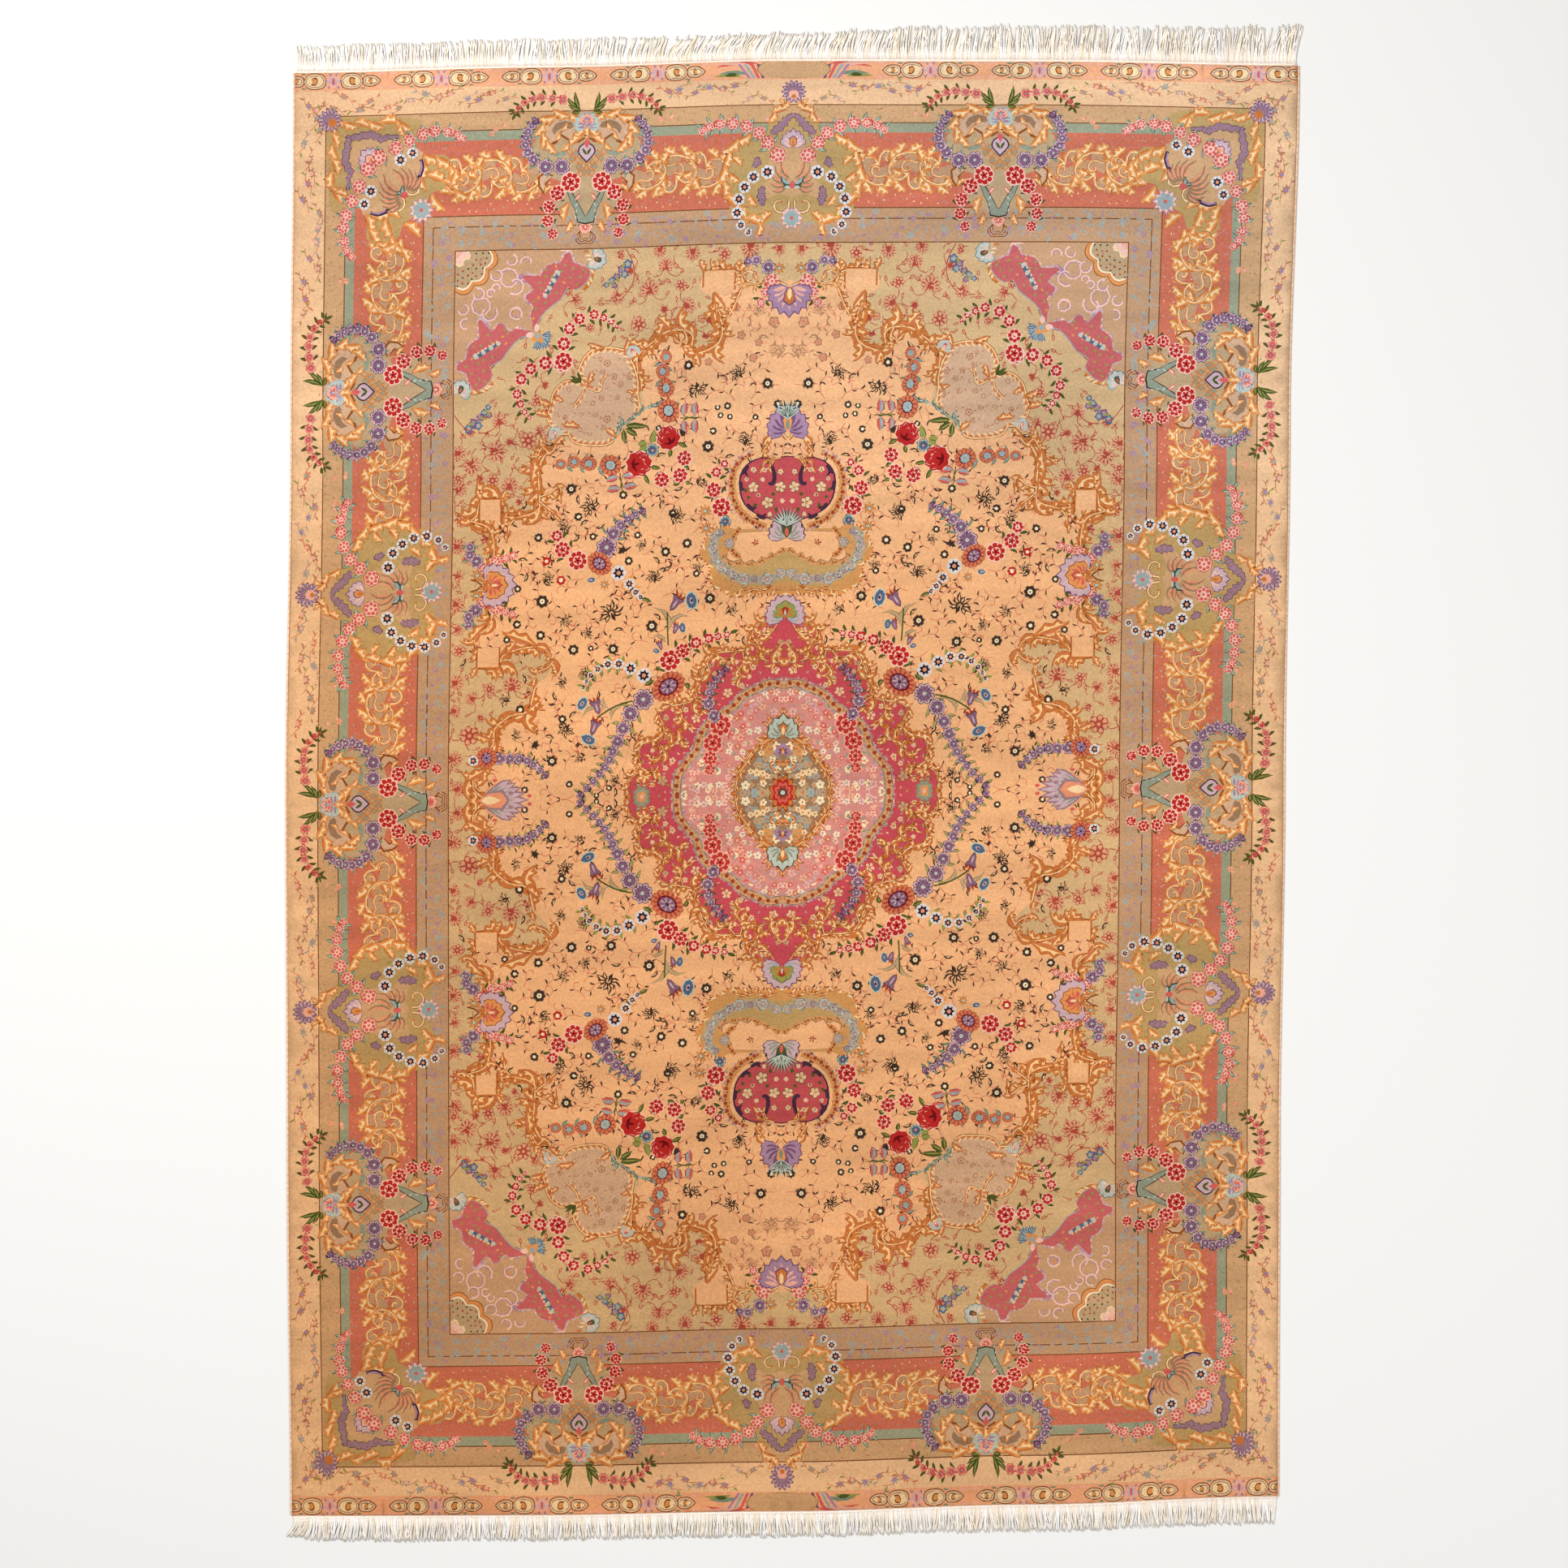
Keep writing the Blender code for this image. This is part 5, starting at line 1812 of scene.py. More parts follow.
def draw_collar(pen):
    """The ochre collar between medallion and heart, with its blue-grey garland and peach pocket."""
    rim = spline(COLLAR_RIM, 3)
    pen.fill([0 + 392j] + rim + [104 + 524j, 0 + 524j], "collar")
    pen.fill(band(rim, 1.8), "gold_dark")
    for k, (spot, unit) in enumerate(resample(rim, 8.0)):
        tip = spot - unit * way(-40) * (9 if k % 2 else 14)
        pen.fill(leaf(spot + unit * 4, tip, 4.0, 0.2), "gold" if k % 3 else "gold_light")
        pen.fill(leaf(spot, spot + unit * way(-56) * 7, 3.0, 0.1), "gold_dark")
    pen.fill(spline(COLLAR_CLOUD, 2), "green")
    pocket = spline(COLLAR_POCKET, 2)
    pen.fill(pocket, "taupe")
    pen.fill([complex(z.real * 0.98, 500 + (z.imag - 500) * 0.94) for z in pocket], "peach")
    for k, (spot, unit) in enumerate(resample(pocket[4:], 7.0)):
        tip = spot + unit * way(50) * 9
        pen.fill(leaf(spot - unit * 3, tip, 3.0, 0.2), "gold_dark" if k % 2 else "salmon")
    route = spline(COLLAR_HOOK, 3)
    pen.fill(band(route, 12.0), "collar")
    for k, (spot, unit) in enumerate(resample(route, 6.6)):
        pen.fill(scallop(spot, 3.6 if k % 2 else 2.2, 6, 0.2), "rust")
    garland_path = spline(COLLAR_GARLAND, 3)
    pen.fill(band(garland_path, 12.0, 20.0, 22.0), "mist")
    pen.fill(band(garland_path, 10.0, 12.0, 12.0), "faded_blue")
    pen.fill(band(spline(COLLAR_GARLAND[5:], 3), 5.0, 10.0), "sky")
    for k, (x, y, radius) in enumerate(COLLAR_FLOWERS):
        spot = complex(x, y)
        for lean in (30, 150, 270):
            pen.fill(leaf(spot, spot + way(lean + 40 * k) * (radius + 7), 5.0, 0.1), "haze")
        daisy(pen, spot, radius, 6, ("violet", "sky", "faded_blue", "violet", "coral_light"), 25 * k)
    for place, radius, turn in COLLAR_LOTUSES:
        lotus(pen, place, radius, turn, ("rust", "peach"), 5)
    leafwork(pen, COLLAR_WORK, 5.0, -1, AMBER)


# columns: x, y, radius
HEART_FLOWERS = (
    (39, 575, 12), (68, 606, 11), (14, 606, 11), (68, 641, 6), (50, 621, 5), (34, 552, 5), (10, 578, 5),
    (58, 590, 4.5), (82, 622, 4.5), (46, 640, 5), (28, 592, 4), (14, 636, 6), (84, 600, 4), (64, 570, 4),
    (22, 562, 4), (78, 586, 3.5)
)


# Dark leaves near the heart's rim.  columns: place, turn
HEART_BUDS = ((84 + 641j, 125), (74 + 566j, 50), (54 + 548j, 30), (93 + 608j, 90))
HEART_STEM = points(50, 660, 34, 652, 27, 636, 26, 622, 31, 612, 38, 614)
# columns: route, width, hand
HEART_SCROLLS = (
    (points(14, 664, 30, 660, 44, 656, 52, 644), 6.0, -1), (points(26, 668, 36, 656, 34, 644), 5.0, 1)
)


def draw_heart(pen, rng):
    """The heart-shaped pendant: rosy ground, cream flowers, dark scrolls and a beaded rim."""
    rim = spline(HEART_RIM, 4)
    for spot, unit in resample(rim, 5.0):
        tip = spot + unit * way(rng.uniform(60, 120)) * rng.uniform(9, 14)
        pen.fill(leaf(spot + unit * 3j, tip, 3.4, 0.2), rng.choice(("lilac", "faded", "lilac_light")))
    pen.fill(band(rim, 3.6, 9.6, 14.6), "rust_light")
    pen.fill(band(rim, 2.0, 8.0, 13.0), "collar")
    for k, (spot, unit) in enumerate(resample(rim, 7.4)):
        across = unit * 1j * (1.5 if k % 4 else -1.5)
        pen.fill(scallop(spot + across, 4.4 if k % 2 else 2.4, 6, 0.2), "rust")
    heart = spline(HEART, 4)
    pen.fill(heart + [600j], "plum_dark")
    pen.fill([complex(z.real * 0.965, 602 + (z.imag - 602) * 0.97) for z in heart] + [602j], "berry")
    for spot, turn in HEART_BUDS:
        pen.fill(ellipse(spot, 11.0, 4.2, turn), "plum_dark")
        pen.fill(leaf(spot, spot + way(turn + 120) * 15, 6.0, 0.2), "plum_dark")
    pen.fill(band(spline(HEART_STEM, 3), 2.0, 6.0, 8.0), "plum_dark")
    for path, width, hand in HEART_SCROLLS:
        leafwork(pen, path, width, hand, AMBER)
    for k, (x, y, radius) in enumerate(HEART_FLOWERS):
        cream_bloom(pen, complex(x, y), radius, ("leaf", "petal", "gold"), 17 * k)
    palmette(pen.at(504j, 90), 52, ("plum_dark", "lilac_light", "haze"), 9, 160, ("leaf", "coral"))
    fanned_strokes(pen, 526j, 6, ((0j, 44, 6, "sea_dark"), (2j, 42, 4, "sky")))


# ---- the medallion

# columns: route, width, hand
MEDALLION_EDGES = (
    (MEDALLION[0:5], 8.0, 1), (MEDALLION[4:9], 9.0, 1), (MEDALLION[8:13], 8.0, 1),
    (MEDALLION[12:17], 9.0, 1), (MEDALLION[16:], 7.0, 1)
)
MEDALLION_SCROLLS = (
    (points(84, 284, 80, 262, 92, 246, 84, 232, 96, 226), 6.0, -1),
    (points(70, 300, 50, 290, 56, 274, 72, 268), 6.0, -1),
    (points(200, 184, 206, 160, 196, 146, 184, 138), 6.0, 1),
    (points(240, 132, 226, 120, 230, 100, 246, 96), 6.0, 1),
    (points(176, 190, 160, 180, 164, 166), 6.0, -1),
    (points(286, 58, 266, 50, 262, 70), 6.0, 1),
    (points(0, 300, 14, 282, 10, 262, 26, 256), 7.0, -1),
    (points(16, 336, 30, 318, 48, 316, 58, 304, 50, 292), 6.0, 1),
    (points(30, 262, 48, 268, 66, 262, 70, 248), 6.0, 1),
    (points(156, 262, 150, 244, 164, 232, 176, 236), 6.0, 1),
    (points(96, 282, 108, 268, 126, 270, 140, 280), 6.0, -1),
    (points(196, 140, 210, 128, 206, 112, 220, 104), 6.0, -1),
    (points(252, 110, 240, 90, 252, 74, 268, 78), 6.0, 1),
    (points(250, 60, 262, 44, 280, 40, 292, 48), 6.0, -1),
    (points(292, 30, 276, 22, 262, 30), 5.0, 1)
)
# columns: x, y, radius
WINE_FLOWERS = (
    (38, 282, 10), (18, 245, 10), (38, 322, 9), (118, 259, 12), (112, 201, 10), (175, 152, 10),
    (242, 31, 11), (196, 100, 8), (222, 70, 7), (8, 300, 6), (66, 288, 5), (96, 262, 5), (146, 258, 6),
    (84, 214, 6), (62, 250, 6), (168, 190, 6), (196, 170, 6), (216, 150, 6), (236, 156, 6), (232, 96, 6),
    (262, 92, 5), (210, 128, 5), (236, 56, 6), (264, 22, 5), (54, 306, 5), (24, 268, 5), (134, 270, 5),
    (100, 228, 6), (70, 232, 5), (220, 20, 6), (284, 70, 5), (186, 132, 5), (222, 172, 5), (140, 240, 5)
)
BEAD_PITCH = 8.4


# The star in the very middle, outermost first.  columns: radius, stretch, lobes, tone
MIDDLE_STAR = (
    (30, 1.35, 12, "amber_dark"), (27, 1.35, 12, "amber"), (23, 1.3, 8, "red"), (18, 1.25, 8, "coral"),
    (13, 1.2, 8, "rust"), (8.5, 1.0, 7, "navy"), (5.5, 1.0, 6, "sky"), (2.4, 1.0, 5, "coral")
)
# Gold sprigs over the lozenge.
LOZENGE_SPRIGS = (
    points(0, 112, 6, 134, 2, 158), points(20, 112, 30, 130, 24, 148, 10, 140),
    points(0, 60, 14, 64, 22, 52, 14, 44)
)


def coral_rose(pen, centre, radius, turn=0.0):
    """A coral rose."""
    rose(pen, centre, radius, ("coral_light", "coral_red", "red_dark"), turn)


def draw_wine_ground(pen, rng):
    """The medallion's wine ground, strewn with leaves and flowers, and its gold edge."""
    outline = spline(MEDALLION, 4)
    pen.fill([0j] + [313 + 0j] + outline[::-1], "wine")
    for place in jittered(6 + 6j, 308 + 345j, 19.0, rng, 0.3):
        if inside(place, [0j] + MEDALLION[::-1]):
            tip = place + way(rng.uniform(0, 360)) * 8
            pen.fill(leaf(place, tip, 4.0, 0.1), rng.choice(("petal", "faded_blue", "salmon", "leaf_light")))
    for k, (x, y, radius) in enumerate(WINE_FLOWERS):
        cream_bloom(pen, complex(x, y), radius, ("brick", "petal" if k % 3 else "mist", "coral"), 31 * k)
    for path, width, hand in MEDALLION_EDGES:
        leafwork(pen, path, width, hand, RUSTY, fullness=1.15, both=True, stem=0.3, pitch=20.0)
    for path, width, hand in MEDALLION_SCROLLS:
        leafwork(pen, path, width, hand, RUSTY, fullness=1.35, stem=0.4, pitch=14.0)


def draw_pink_ground(pen, rng):
    """The pink ground with its crowded flowers, inside a ring of beads."""
    ring = spline(BEAD_RING, 4)
    pen.fill([0j] + ring[::-1], "pink")
    for place in jittered(6 + 6j, 205 + 215j, 13.0, rng, 0.3):
        if not inside(place * 1.05, [0j] + BEAD_RING[::-1]):
            continue
        kind = rng.random()
        if kind < 0.34:
            radius = rng.uniform(6, 9)
            outline, petal = rng.choice(("coral", "faded", "lilac")), rng.choice(("blush", "cream",
                "coral_light"))
            cream_bloom(pen, place, radius, (outline, petal, "coral"), rng.uniform(0, 70))
        elif kind < 0.56:
            outline = scallop(place, rng.uniform(5, 8), 5, 0.34, rng.uniform(0, 70))
            pen.fill(outline, rng.choice(("coral", "coral_light", "rust_light")))
            pen.fill(ellipse(place, 2.4, points=5), "blush")
        elif kind < 0.9:
            outline = leaf(place, place + way(rng.uniform(0, 360)) * rng.uniform(9, 14), 4.6, 0.2)
            pen.fill(outline, rng.choice(("mist", "faded_blue", "coral", "lilac_light", "cream")))
    for spot, unit in resample(ring, 5.6):
        for side in (1, -1):
            tip = spot + unit * way(rng.uniform(60, 120) * side) * rng.uniform(12, 17)
            pen.fill(leaf(spot + unit * 5j * side, tip, 4.2, 0.2),
                rng.choice(("lilac", "lilac_light", "faded_blue")))
    pen.fill(band(ring, 18), "faded_blue")
    pen.fill(band(ring, 15), "line")
    pen.fill(band(ring, 13), "tan")
    for k, (spot, unit) in enumerate(resample(ring, BEAD_PITCH)):
        spot += unit * 1j * (1.4 if k % 3 else -1.4)
        pen.fill(scallop(spot, 4.8 if k % 2 else 2.8, 6, 0.2, 30 * k), "rust" if k % 2 else "amber")


def draw_lozenge(pen, rng):
    """The lozenge in the middle, with its flowers, gold edges, palmettes and star."""
    lozenge = spline(LOZENGE, 4)
    pen.fill([0j] + [z * 1.05 for z in lozenge[::-1]], "blush")
    pen.fill([0j] + [z * 0.99 for z in lozenge[::-1]], "taupe")
    for place in jittered(4 + 4j, 92 + 104j, 13.0, rng, 0.3):
        if inside(place * 1.12, [0j] + LOZENGE[::-1]):
            tone = rng.choice(("blue_light", "mist", "gold_light", "cream", "faded_blue", "gold"))
            pen.fill(scallop(place, rng.uniform(6, 10), 5, 0.34, rng.uniform(0, 70)), tone)
            pen.fill(ellipse(place, 2.4, points=5), rng.choice(("faded", "haze", "rust_light")))
    for path, hand in ((LOZENGE[0:4], 1), (LOZENGE[3:], 1), (LOZENGE[0:4], -1), (LOZENGE[3:], -1)):
        leafwork(pen, [z * (1.02 if hand > 0 else 0.97) for z in path], 6.0, hand, AMBER, pitch=15.0)
    for path in LOZENGE_SPRIGS:
        leafwork(pen, path, 5.0, -1, AMBER)
    palmettes(pen, LOZENGE_PALMETTES)
    for radius, stretch, lobes, tone in MIDDLE_STAR:
        pen.fill(scallop(0j, radius, lobes, 0.26, 90, stretch), tone)


def draw_medallion(pen, rng):
    """The wine medallion: its grounds, the lozenge, garlands over them, and flowers at its tips."""
    draw_wine_ground(pen, rng)
    draw_pink_ground(pen, rng)
    draw_lozenge(pen, rng)
    garland(pen, PINK_ROSES, coral_rose, leaves=8.0, leaf_tones=("faded", "haze", "sky"))
    garland(pen, WINE_PURPLE, purple_daisy, leaves=7.0, buds=BUDS)
    palmettes(pen, TIP_PALMETTES)
    for half in mirror_halves(pen.at(308 + 0j, 180)):
        half.fill(scallop(24 + 5j, 19, 8, 0.2), "taupe")
        half.fill(scallop(24 + 5j, 15.5, 8, 0.24), "haze")
        half.fill(scallop(24 + 3j, 9, 7, 0.2), "gold")
        half.fill(ellipse(24 + 0j, 4, 6), "coral_light")


def draw_field(pen, rng):
    """Everything inside the borders."""
    draw_sage(pen, rng)
    draw_spandrel(pen, rng)
    draw_peach(pen, rng)
    draw_rim(pen)
    draw_cloud(pen, rng)
    draw_sage_garlands(pen)
    draw_field_garlands(pen)
    draw_side_palmette(pen)
    draw_axis_groups(pen)
    draw_medallion(pen, rng)
    draw_collar(pen)
    draw_heart(pen, rng)


def draw_chart():
    """The whole quarter, as a list of (outline, tone), lowest first."""
    areas = []
    pen = Pen(areas)
    draw_field(pen, random.Random(11))
    draw_borders(pen, random.Random(7))
    return areas


# ---------------------------------------------------------------- the weave
# The weave strays from a true rectangle, as the model's does: the same tables.
HALF_WIDTH = 1.000
HALF_LENGTH = 1.450
# columns: height up the rug as a share, left edge, right edge
SIDE_STRAY = (
    (-1.0, -0.010, -0.012), (-0.5, -0.003, -0.010), (0.0, 0.0, 0.0), (0.5, -0.010, 0.010),
    (1.0, -0.016, 0.029)
)
# columns: place across the rug as a share, top end, bottom end
END_STRAY = (
    (-1.0, -0.017, 0.015), (-0.5, -0.006, 0.013), (0.0, 0.007, 0.006), (0.5, 0.006, -0.008),
    (1.0, -0.002, -0.025)
)
# How far the pattern itself lies up the rug from where it should.
# columns: distance from mid length as a share, shift up the rug
PATTERN_DRIFT = ((0.0, -0.013), (0.2, -0.012), (0.45, -0.007), (0.7, 0.0), (0.9, 0.008), (1.0, 0.0))
PATTERN_LEFT = 0.005           # how far the pattern's middle lies to the left
PATTERN_SAG = 0.009            # how much lower the pattern lies at its left side

RUG_TOP = 0.008                # height of the pile
FOUNDATION = 0.002             # thickness of the woven foundation under the pile
TILE_CUT = 483.0               # the pile is made in tiles, cut here up the chart (mm)
GRID_PITCH = 62.0              # spacing of the lines that let the chart bend (mm)
CHART_TOLERANCE = 0.5          # how far a chart outline may be straightened (mm)
SEAM_TOLERANCE = 0.75          # how far a line between two tones may be straightened (mm)
SMALLEST_AREA = 5.0            # smaller areas of colour aren't cut out (square mm)
SPECK_ROUNDS = 2
SPECK_REACH = 6


def read_table(table, column, place):
    """A column of a table at an array of places, eased from row to row."""
    place = np.clip(place, table[0][0], table[-1][0])
    result = np.zeros_like(place)
    for low, high in zip(table, table[1:]):
        share = (place - low[0]) / (high[0] - low[0])
        here = (share >= 0.0) & (share <= 1.0)
        ease = share * share * (3.0 - 2.0 * share)
        result[here] = (low[column] + (high[column] - low[column]) * ease)[here]
    return result


def woven(across, along):
    """Where places on the true rectangle, given as shares of it, really lie, in metres."""
    across, along = np.asarray(across, float), np.asarray(along, float)
    left, right = read_table(SIDE_STRAY, 1, along), read_table(SIDE_STRAY, 2, along)
    top, bottom = read_table(END_STRAY, 1, across), read_table(END_STRAY, 2, across)
    x = across * HALF_WIDTH + ((right - left) + across * (right + left)) / 2.0
    y = along * HALF_LENGTH + ((top - bottom) + along * (top + bottom)) / 2.0
    return x + MIDDLE.x, y + MIDDLE.y


def patterned(x, y):
    """Where places on the chart, in millimetres, lie on the rug, in metres."""
    across, along = x / 1000.0 / HALF_WIDTH, y / 1000.0 / HALF_LENGTH
    real_x, real_y = woven(across, along)
    real_x = real_x - PATTERN_LEFT * (1.0 - across ** 2)
    real_y = real_y + read_table(PATTERN_DRIFT, 1, np.abs(along))
    real_y = real_y - PATTERN_SAG * (1.0 - along ** 2) * np.clip(-across, 0.0, 1.0)
    return real_x, real_y


def rug_middle():
    """Where the true rectangle's middle lies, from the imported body's highest corner."""
    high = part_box("pile_rug")[1]
    return Vector((high[0] - HALF_WIDTH - SIDE_STRAY[-1][2], high[1] - HALF_LENGTH - END_STRAY[2][1]))


MIDDLE = rug_middle()


# ---- from areas of colour to triangles

def straightened(outline, tolerance):
    """An outline with the points left out that lie within a tolerance of their neighbours' line."""
    if len(outline) < 5:
        return outline
    far = max(range(len(outline)), key=lambda k: abs(outline[k] - outline[0]))
    return thinned(outline[:far + 1], tolerance) + thinned(outline[far:] + outline[:1], tolerance)


def thinned(line, tolerance):
    """The same for an open line; its last point is left off."""
    if len(line) < 3:
        return line[:-1]
    run = line[-1] - line[0]
    length = abs(run)
    gaps = [abs(((p - line[0]) * run.conjugate()).imag) / length if length > 1e-9 else abs(p - line[0])
        for p in line[1:-1]]
    widest = max(gaps)
    if widest < tolerance:
        return [line[0]]
    k = gaps.index(widest) + 1
    return thinned(line[:k + 1], tolerance) + thinned(line[k:], tolerance)


def area_of(outline):
    """The area inside an outline."""
    return abs(sum((p.conjugate() * q).imag for p, q in zip(outline, outline[1:] + outline[:1]))) / 2.0


def grid_lines():
    """Lines across the quarter, its rim and the tile cut among them, as pairs of points."""
    wide, high = EDGE
    columns = int(round(wide / GRID_PITCH))
    rows = int(round(high / GRID_PITCH))
    lines = [(complex(wide * k / columns, 0), complex(wide * k / columns, high)) for k in range(columns + 1)]
    levels = [high * k / rows for k in range(rows + 1)] + [TILE_CUT]
    return lines + [(complex(0, y), complex(wide, y)) for y in levels]


def triangulate(segments):
    """Points and triangles of the plane cut along segments, given as pairs of complex points."""
    spots, index, edges = [], {}, []
    for a, b in segments:
        ends = []
        for point in (a, b):
            key = (round(point.real, 4), round(point.imag, 4))
            if key not in index:
                index[key] = len(spots)
                spots.append(Vector(key))
            ends.append(index[key])
        if ends[0] != ends[1]:
            edges.append(ends)
    points, _, faces, *_ = delaunay_2d_cdt(spots, edges, [], 0, 1e-5, False)
    points = np.array([(p.x, p.y) for p in points])
    faces = np.array([face for face in faces if len(face) == 3], dtype=np.int64)
    middles = points[faces].mean(axis=1)
    within = (middles[:, 0] > 0) & (middles[:, 0] < EDGE[0]) & (middles[:, 1] > 0) & (middles[:, 1] < EDGE[1])
    return points, faces[within]


def top_tones(middles, outlines, tones):
    """The tone of the topmost area over each place."""
    order = np.argsort(middles[:, 0])
    xs, ys = middles[order, 0], middles[order, 1]
    found = np.zeros(len(xs), dtype=np.int32)
    for outline, tone in zip(outlines, tones):
        low, high = np.searchsorted(xs, (outline.real.min(), outline.real.max()))
        level = ys[low:high]
        near = low + np.flatnonzero((level >= outline.imag.min()) & (level <= outline.imag.max()))
        if not len(near):
            continue
        x, y = xs[near], ys[near]
        after = np.roll(outline, -1)
        crossed = np.zeros(len(near), dtype=bool)
        for a, b in zip(outline, after):
            if a.imag == b.imag:
                continue
            straddles = (a.imag > y) != (b.imag > y)
            crossed ^= straddles & (x < a.real + (y - a.imag) * (b.real - a.real) / (b.imag - a.imag))
        found[near[crossed]] = tone
    result = np.zeros(len(xs), dtype=np.int32)
    result[order] = found
    return result


def shared_edges(faces):
    """The edges that two triangles share, as index pairs, and the numbers of the two triangles."""
    edges = np.sort(np.concatenate([faces[:, [0, 1]], faces[:, [1, 2]], faces[:, [2, 0]]]), axis=1)
    owners = np.tile(np.arange(len(faces)), 3)
    order = np.lexsort((edges[:, 1], edges[:, 0]))
    edges, owners = edges[order], owners[order]
    same = np.flatnonzero((edges[:-1] == edges[1:]).all(axis=1))
    return edges[same], owners[same], owners[same + 1]


def without_specks(points, faces, tones):
    """The tones, with specks of one colour given the tone that they touch most."""
    edges, one, other = shared_edges(faces)
    lengths = np.hypot(*(points[edges[:, 0]] - points[edges[:, 1]]).T)
    sides = points[faces]
    first, second = sides[:, 1] - sides[:, 0], sides[:, 2] - sides[:, 0]
    sizes = np.abs(first[:, 0] * second[:, 1] - first[:, 1] * second[:, 0]) / 2.0
    for _ in range(SPECK_ROUNDS):
        alike = tones[one] == tones[other]
        label = np.arange(len(faces))
        for _ in range(SPECK_REACH):
            lower = np.minimum(label[one[alike]], label[other[alike]])
            np.minimum.at(label, one[alike], lower)
            np.minimum.at(label, other[alike], lower)
        small = np.bincount(label, sizes, len(faces))[label] < SMALLEST_AREA
        best = np.zeros(len(faces))
        new = tones.copy()
        for here, there in ((one, other), (other, one)):
            chosen = np.flatnonzero(small[here] & ~alike & ~small[there])
            chosen = chosen[np.argsort(lengths[chosen])]
            better = lengths[chosen] > best[here[chosen]]
            new[here[chosen][better]] = tones[there[chosen]][better]
            best[here[chosen][better]] = lengths[chosen][better]
        tones = new
    return tones


def seam_lines(points, faces, tones):
    """The lines between different tones, each as its points in order, straightened."""
    edges, one, other = shared_edges(faces)
    edges = edges[tones[one] != tones[other]]
    near = {}
    for a, b in edges.tolist():
        near.setdefault(a, []).append(b)
        near.setdefault(b, []).append(a)
    places = [complex(*point) for point in points.tolist()]
    used, lines = set(), []
    starts = [spot for spot, ways in near.items() if len(ways) != 2] + list(near)
    for start in starts:
        for follow in near[start]:
            if (start, follow) in used:
                continue
            line = [start, follow]
            while len(near[line[-1]]) == 2 and line[-1] != start:
                before, after = near[line[-1]]
                line.append(after if before == line[-2] else before)
            used.update(zip(line, line[1:]))
            used.update(zip(line[1:], line))
            lines.append(line_thinned([places[spot] for spot in line], SEAM_TOLERANCE))
    return lines


def line_thinned(line, tolerance):
    """A line, closed or open, with the points left out that it hardly bends at."""
    if line[0] == line[-1] and len(line) > 4:
        return straightened(line[:-1], tolerance) + [line[0]]
    return thinned(line, tolerance) + [line[-1]]


def cut_chart(areas, tolerance, smallest):
    """The quarter as points (mm), triangles, and the number of each triangle's tone."""
    names = list(TONES)
    kept = [(straightened(outline, tolerance), tone) for outline, tone in areas]
    kept = [(outline, tone) for outline, tone in kept if len(outline) > 2 and area_of(outline) > smallest]
    outlines = [np.array(outline) for outline, _ in kept]
    numbers = [names.index(tone) for _, tone in kept]
    segments = grid_lines()
    for outline, _ in kept:
        segments += zip(outline, outline[1:] + outline[:1])
    points, faces = triangulate(segments)
    tones = without_specks(points, faces, top_tones(points[faces].mean(axis=1), outlines, numbers))
    segments = [pair for line in seam_lines(points, faces, tones) for pair in zip(line, line[1:])]
    points, faces = triangulate(grid_lines() + segments)
    tones = top_tones(points[faces].mean(axis=1), outlines, numbers)
    return points, faces, without_specks(points, faces, tones)
# ---------------------------------------------------------------- the pile and its foundation

QUADRANTS = ((1, 1), (-1, 1), (-1, -1), (1, -1))
# The slight unevenness of a rug on a floor.  columns: direction x, y, phase, height (m)
WAVES = ((0.31, 0.42, 0.0, 0.0007), (-0.52, 0.23, 1.7, 0.0005), (0.12, -0.71, 4.1, 0.0006))
WAVE_LENGTH = 0.45
RIM_DROP = 0.0012              # how much lower the pile is at the rug's rim
AT_RIM = 0.01                  # how near the rim a point counts as on it (mm)
UV_MARGIN = 0.012              # room round a tile's map for the walls of the rug's rim
WALL_SHARE = 0.8               # part of that room that the walls take
PILE_DEPTH = 0.78              # light that the standing pile gives back, against flat paper of its colour
BACK_SMALLEST = 700.0          # smallest area that shows through the foundation (square mm)
BACK_TOLERANCE = 3.0           # how far the foundation's outlines may be straightened (mm)


def wave(x, y):
    """How high the rug stands off the floor at places on it."""
    height = np.zeros_like(x)
    for step_x, step_y, phase, rise in WAVES:
        height += rise * np.sin(2.0 * np.pi * (step_x * x + step_y * y) / WAVE_LENGTH + phase)
    return height


def linear(colour):
    """A colour of 0 to 255 as the shader's linear values."""
    shares = np.asarray(colour, float) / 255.0
    return np.where(shares <= 0.04045, shares / 12.92, ((shares + 0.055) / 1.055) ** 2.4)


TONE_VALUES = np.array([linear(colour) * PILE_DEPTH for colour in TONES.values()])


def mirrored(points, faces, tones, quadrants, keep):
    """The quarter's triangles in some of its quadrants, where keep(middles) says so."""
    all_points, all_faces, all_tones = [], [], []
    chosen = keep(points[faces].mean(axis=1))
    for side, end in quadrants:
        turned = faces[chosen] if side * end > 0 else faces[chosen][:, ::-1]
        all_faces.append(turned + sum(map(len, all_points)))
        all_points.append(points * (side, end))
        all_tones.append(tones[chosen])
    return np.concatenate(all_points), np.concatenate(all_faces), np.concatenate(all_tones)


def welded(points, faces):
    """The same triangles over points that are each held once, and which of them were kept."""
    keys = np.round(points * 1000.0).astype(np.int64)
    _, first, number = np.unique(keys, axis=0, return_index=True, return_inverse=True)
    faces = number.reshape(-1)[faces]
    used, faces = np.unique(faces, return_inverse=True)
    faces = faces.reshape(-1, 3)
    kept = (faces[:, 0] != faces[:, 1]) & (faces[:, 1] != faces[:, 2]) & (faces[:, 2] != faces[:, 0])
    return points[first[used]], faces[kept], kept


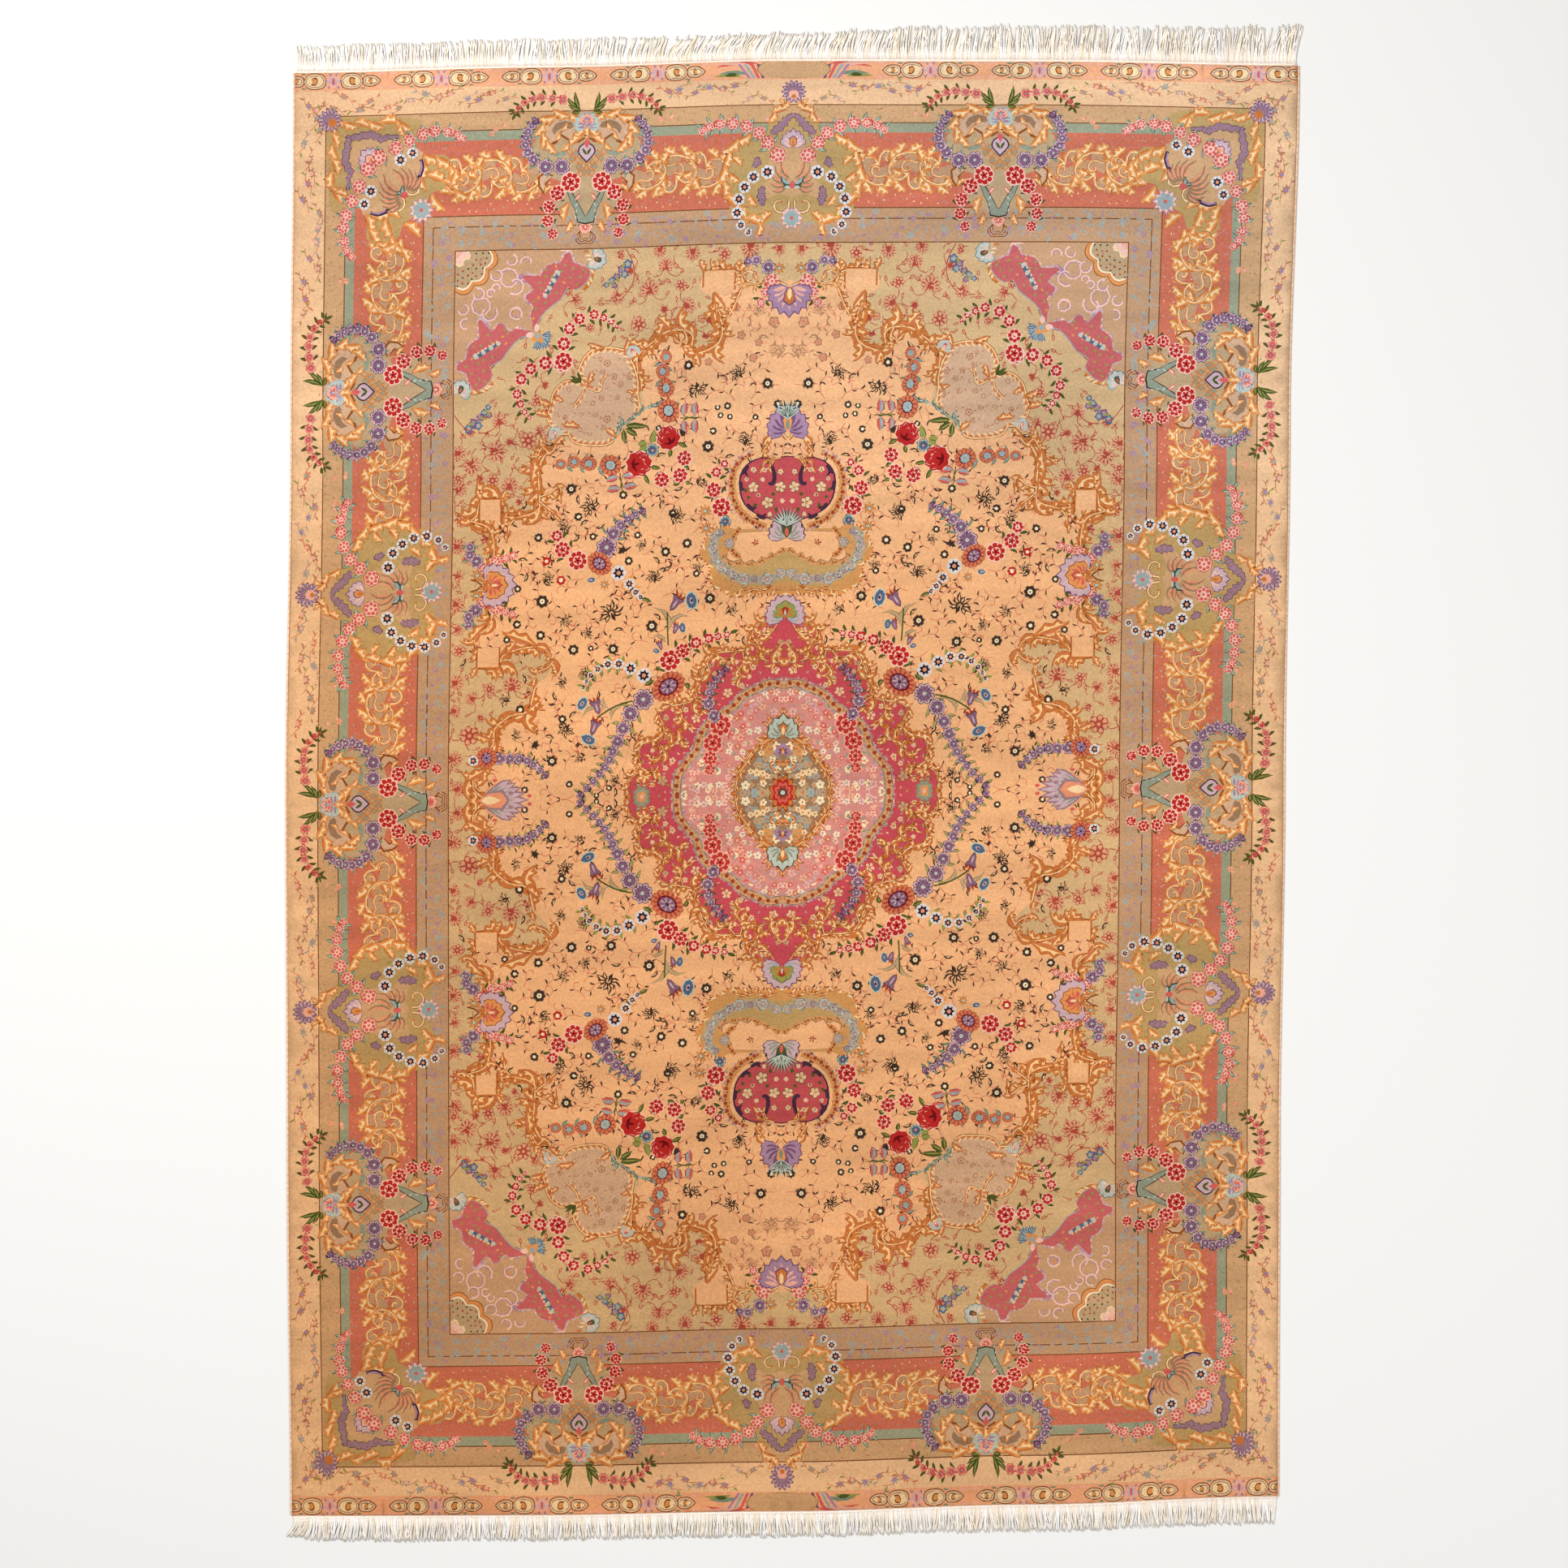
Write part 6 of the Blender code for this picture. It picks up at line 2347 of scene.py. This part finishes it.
def rim_edges(faces):
    """The edges that only one triangle has, in its own direction, and which triangle that is."""
    edges = np.concatenate([faces[:, [0, 1]], faces[:, [1, 2]], faces[:, [2, 0]]])
    owner = np.tile(np.arange(len(faces)), 3)
    _, first, count = np.unique(np.sort(edges, axis=1), axis=0, return_index=True, return_counts=True)
    single = first[count == 1]
    return edges[single], owner[single]


def new_object(name, places, faces, material):
    """A mesh object from points and triangles."""
    mesh = bpy.data.meshes.new(name)
    mesh.vertices.add(len(places))
    mesh.vertices.foreach_set("co", np.asarray(places, np.float32).ravel())
    mesh.loops.add(3 * len(faces))
    mesh.loops.foreach_set("vertex_index", np.asarray(faces, np.int32).ravel())
    mesh.polygons.add(len(faces))
    mesh.polygons.foreach_set("loop_start", np.arange(0, 3 * len(faces), 3, dtype=np.int32))
    mesh.update(calc_edges=True)
    mesh.validate()
    mesh.materials.append(material)
    item = bpy.data.objects.new(name, mesh)
    bpy.context.scene.collection.objects.link(item)
    return item


def paint(item, name, values):
    """Colour each corner of a mesh of triangles from one value for each face."""
    mesh = item.data
    layer = mesh.attributes.new(name, "FLOAT_COLOR", "CORNER")
    colours = np.ones((len(mesh.loops), 4), np.float32)
    colours[:, :3] = np.repeat(values, 3, axis=0)
    layer.data.foreach_set("color", colours.ravel())


def smooth(item, count):
    """Smooth shading for the first faces of a mesh, and flat for the rest."""
    flags = np.arange(len(item.data.polygons)) < count
    item.data.polygons.foreach_set("use_smooth", flags)


def on_rim(points):
    """Whether points lie on the rug's sides, and whether they lie on its ends."""
    gaps = np.abs(np.abs(points) - EDGE) < AT_RIM
    return gaps[..., 0], gaps[..., 1]


def rug_piece(name, points, faces, tones, material, top, bottom, closed):
    """A piece of the rug: the chart's triangles on top, walls round the rim, and a back if closed."""
    points, faces, kept = welded(points, faces)
    tones = tones[kept]
    x, y = patterned(points[:, 0], points[:, 1])
    edges, owners = rim_edges(faces)
    height = np.full(len(x), top)
    if not closed:
        at_side, at_end = on_rim(points)
        height += wave(x, y)
        height[at_side | at_end] -= RIM_DROP
        sides, ends = on_rim(points[edges])
        outer = sides.all(axis=1) | ends.all(axis=1)
        edges, owners = edges[outer], owners[outer]
    count = len(points)
    rim, numbers = (np.arange(count), edges) if closed else np.unique(edges, return_inverse=True)
    numbers = numbers.reshape(-1, 2) + count
    upper = np.column_stack([x, y, height])
    lower = np.column_stack([x[rim], y[rim], np.full(len(rim), bottom)])
    walls = np.column_stack([edges[:, 1], edges[:, 0], numbers])
    backs = faces[:, ::-1] + count if closed else faces[:0]
    flat_faces = np.concatenate([faces, backs])
    everything = np.concatenate([flat_faces, walls[:, [0, 1, 2]], walls[:, [0, 2, 3]]])
    item = new_object(name, np.concatenate([upper, lower]), everything, material)
    all_tones = np.concatenate([tones, tones[:len(backs)], tones[owners], tones[owners]])
    paint(item, "tone", TONE_VALUES[all_tones])
    plan_map(item)
    smooth(item, len(flat_faces))
    return item


def plan_map(item):
    """A map straight down on the piece, its walls spread outward into the map's margin."""
    mesh = item.data
    places = np.zeros(len(mesh.vertices) * 3)
    mesh.vertices.foreach_get("co", places)
    places = places.reshape(-1, 3)
    low, high = places[:, :2].min(axis=0), places[:, :2].max(axis=0)
    middle, half = (low + high) / 2.0, (high - low).max() / 2.0
    deep = np.clip((RUG_TOP - places[:, 2]) / RUG_TOP, 0.0, 1.0)[:, None]
    spread = (places[:, :2] - middle) / half * (1.0 + deep * UV_MARGIN * WALL_SHARE)
    flat = 0.5 + 0.5 * (1.0 - UV_MARGIN) * spread
    corners = np.zeros(len(mesh.loops), np.int32)
    mesh.loops.foreach_get("vertex_index", corners)
    layer = mesh.uv_layers.new(name="OFBake")
    layer.data.foreach_set("uv", flat[corners].astype(np.float32).ravel())


# ---------------------------------------------------------------- materials

def new_material(name, roughness, sheen):
    """A fabric material, its node tree and its shader."""
    material = bpy.data.materials.new(name)
    material.use_nodes = True
    tree = material.node_tree
    shader = tree.nodes["Principled BSDF"]
    shader.inputs["Roughness"].default_value = roughness
    shader.inputs["Sheen Weight"].default_value = sheen
    shader.inputs["Sheen Roughness"].default_value = 0.45
    shader.inputs["Specular IOR Level"].default_value = 0.05
    return material, tree, shader


def link(tree, source, output, target, entry):
    tree.links.new(source.outputs[output], target.inputs[entry])


def noise(tree, scale, detail, stretch=(1.0, 1.0, 1.0)):
    """A noise pattern in the piece's own metres."""
    place = tree.nodes.new("ShaderNodeTexCoord")
    turn = tree.nodes.new("ShaderNodeMapping")
    turn.inputs["Scale"].default_value = stretch
    pattern = tree.nodes.new("ShaderNodeTexNoise")
    pattern.inputs["Scale"].default_value = scale
    pattern.inputs["Detail"].default_value = detail
    link(tree, place, "Object", turn, "Vector")
    link(tree, turn, "Vector", pattern, "Vector")
    return pattern


def remapped(tree, source, output, low, high, to_low, to_high):
    """A value carried from one range to another."""
    node = tree.nodes.new("ShaderNodeMapRange")
    link(tree, source, output, node, "Value")
    for entry, value in (("From Min", low), ("From Max", high), ("To Min", to_low), ("To Max", to_high)):
        node.inputs[entry].default_value = value
    return node


def mottled(tree, colour, output, scale, detail, stretch, darkest, lightest):
    """A colour made lighter and darker by a noise pattern."""
    grain = noise(tree, scale, detail, stretch)
    amount = remapped(tree, grain, "Fac", NOISE_LOW, NOISE_HIGH, darkest, lightest)
    node = tree.nodes.new("ShaderNodeVectorMath")
    node.operation = "SCALE"
    link(tree, colour, output, node, "Vector")
    link(tree, amount, "Result", node, "Scale")
    return node


def painted_tone(tree, name):
    """The tone that a mesh's corners hold."""
    tone = tree.nodes.new("ShaderNodeAttribute")
    tone.attribute_name = name
    return tone


NOISE_LOW, NOISE_HIGH = 0.3, 0.7               # where most of a noise pattern's values lie
EVENLY = (1, 1, 1)
# How the wool varies: single knots, tufts, streaks of dye along the weft, and larger clouds.
# columns: scale, detail, stretch, spread of lightness
WOOL_GRAINS = ((900.0, 2.0, EVENLY, 0.20), (210.0, 3.0, EVENLY, 0.12),
               (9.0, 3.0, (0.35, 2.4, 1), 0.10), (2.2, 2.0, EVENLY, 0.08))
FIBRE_SCALE = 520.0
FIBRE_STRENGTH = 0.55
FIBRE_DEPTH = 0.0012
# Painted light across the rug: painted shade makes the wool darker and warmer towards the lower left, and a
# painted sheen makes it paler towards the upper right.
PAINTED_LIGHT_WAY = (0.50, 0.40, 0.0)
PAINTED_SHADE_END = (0.90, 0.80, 0.70)
PAINTED_SHEEN_END = (1.06, 1.10, 1.16)
# A painted sheen makes the top third paler still, between the two heights below, in metres up the rug.
UP_THE_RUG = (0.0, 1.0, 0.0)
TOP_SHEEN_FROM = 0.30
TOP_SHEEN_TO = 0.80
NO_TOP_SHEEN = (1.0, 1.0, 1.0)
TOP_SHEEN = (1.00, 1.07, 1.18)
# Places of the colour sockets in a Mix node's lists.
MIX_A, MIX_B, MIX_RESULT = 6, 7, 2


def painted_light_along(tree, colour, direction, low, high, start, end, ease):
    """A colour multiplied by one that goes from start to end along a direction."""
    place = tree.nodes.new("ShaderNodeTexCoord")
    along = tree.nodes.new("ShaderNodeVectorMath")
    along.operation = "DOT_PRODUCT"
    along.inputs[1].default_value = direction
    link(tree, place, "Object", along, "Vector")
    share = remapped(tree, along, "Value", low, high, 0.0, 1.0)
    share.interpolation_type = ease
    painted_light_mix = tree.nodes.new("ShaderNodeMix")
    painted_light_mix.data_type = "RGBA"
    painted_light_mix.inputs[MIX_A].default_value = (*start, 1.0)
    painted_light_mix.inputs[MIX_B].default_value = (*end, 1.0)
    link(tree, share, "Result", painted_light_mix, "Factor")
    painted_light_product = tree.nodes.new("ShaderNodeVectorMath")
    painted_light_product.operation = "MULTIPLY"
    link(tree, colour, "Vector", painted_light_product, 0)
    link(tree, painted_light_mix, MIX_RESULT, painted_light_product, 1)
    return painted_light_product


def make_wool():
    """Cut pile: the chart's tones, mottled by fibres, knots and uneven dye, with painted shade and painted
    sheen laid across the rug.
    """
    material, tree, shader = new_material("knotted_wool", 0.95, 0.04)
    colour, output = painted_tone(tree, "tone"), "Color"
    for scale, detail, stretch, spread in WOOL_GRAINS:
        colour = mottled(tree, colour, output, scale, detail, stretch, 1.0 - spread, 1.0 + spread)
        output = "Vector"
    # painted shade towards the lower left, painted sheen towards the upper right
    painted_light_product = painted_light_along(tree, colour, PAINTED_LIGHT_WAY, -1.0, 1.0, PAINTED_SHADE_END, PAINTED_SHEEN_END, "LINEAR")
    # painted sheen over the top third of the rug
    top_sheen_product = painted_light_along(tree, painted_light_product, UP_THE_RUG, TOP_SHEEN_FROM, TOP_SHEEN_TO, NO_TOP_SHEEN, TOP_SHEEN, "SMOOTHSTEP")
    link(tree, top_sheen_product, "Vector", shader, "Base Color")
    bump = tree.nodes.new("ShaderNodeBump")
    bump.inputs["Strength"].default_value = FIBRE_STRENGTH
    bump.inputs["Distance"].default_value = FIBRE_DEPTH
    link(tree, noise(tree, FIBRE_SCALE, 3.0), "Fac", bump, "Height")
    link(tree, bump, "Normal", shader, "Normal")
    return material


def make_yarn():
    """Spun yarn: a tone for each strand, lightly mottled."""
    material, tree, shader = new_material("cotton_yarn", 0.85, 0.15)
    tone = painted_tone(tree, "strand_tone")
    link(tree, mottled(tree, tone, "Color", 300.0, 2.0, EVENLY, 0.88, 1.08), "Vector", shader, "Base Color")
    return material


WOOL = make_wool()
YARN = make_yarn()


# ---------------------------------------------------------------- fringe, end bands and side cords

# The fringes, as the model has them.  columns: place across, length (m), lean to the right (deg)
FRINGE_TOP = ((-1.0, 0.050, -8.0), (-0.8, 0.052, 2.0), (-0.5, 0.054, 8.0), (-0.2, 0.056, 38.0),
              (0.0, 0.056, 30.0), (0.25, 0.066, 16.0), (0.45, 0.070, 8.0), (0.75, 0.070, 8.0),
              (1.0, 0.078, 17.0))
FRINGE_BOTTOM = ((-1.0, 0.043, -42.0), (-0.93, 0.046, -14.0), (-0.8, 0.048, 0.0), (0.0, 0.047, 2.0),
                 (0.5, 0.050, 2.0), (0.95, 0.052, 2.0), (1.0, 0.052, 8.0))
STRANDS = 960                  # warp ends in each fringe
STRAND_SIDES = 3
STRAND_STEPS = 6
STRAND_RADIUS = 0.0018
STRAND_REACH = 0.998           # how far across the end the outermost strands stand
STRAND_ROOT = 0.0022           # height of a strand where it leaves the band
STRAND_LOW, STRAND_HIGH = 0.0012, 0.0058
TIP_SHARE = 0.55               # thickness of a strand's tip against the rest
YARN_TONES = ((255, 250, 244), (255, 246, 232), (252, 238, 218), (255, 253, 250), (248, 234, 212),
              (252, 242, 236))
KILIM_WIDTH = 0.008
KILIM_THICKNESS = 0.0025
KILIM_ROWS = 6                 # rows of weft in each end band
KILIM_STEPS = 120
KILIM_SIDES = 6
SELVEDGE_RADIUS = 0.0025
SELVEDGE_GAP = 0.0003          # between the body and the cord
SELVEDGE_TURNS = 620
SELVEDGE_SIDES = 7
SELVEDGE_DIP = 0.84            # radius between two turns of yarn, against that on one
SELVEDGE_SLANT = 0.0009
CORD_TONES = ((236, 196, 160), (228, 182, 148), (240, 206, 172))


def woven_place(across, along):
    """Where one place on the true rectangle really lies."""
    x, y = woven(np.array([across]), np.array([along]))
    return float(x[0]), float(y[0])


def value_at(table, column, place):
    return float(read_table(table, column, np.array([place]))[0])


def ring_faces(rings, sides):
    """The quads of a tube's skin, each as its four corners: here, beside, beside and on, on."""
    for k in range(rings - 1):
        for j in range(sides):
            a, b = k * sides + j, k * sides + (j + 1) % sides
            yield a, b, b + sides, a + sides


def tube(route, radii, sides):
    """Rings of points along a route, and the triangles between them, ends closed."""
    places, faces = [], []
    for k, (point, radius) in enumerate(zip(route, radii)):
        ahead = route[min(k + 1, len(route) - 1)] - route[max(k - 1, 0)]
        ahead.normalize()
        across = ahead.cross(Vector((0.0, 0.0, 1.0)))
        across.normalize()
        over = across.cross(ahead)
        for j in range(sides):
            angle = 2.0 * math.pi * j / sides
            places.append(point + across * (radius * math.cos(angle)) + over * (radius * math.sin(angle)))
    for a, b, c, d in ring_faces(len(route), sides):
        faces += [(a, b, c), (a, c, d)]
    last = (len(route) - 1) * sides
    for j in range(1, sides - 1):
        faces += [(0, j + 1, j), (last, last + j, last + j + 1)]
    return places, faces


def yarn_piece(name, places, faces, values):
    """A piece of yarn from its points, triangles and the triangles' tones."""
    item = new_object(name, np.array([tuple(place) for place in places]), np.array(faces), YARN)
    paint(item, "strand_tone", np.array(values))
    smooth(item, len(faces))
    return item


def joined(name, tubes, tones):
    """Many tubes as one piece, each in its own tone."""
    places, faces, values = [], [], []
    for (more_places, more_faces), tone in zip(tubes, tones):
        start = len(places)
        places += more_places
        faces += [tuple(corner + start for corner in face) for face in more_faces]
        values += [linear(tone)] * len(more_faces)
    return yarn_piece(name, places, faces, values)


def strand_route(end, table, across, rng, wisp):
    """One warp end: straight out of the band, then bent to its lean, lying on the floor."""
    lean_more, longer = wisp
    x, y = woven_place(across, float(end))
    place = Vector((x, y + end * KILIM_WIDTH * 0.6, STRAND_ROOT))
    length = value_at(table, 1, across) * longer * rng.uniform(0.90, 1.03) + KILIM_WIDTH * 0.4
    lean = math.radians(value_at(table, 2, across) * 0.9 + lean_more + rng.uniform(-7.0, 7.0))
    bow = math.radians(rng.uniform(-10.0, 10.0))
    rise = rng.uniform(STRAND_LOW, STRAND_HIGH) - STRAND_ROOT
    route = []
    for step in range(STRAND_STEPS + 1):
        share = step / STRAND_STEPS
        route.append(place.copy())
        turn = lean * min(share * 1.9, 1.0) + bow * math.sin(share * 3.0)
        place += Vector((math.sin(turn), end * math.cos(turn), 0.0)) * (length / STRAND_STEPS)
        height = STRAND_ROOT + rise * math.sin(math.pi * min(share * 1.2 + 0.1, 1.0)) * 0.9
        place.z = max(height, STRAND_RADIUS)
    return route


def make_fringe(name, end, table, node, rng):
    """One end's warp ends, lying in uneven wisps of white and cream."""
    tubes, tones = [], []
    left = 0
    for k in range(STRANDS):
        if left == 0:
            left = rng.randint(7, 22)
            wisp = (rng.uniform(-9.0, 9.0), rng.uniform(0.93, 1.0))
        left -= 1
        across = STRAND_REACH * (2.0 * (k + 0.5) / STRANDS - 1.0)
        route = strand_route(end, table, across, rng, wisp)
        radius = STRAND_RADIUS * rng.uniform(0.75, 1.15)
        radii = [radius] * STRAND_STEPS + [radius * TIP_SHARE]
        tubes.append(tube(route, radii, STRAND_SIDES))
        tones.append(rng.choice(YARN_TONES))
    item = joined(name, tubes, tones)
    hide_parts(node)
    return item


def make_kilim(name, end, node):
    """The plain-woven band: rows of weft over the warps."""
    tubes, tones = [], []
    for row in range(KILIM_ROWS):
        out = KILIM_WIDTH * (row + 0.5) / KILIM_ROWS
        route = []
        for k in range(KILIM_STEPS + 1):
            x, y = woven_place(-1.0 + 2.0 * k / KILIM_STEPS, float(end))
            route.append(Vector((x, y + end * out, KILIM_THICKNESS / 2.0)))
        tubes.append(tube(route, [KILIM_THICKNESS / 2.0] * len(route), KILIM_SIDES))
        tones.append(YARN_TONES[row % 3])
    item = joined(name, tubes, tones)
    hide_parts(node)
    return item


def make_selvedge(name, side, node):
    """The side cord: yarn wound round it in close turns."""
    places, faces, values = [], [], []
    rings = SELVEDGE_TURNS * 2 + 1
    for k in range(rings):
        x, y = woven_place(float(side), -1.0 + k / SELVEDGE_TURNS)
        middle = Vector((x + side * (SELVEDGE_GAP + SELVEDGE_RADIUS), y, SELVEDGE_RADIUS))
        radius = SELVEDGE_RADIUS * (1.0 if k % 2 else SELVEDGE_DIP)
        for j in range(SELVEDGE_SIDES):
            out = cmath.rect(1.0, 2.0 * math.pi * j / SELVEDGE_SIDES)
            slant = SELVEDGE_SLANT * out.real
            places.append((middle.x + radius * out.real, middle.y + slant, middle.z + radius * out.imag))
    for a, b, c, d in ring_faces(rings, SELVEDGE_SIDES):
        k = a // SELVEDGE_SIDES
        tone = linear(CORD_TONES[(k // 2 * 7 + k // 34) % 3])
        faces += [(a, c, b), (a, d, c)]
        values += [tone, tone]
    last = (rings - 1) * SELVEDGE_SIDES
    for j in range(1, SELVEDGE_SIDES - 1):
        faces += [(0, j, j + 1), (last, last + j + 1, last + j)]
        values += [tone, tone]
    item = yarn_piece(name, places, faces, values)
    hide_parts(node)
    return item


# ---------------------------------------------------------------- the rug

def make_tiles(points, faces, tones):
    """The pile in six pieces: two columns of three."""
    pieces = []
    for column, side in (("right", 1), ("left", -1)):
        for row, ends in (("top", (1,)), ("bottom", (-1,)), ("middle", (1, -1))):
            beyond = row != "middle"
            quadrants = [(side, end) for end in ends]
            part = mirrored(points, faces, tones, quadrants, lambda at: (at[:, 1] > TILE_CUT) == beyond)
            pieces.append(rug_piece(f"pile_{row}_{column}", *part, WOOL, RUG_TOP, FOUNDATION, False))
    return pieces


def make_foundation(areas):
    """The woven back: the chart's largest areas showing through a thin slab."""
    coarse = [(outline, tone) for outline, tone in areas if area_of(outline) > BACK_SMALLEST]
    points, faces, tones = cut_chart(coarse, BACK_TOLERANCE, BACK_SMALLEST)
    part = mirrored(points, faces, tones, QUADRANTS, lambda at: at[:, 0] > 0.0)
    item = rug_piece("foundation", *part, WOOL, FOUNDATION, 0.0, True)
    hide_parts("pile_rug")
    return item


def make_rug():
    """All of the rug's pieces."""
    areas = draw_chart()
    foundation = make_foundation(areas)
    pieces = make_tiles(*cut_chart(areas, CHART_TOLERANCE, SMALLEST_AREA))
    rng = random.Random(5)
    pieces.append(make_fringe("fringe_strands_top", 1, FRINGE_TOP, "fringe_top", rng))
    pieces.append(make_fringe("fringe_strands_bottom", -1, FRINGE_BOTTOM, "fringe_bottom", rng))
    pieces.append(make_kilim("end_band_top", 1, "kilim_top"))
    pieces.append(make_kilim("end_band_bottom", -1, "kilim_bottom"))
    pieces.append(make_selvedge("side_cord_left", -1, "selvedge_left"))
    pieces.append(make_selvedge("side_cord_right", 1, "selvedge_right"))
    for piece in [foundation] + pieces:
        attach(piece, "root")


# ---------------------------------------------------------------- the room

FLOOR_HALF = 6.0
FLOOR_BELOW = -0.0005
FLOOR_COLOUR = (0.82, 0.81, 0.79, 1.0)
# columns: name, place, size, power
LAMPS = (("key", (-2.5, 2.0, 5.5), 2.5, 308.0), ("fill", (3.0, -2.0, 5.0), 3.5, 123.0))
WORLD_LIGHT = 0.33
CAMERA_HEIGHT = 5.0
CAMERA_RIGHT, CAMERA_UP = -0.0025, 0.0048      # where the camera stands from the rug's middle
FRAME_WIDTH = 3.149            # width of the floor that the photograph covers
SENSOR = 36.0                  # mm


def make_floor():
    """A plain pale floor."""
    paper = bpy.data.materials.new("floor_paper")
    paper.use_nodes = True
    shader = paper.node_tree.nodes["Principled BSDF"]
    shader.inputs["Base Color"].default_value = FLOOR_COLOUR
    shader.inputs["Roughness"].default_value = 0.9
    corners = [(side * FLOOR_HALF, end * FLOOR_HALF, 0) for side, end in ((-1, -1), (1, -1), (1, 1), (-1, 1))]
    item = new_object("floor", corners, [(0, 1, 2), (0, 2, 3)], paper)
    item.location.z = FLOOR_BELOW


def make_light():
    """Two large soft lamps and an even white surrounding."""
    for name, place, size, power in LAMPS:
        lamp = bpy.data.lights.new(name, "AREA")
        lamp.shape = "DISK"
        lamp.size = size
        lamp.energy = power
        light = bpy.data.objects.new(name, lamp)
        light.location = place
        light.rotation_euler = Vector(place).to_track_quat("Z", "Y").to_euler()
        bpy.context.scene.collection.objects.link(light)
    world = bpy.data.worlds.new("studio")
    world.use_nodes = True
    background = world.node_tree.nodes["Background"]
    background.inputs["Color"].default_value = (1.0, 1.0, 1.0, 1.0)
    background.inputs["Strength"].default_value = WORLD_LIGHT
    bpy.context.scene.world = world


def make_camera():
    """Straight above, as the photograph was taken."""
    data = bpy.data.cameras.new("camera")
    data.sensor_width = SENSOR
    data.lens = SENSOR * (CAMERA_HEIGHT - RUG_TOP) / FRAME_WIDTH
    camera = bpy.data.objects.new("camera", data)
    camera.location = (MIDDLE.x + CAMERA_RIGHT, MIDDLE.y + CAMERA_UP, CAMERA_HEIGHT)
    bpy.context.scene.collection.objects.link(camera)
    bpy.context.scene.camera = camera


make_camera()
make_rug()
make_floor()
make_light()
bpy.context.scene.view_settings.view_transform = "Standard"
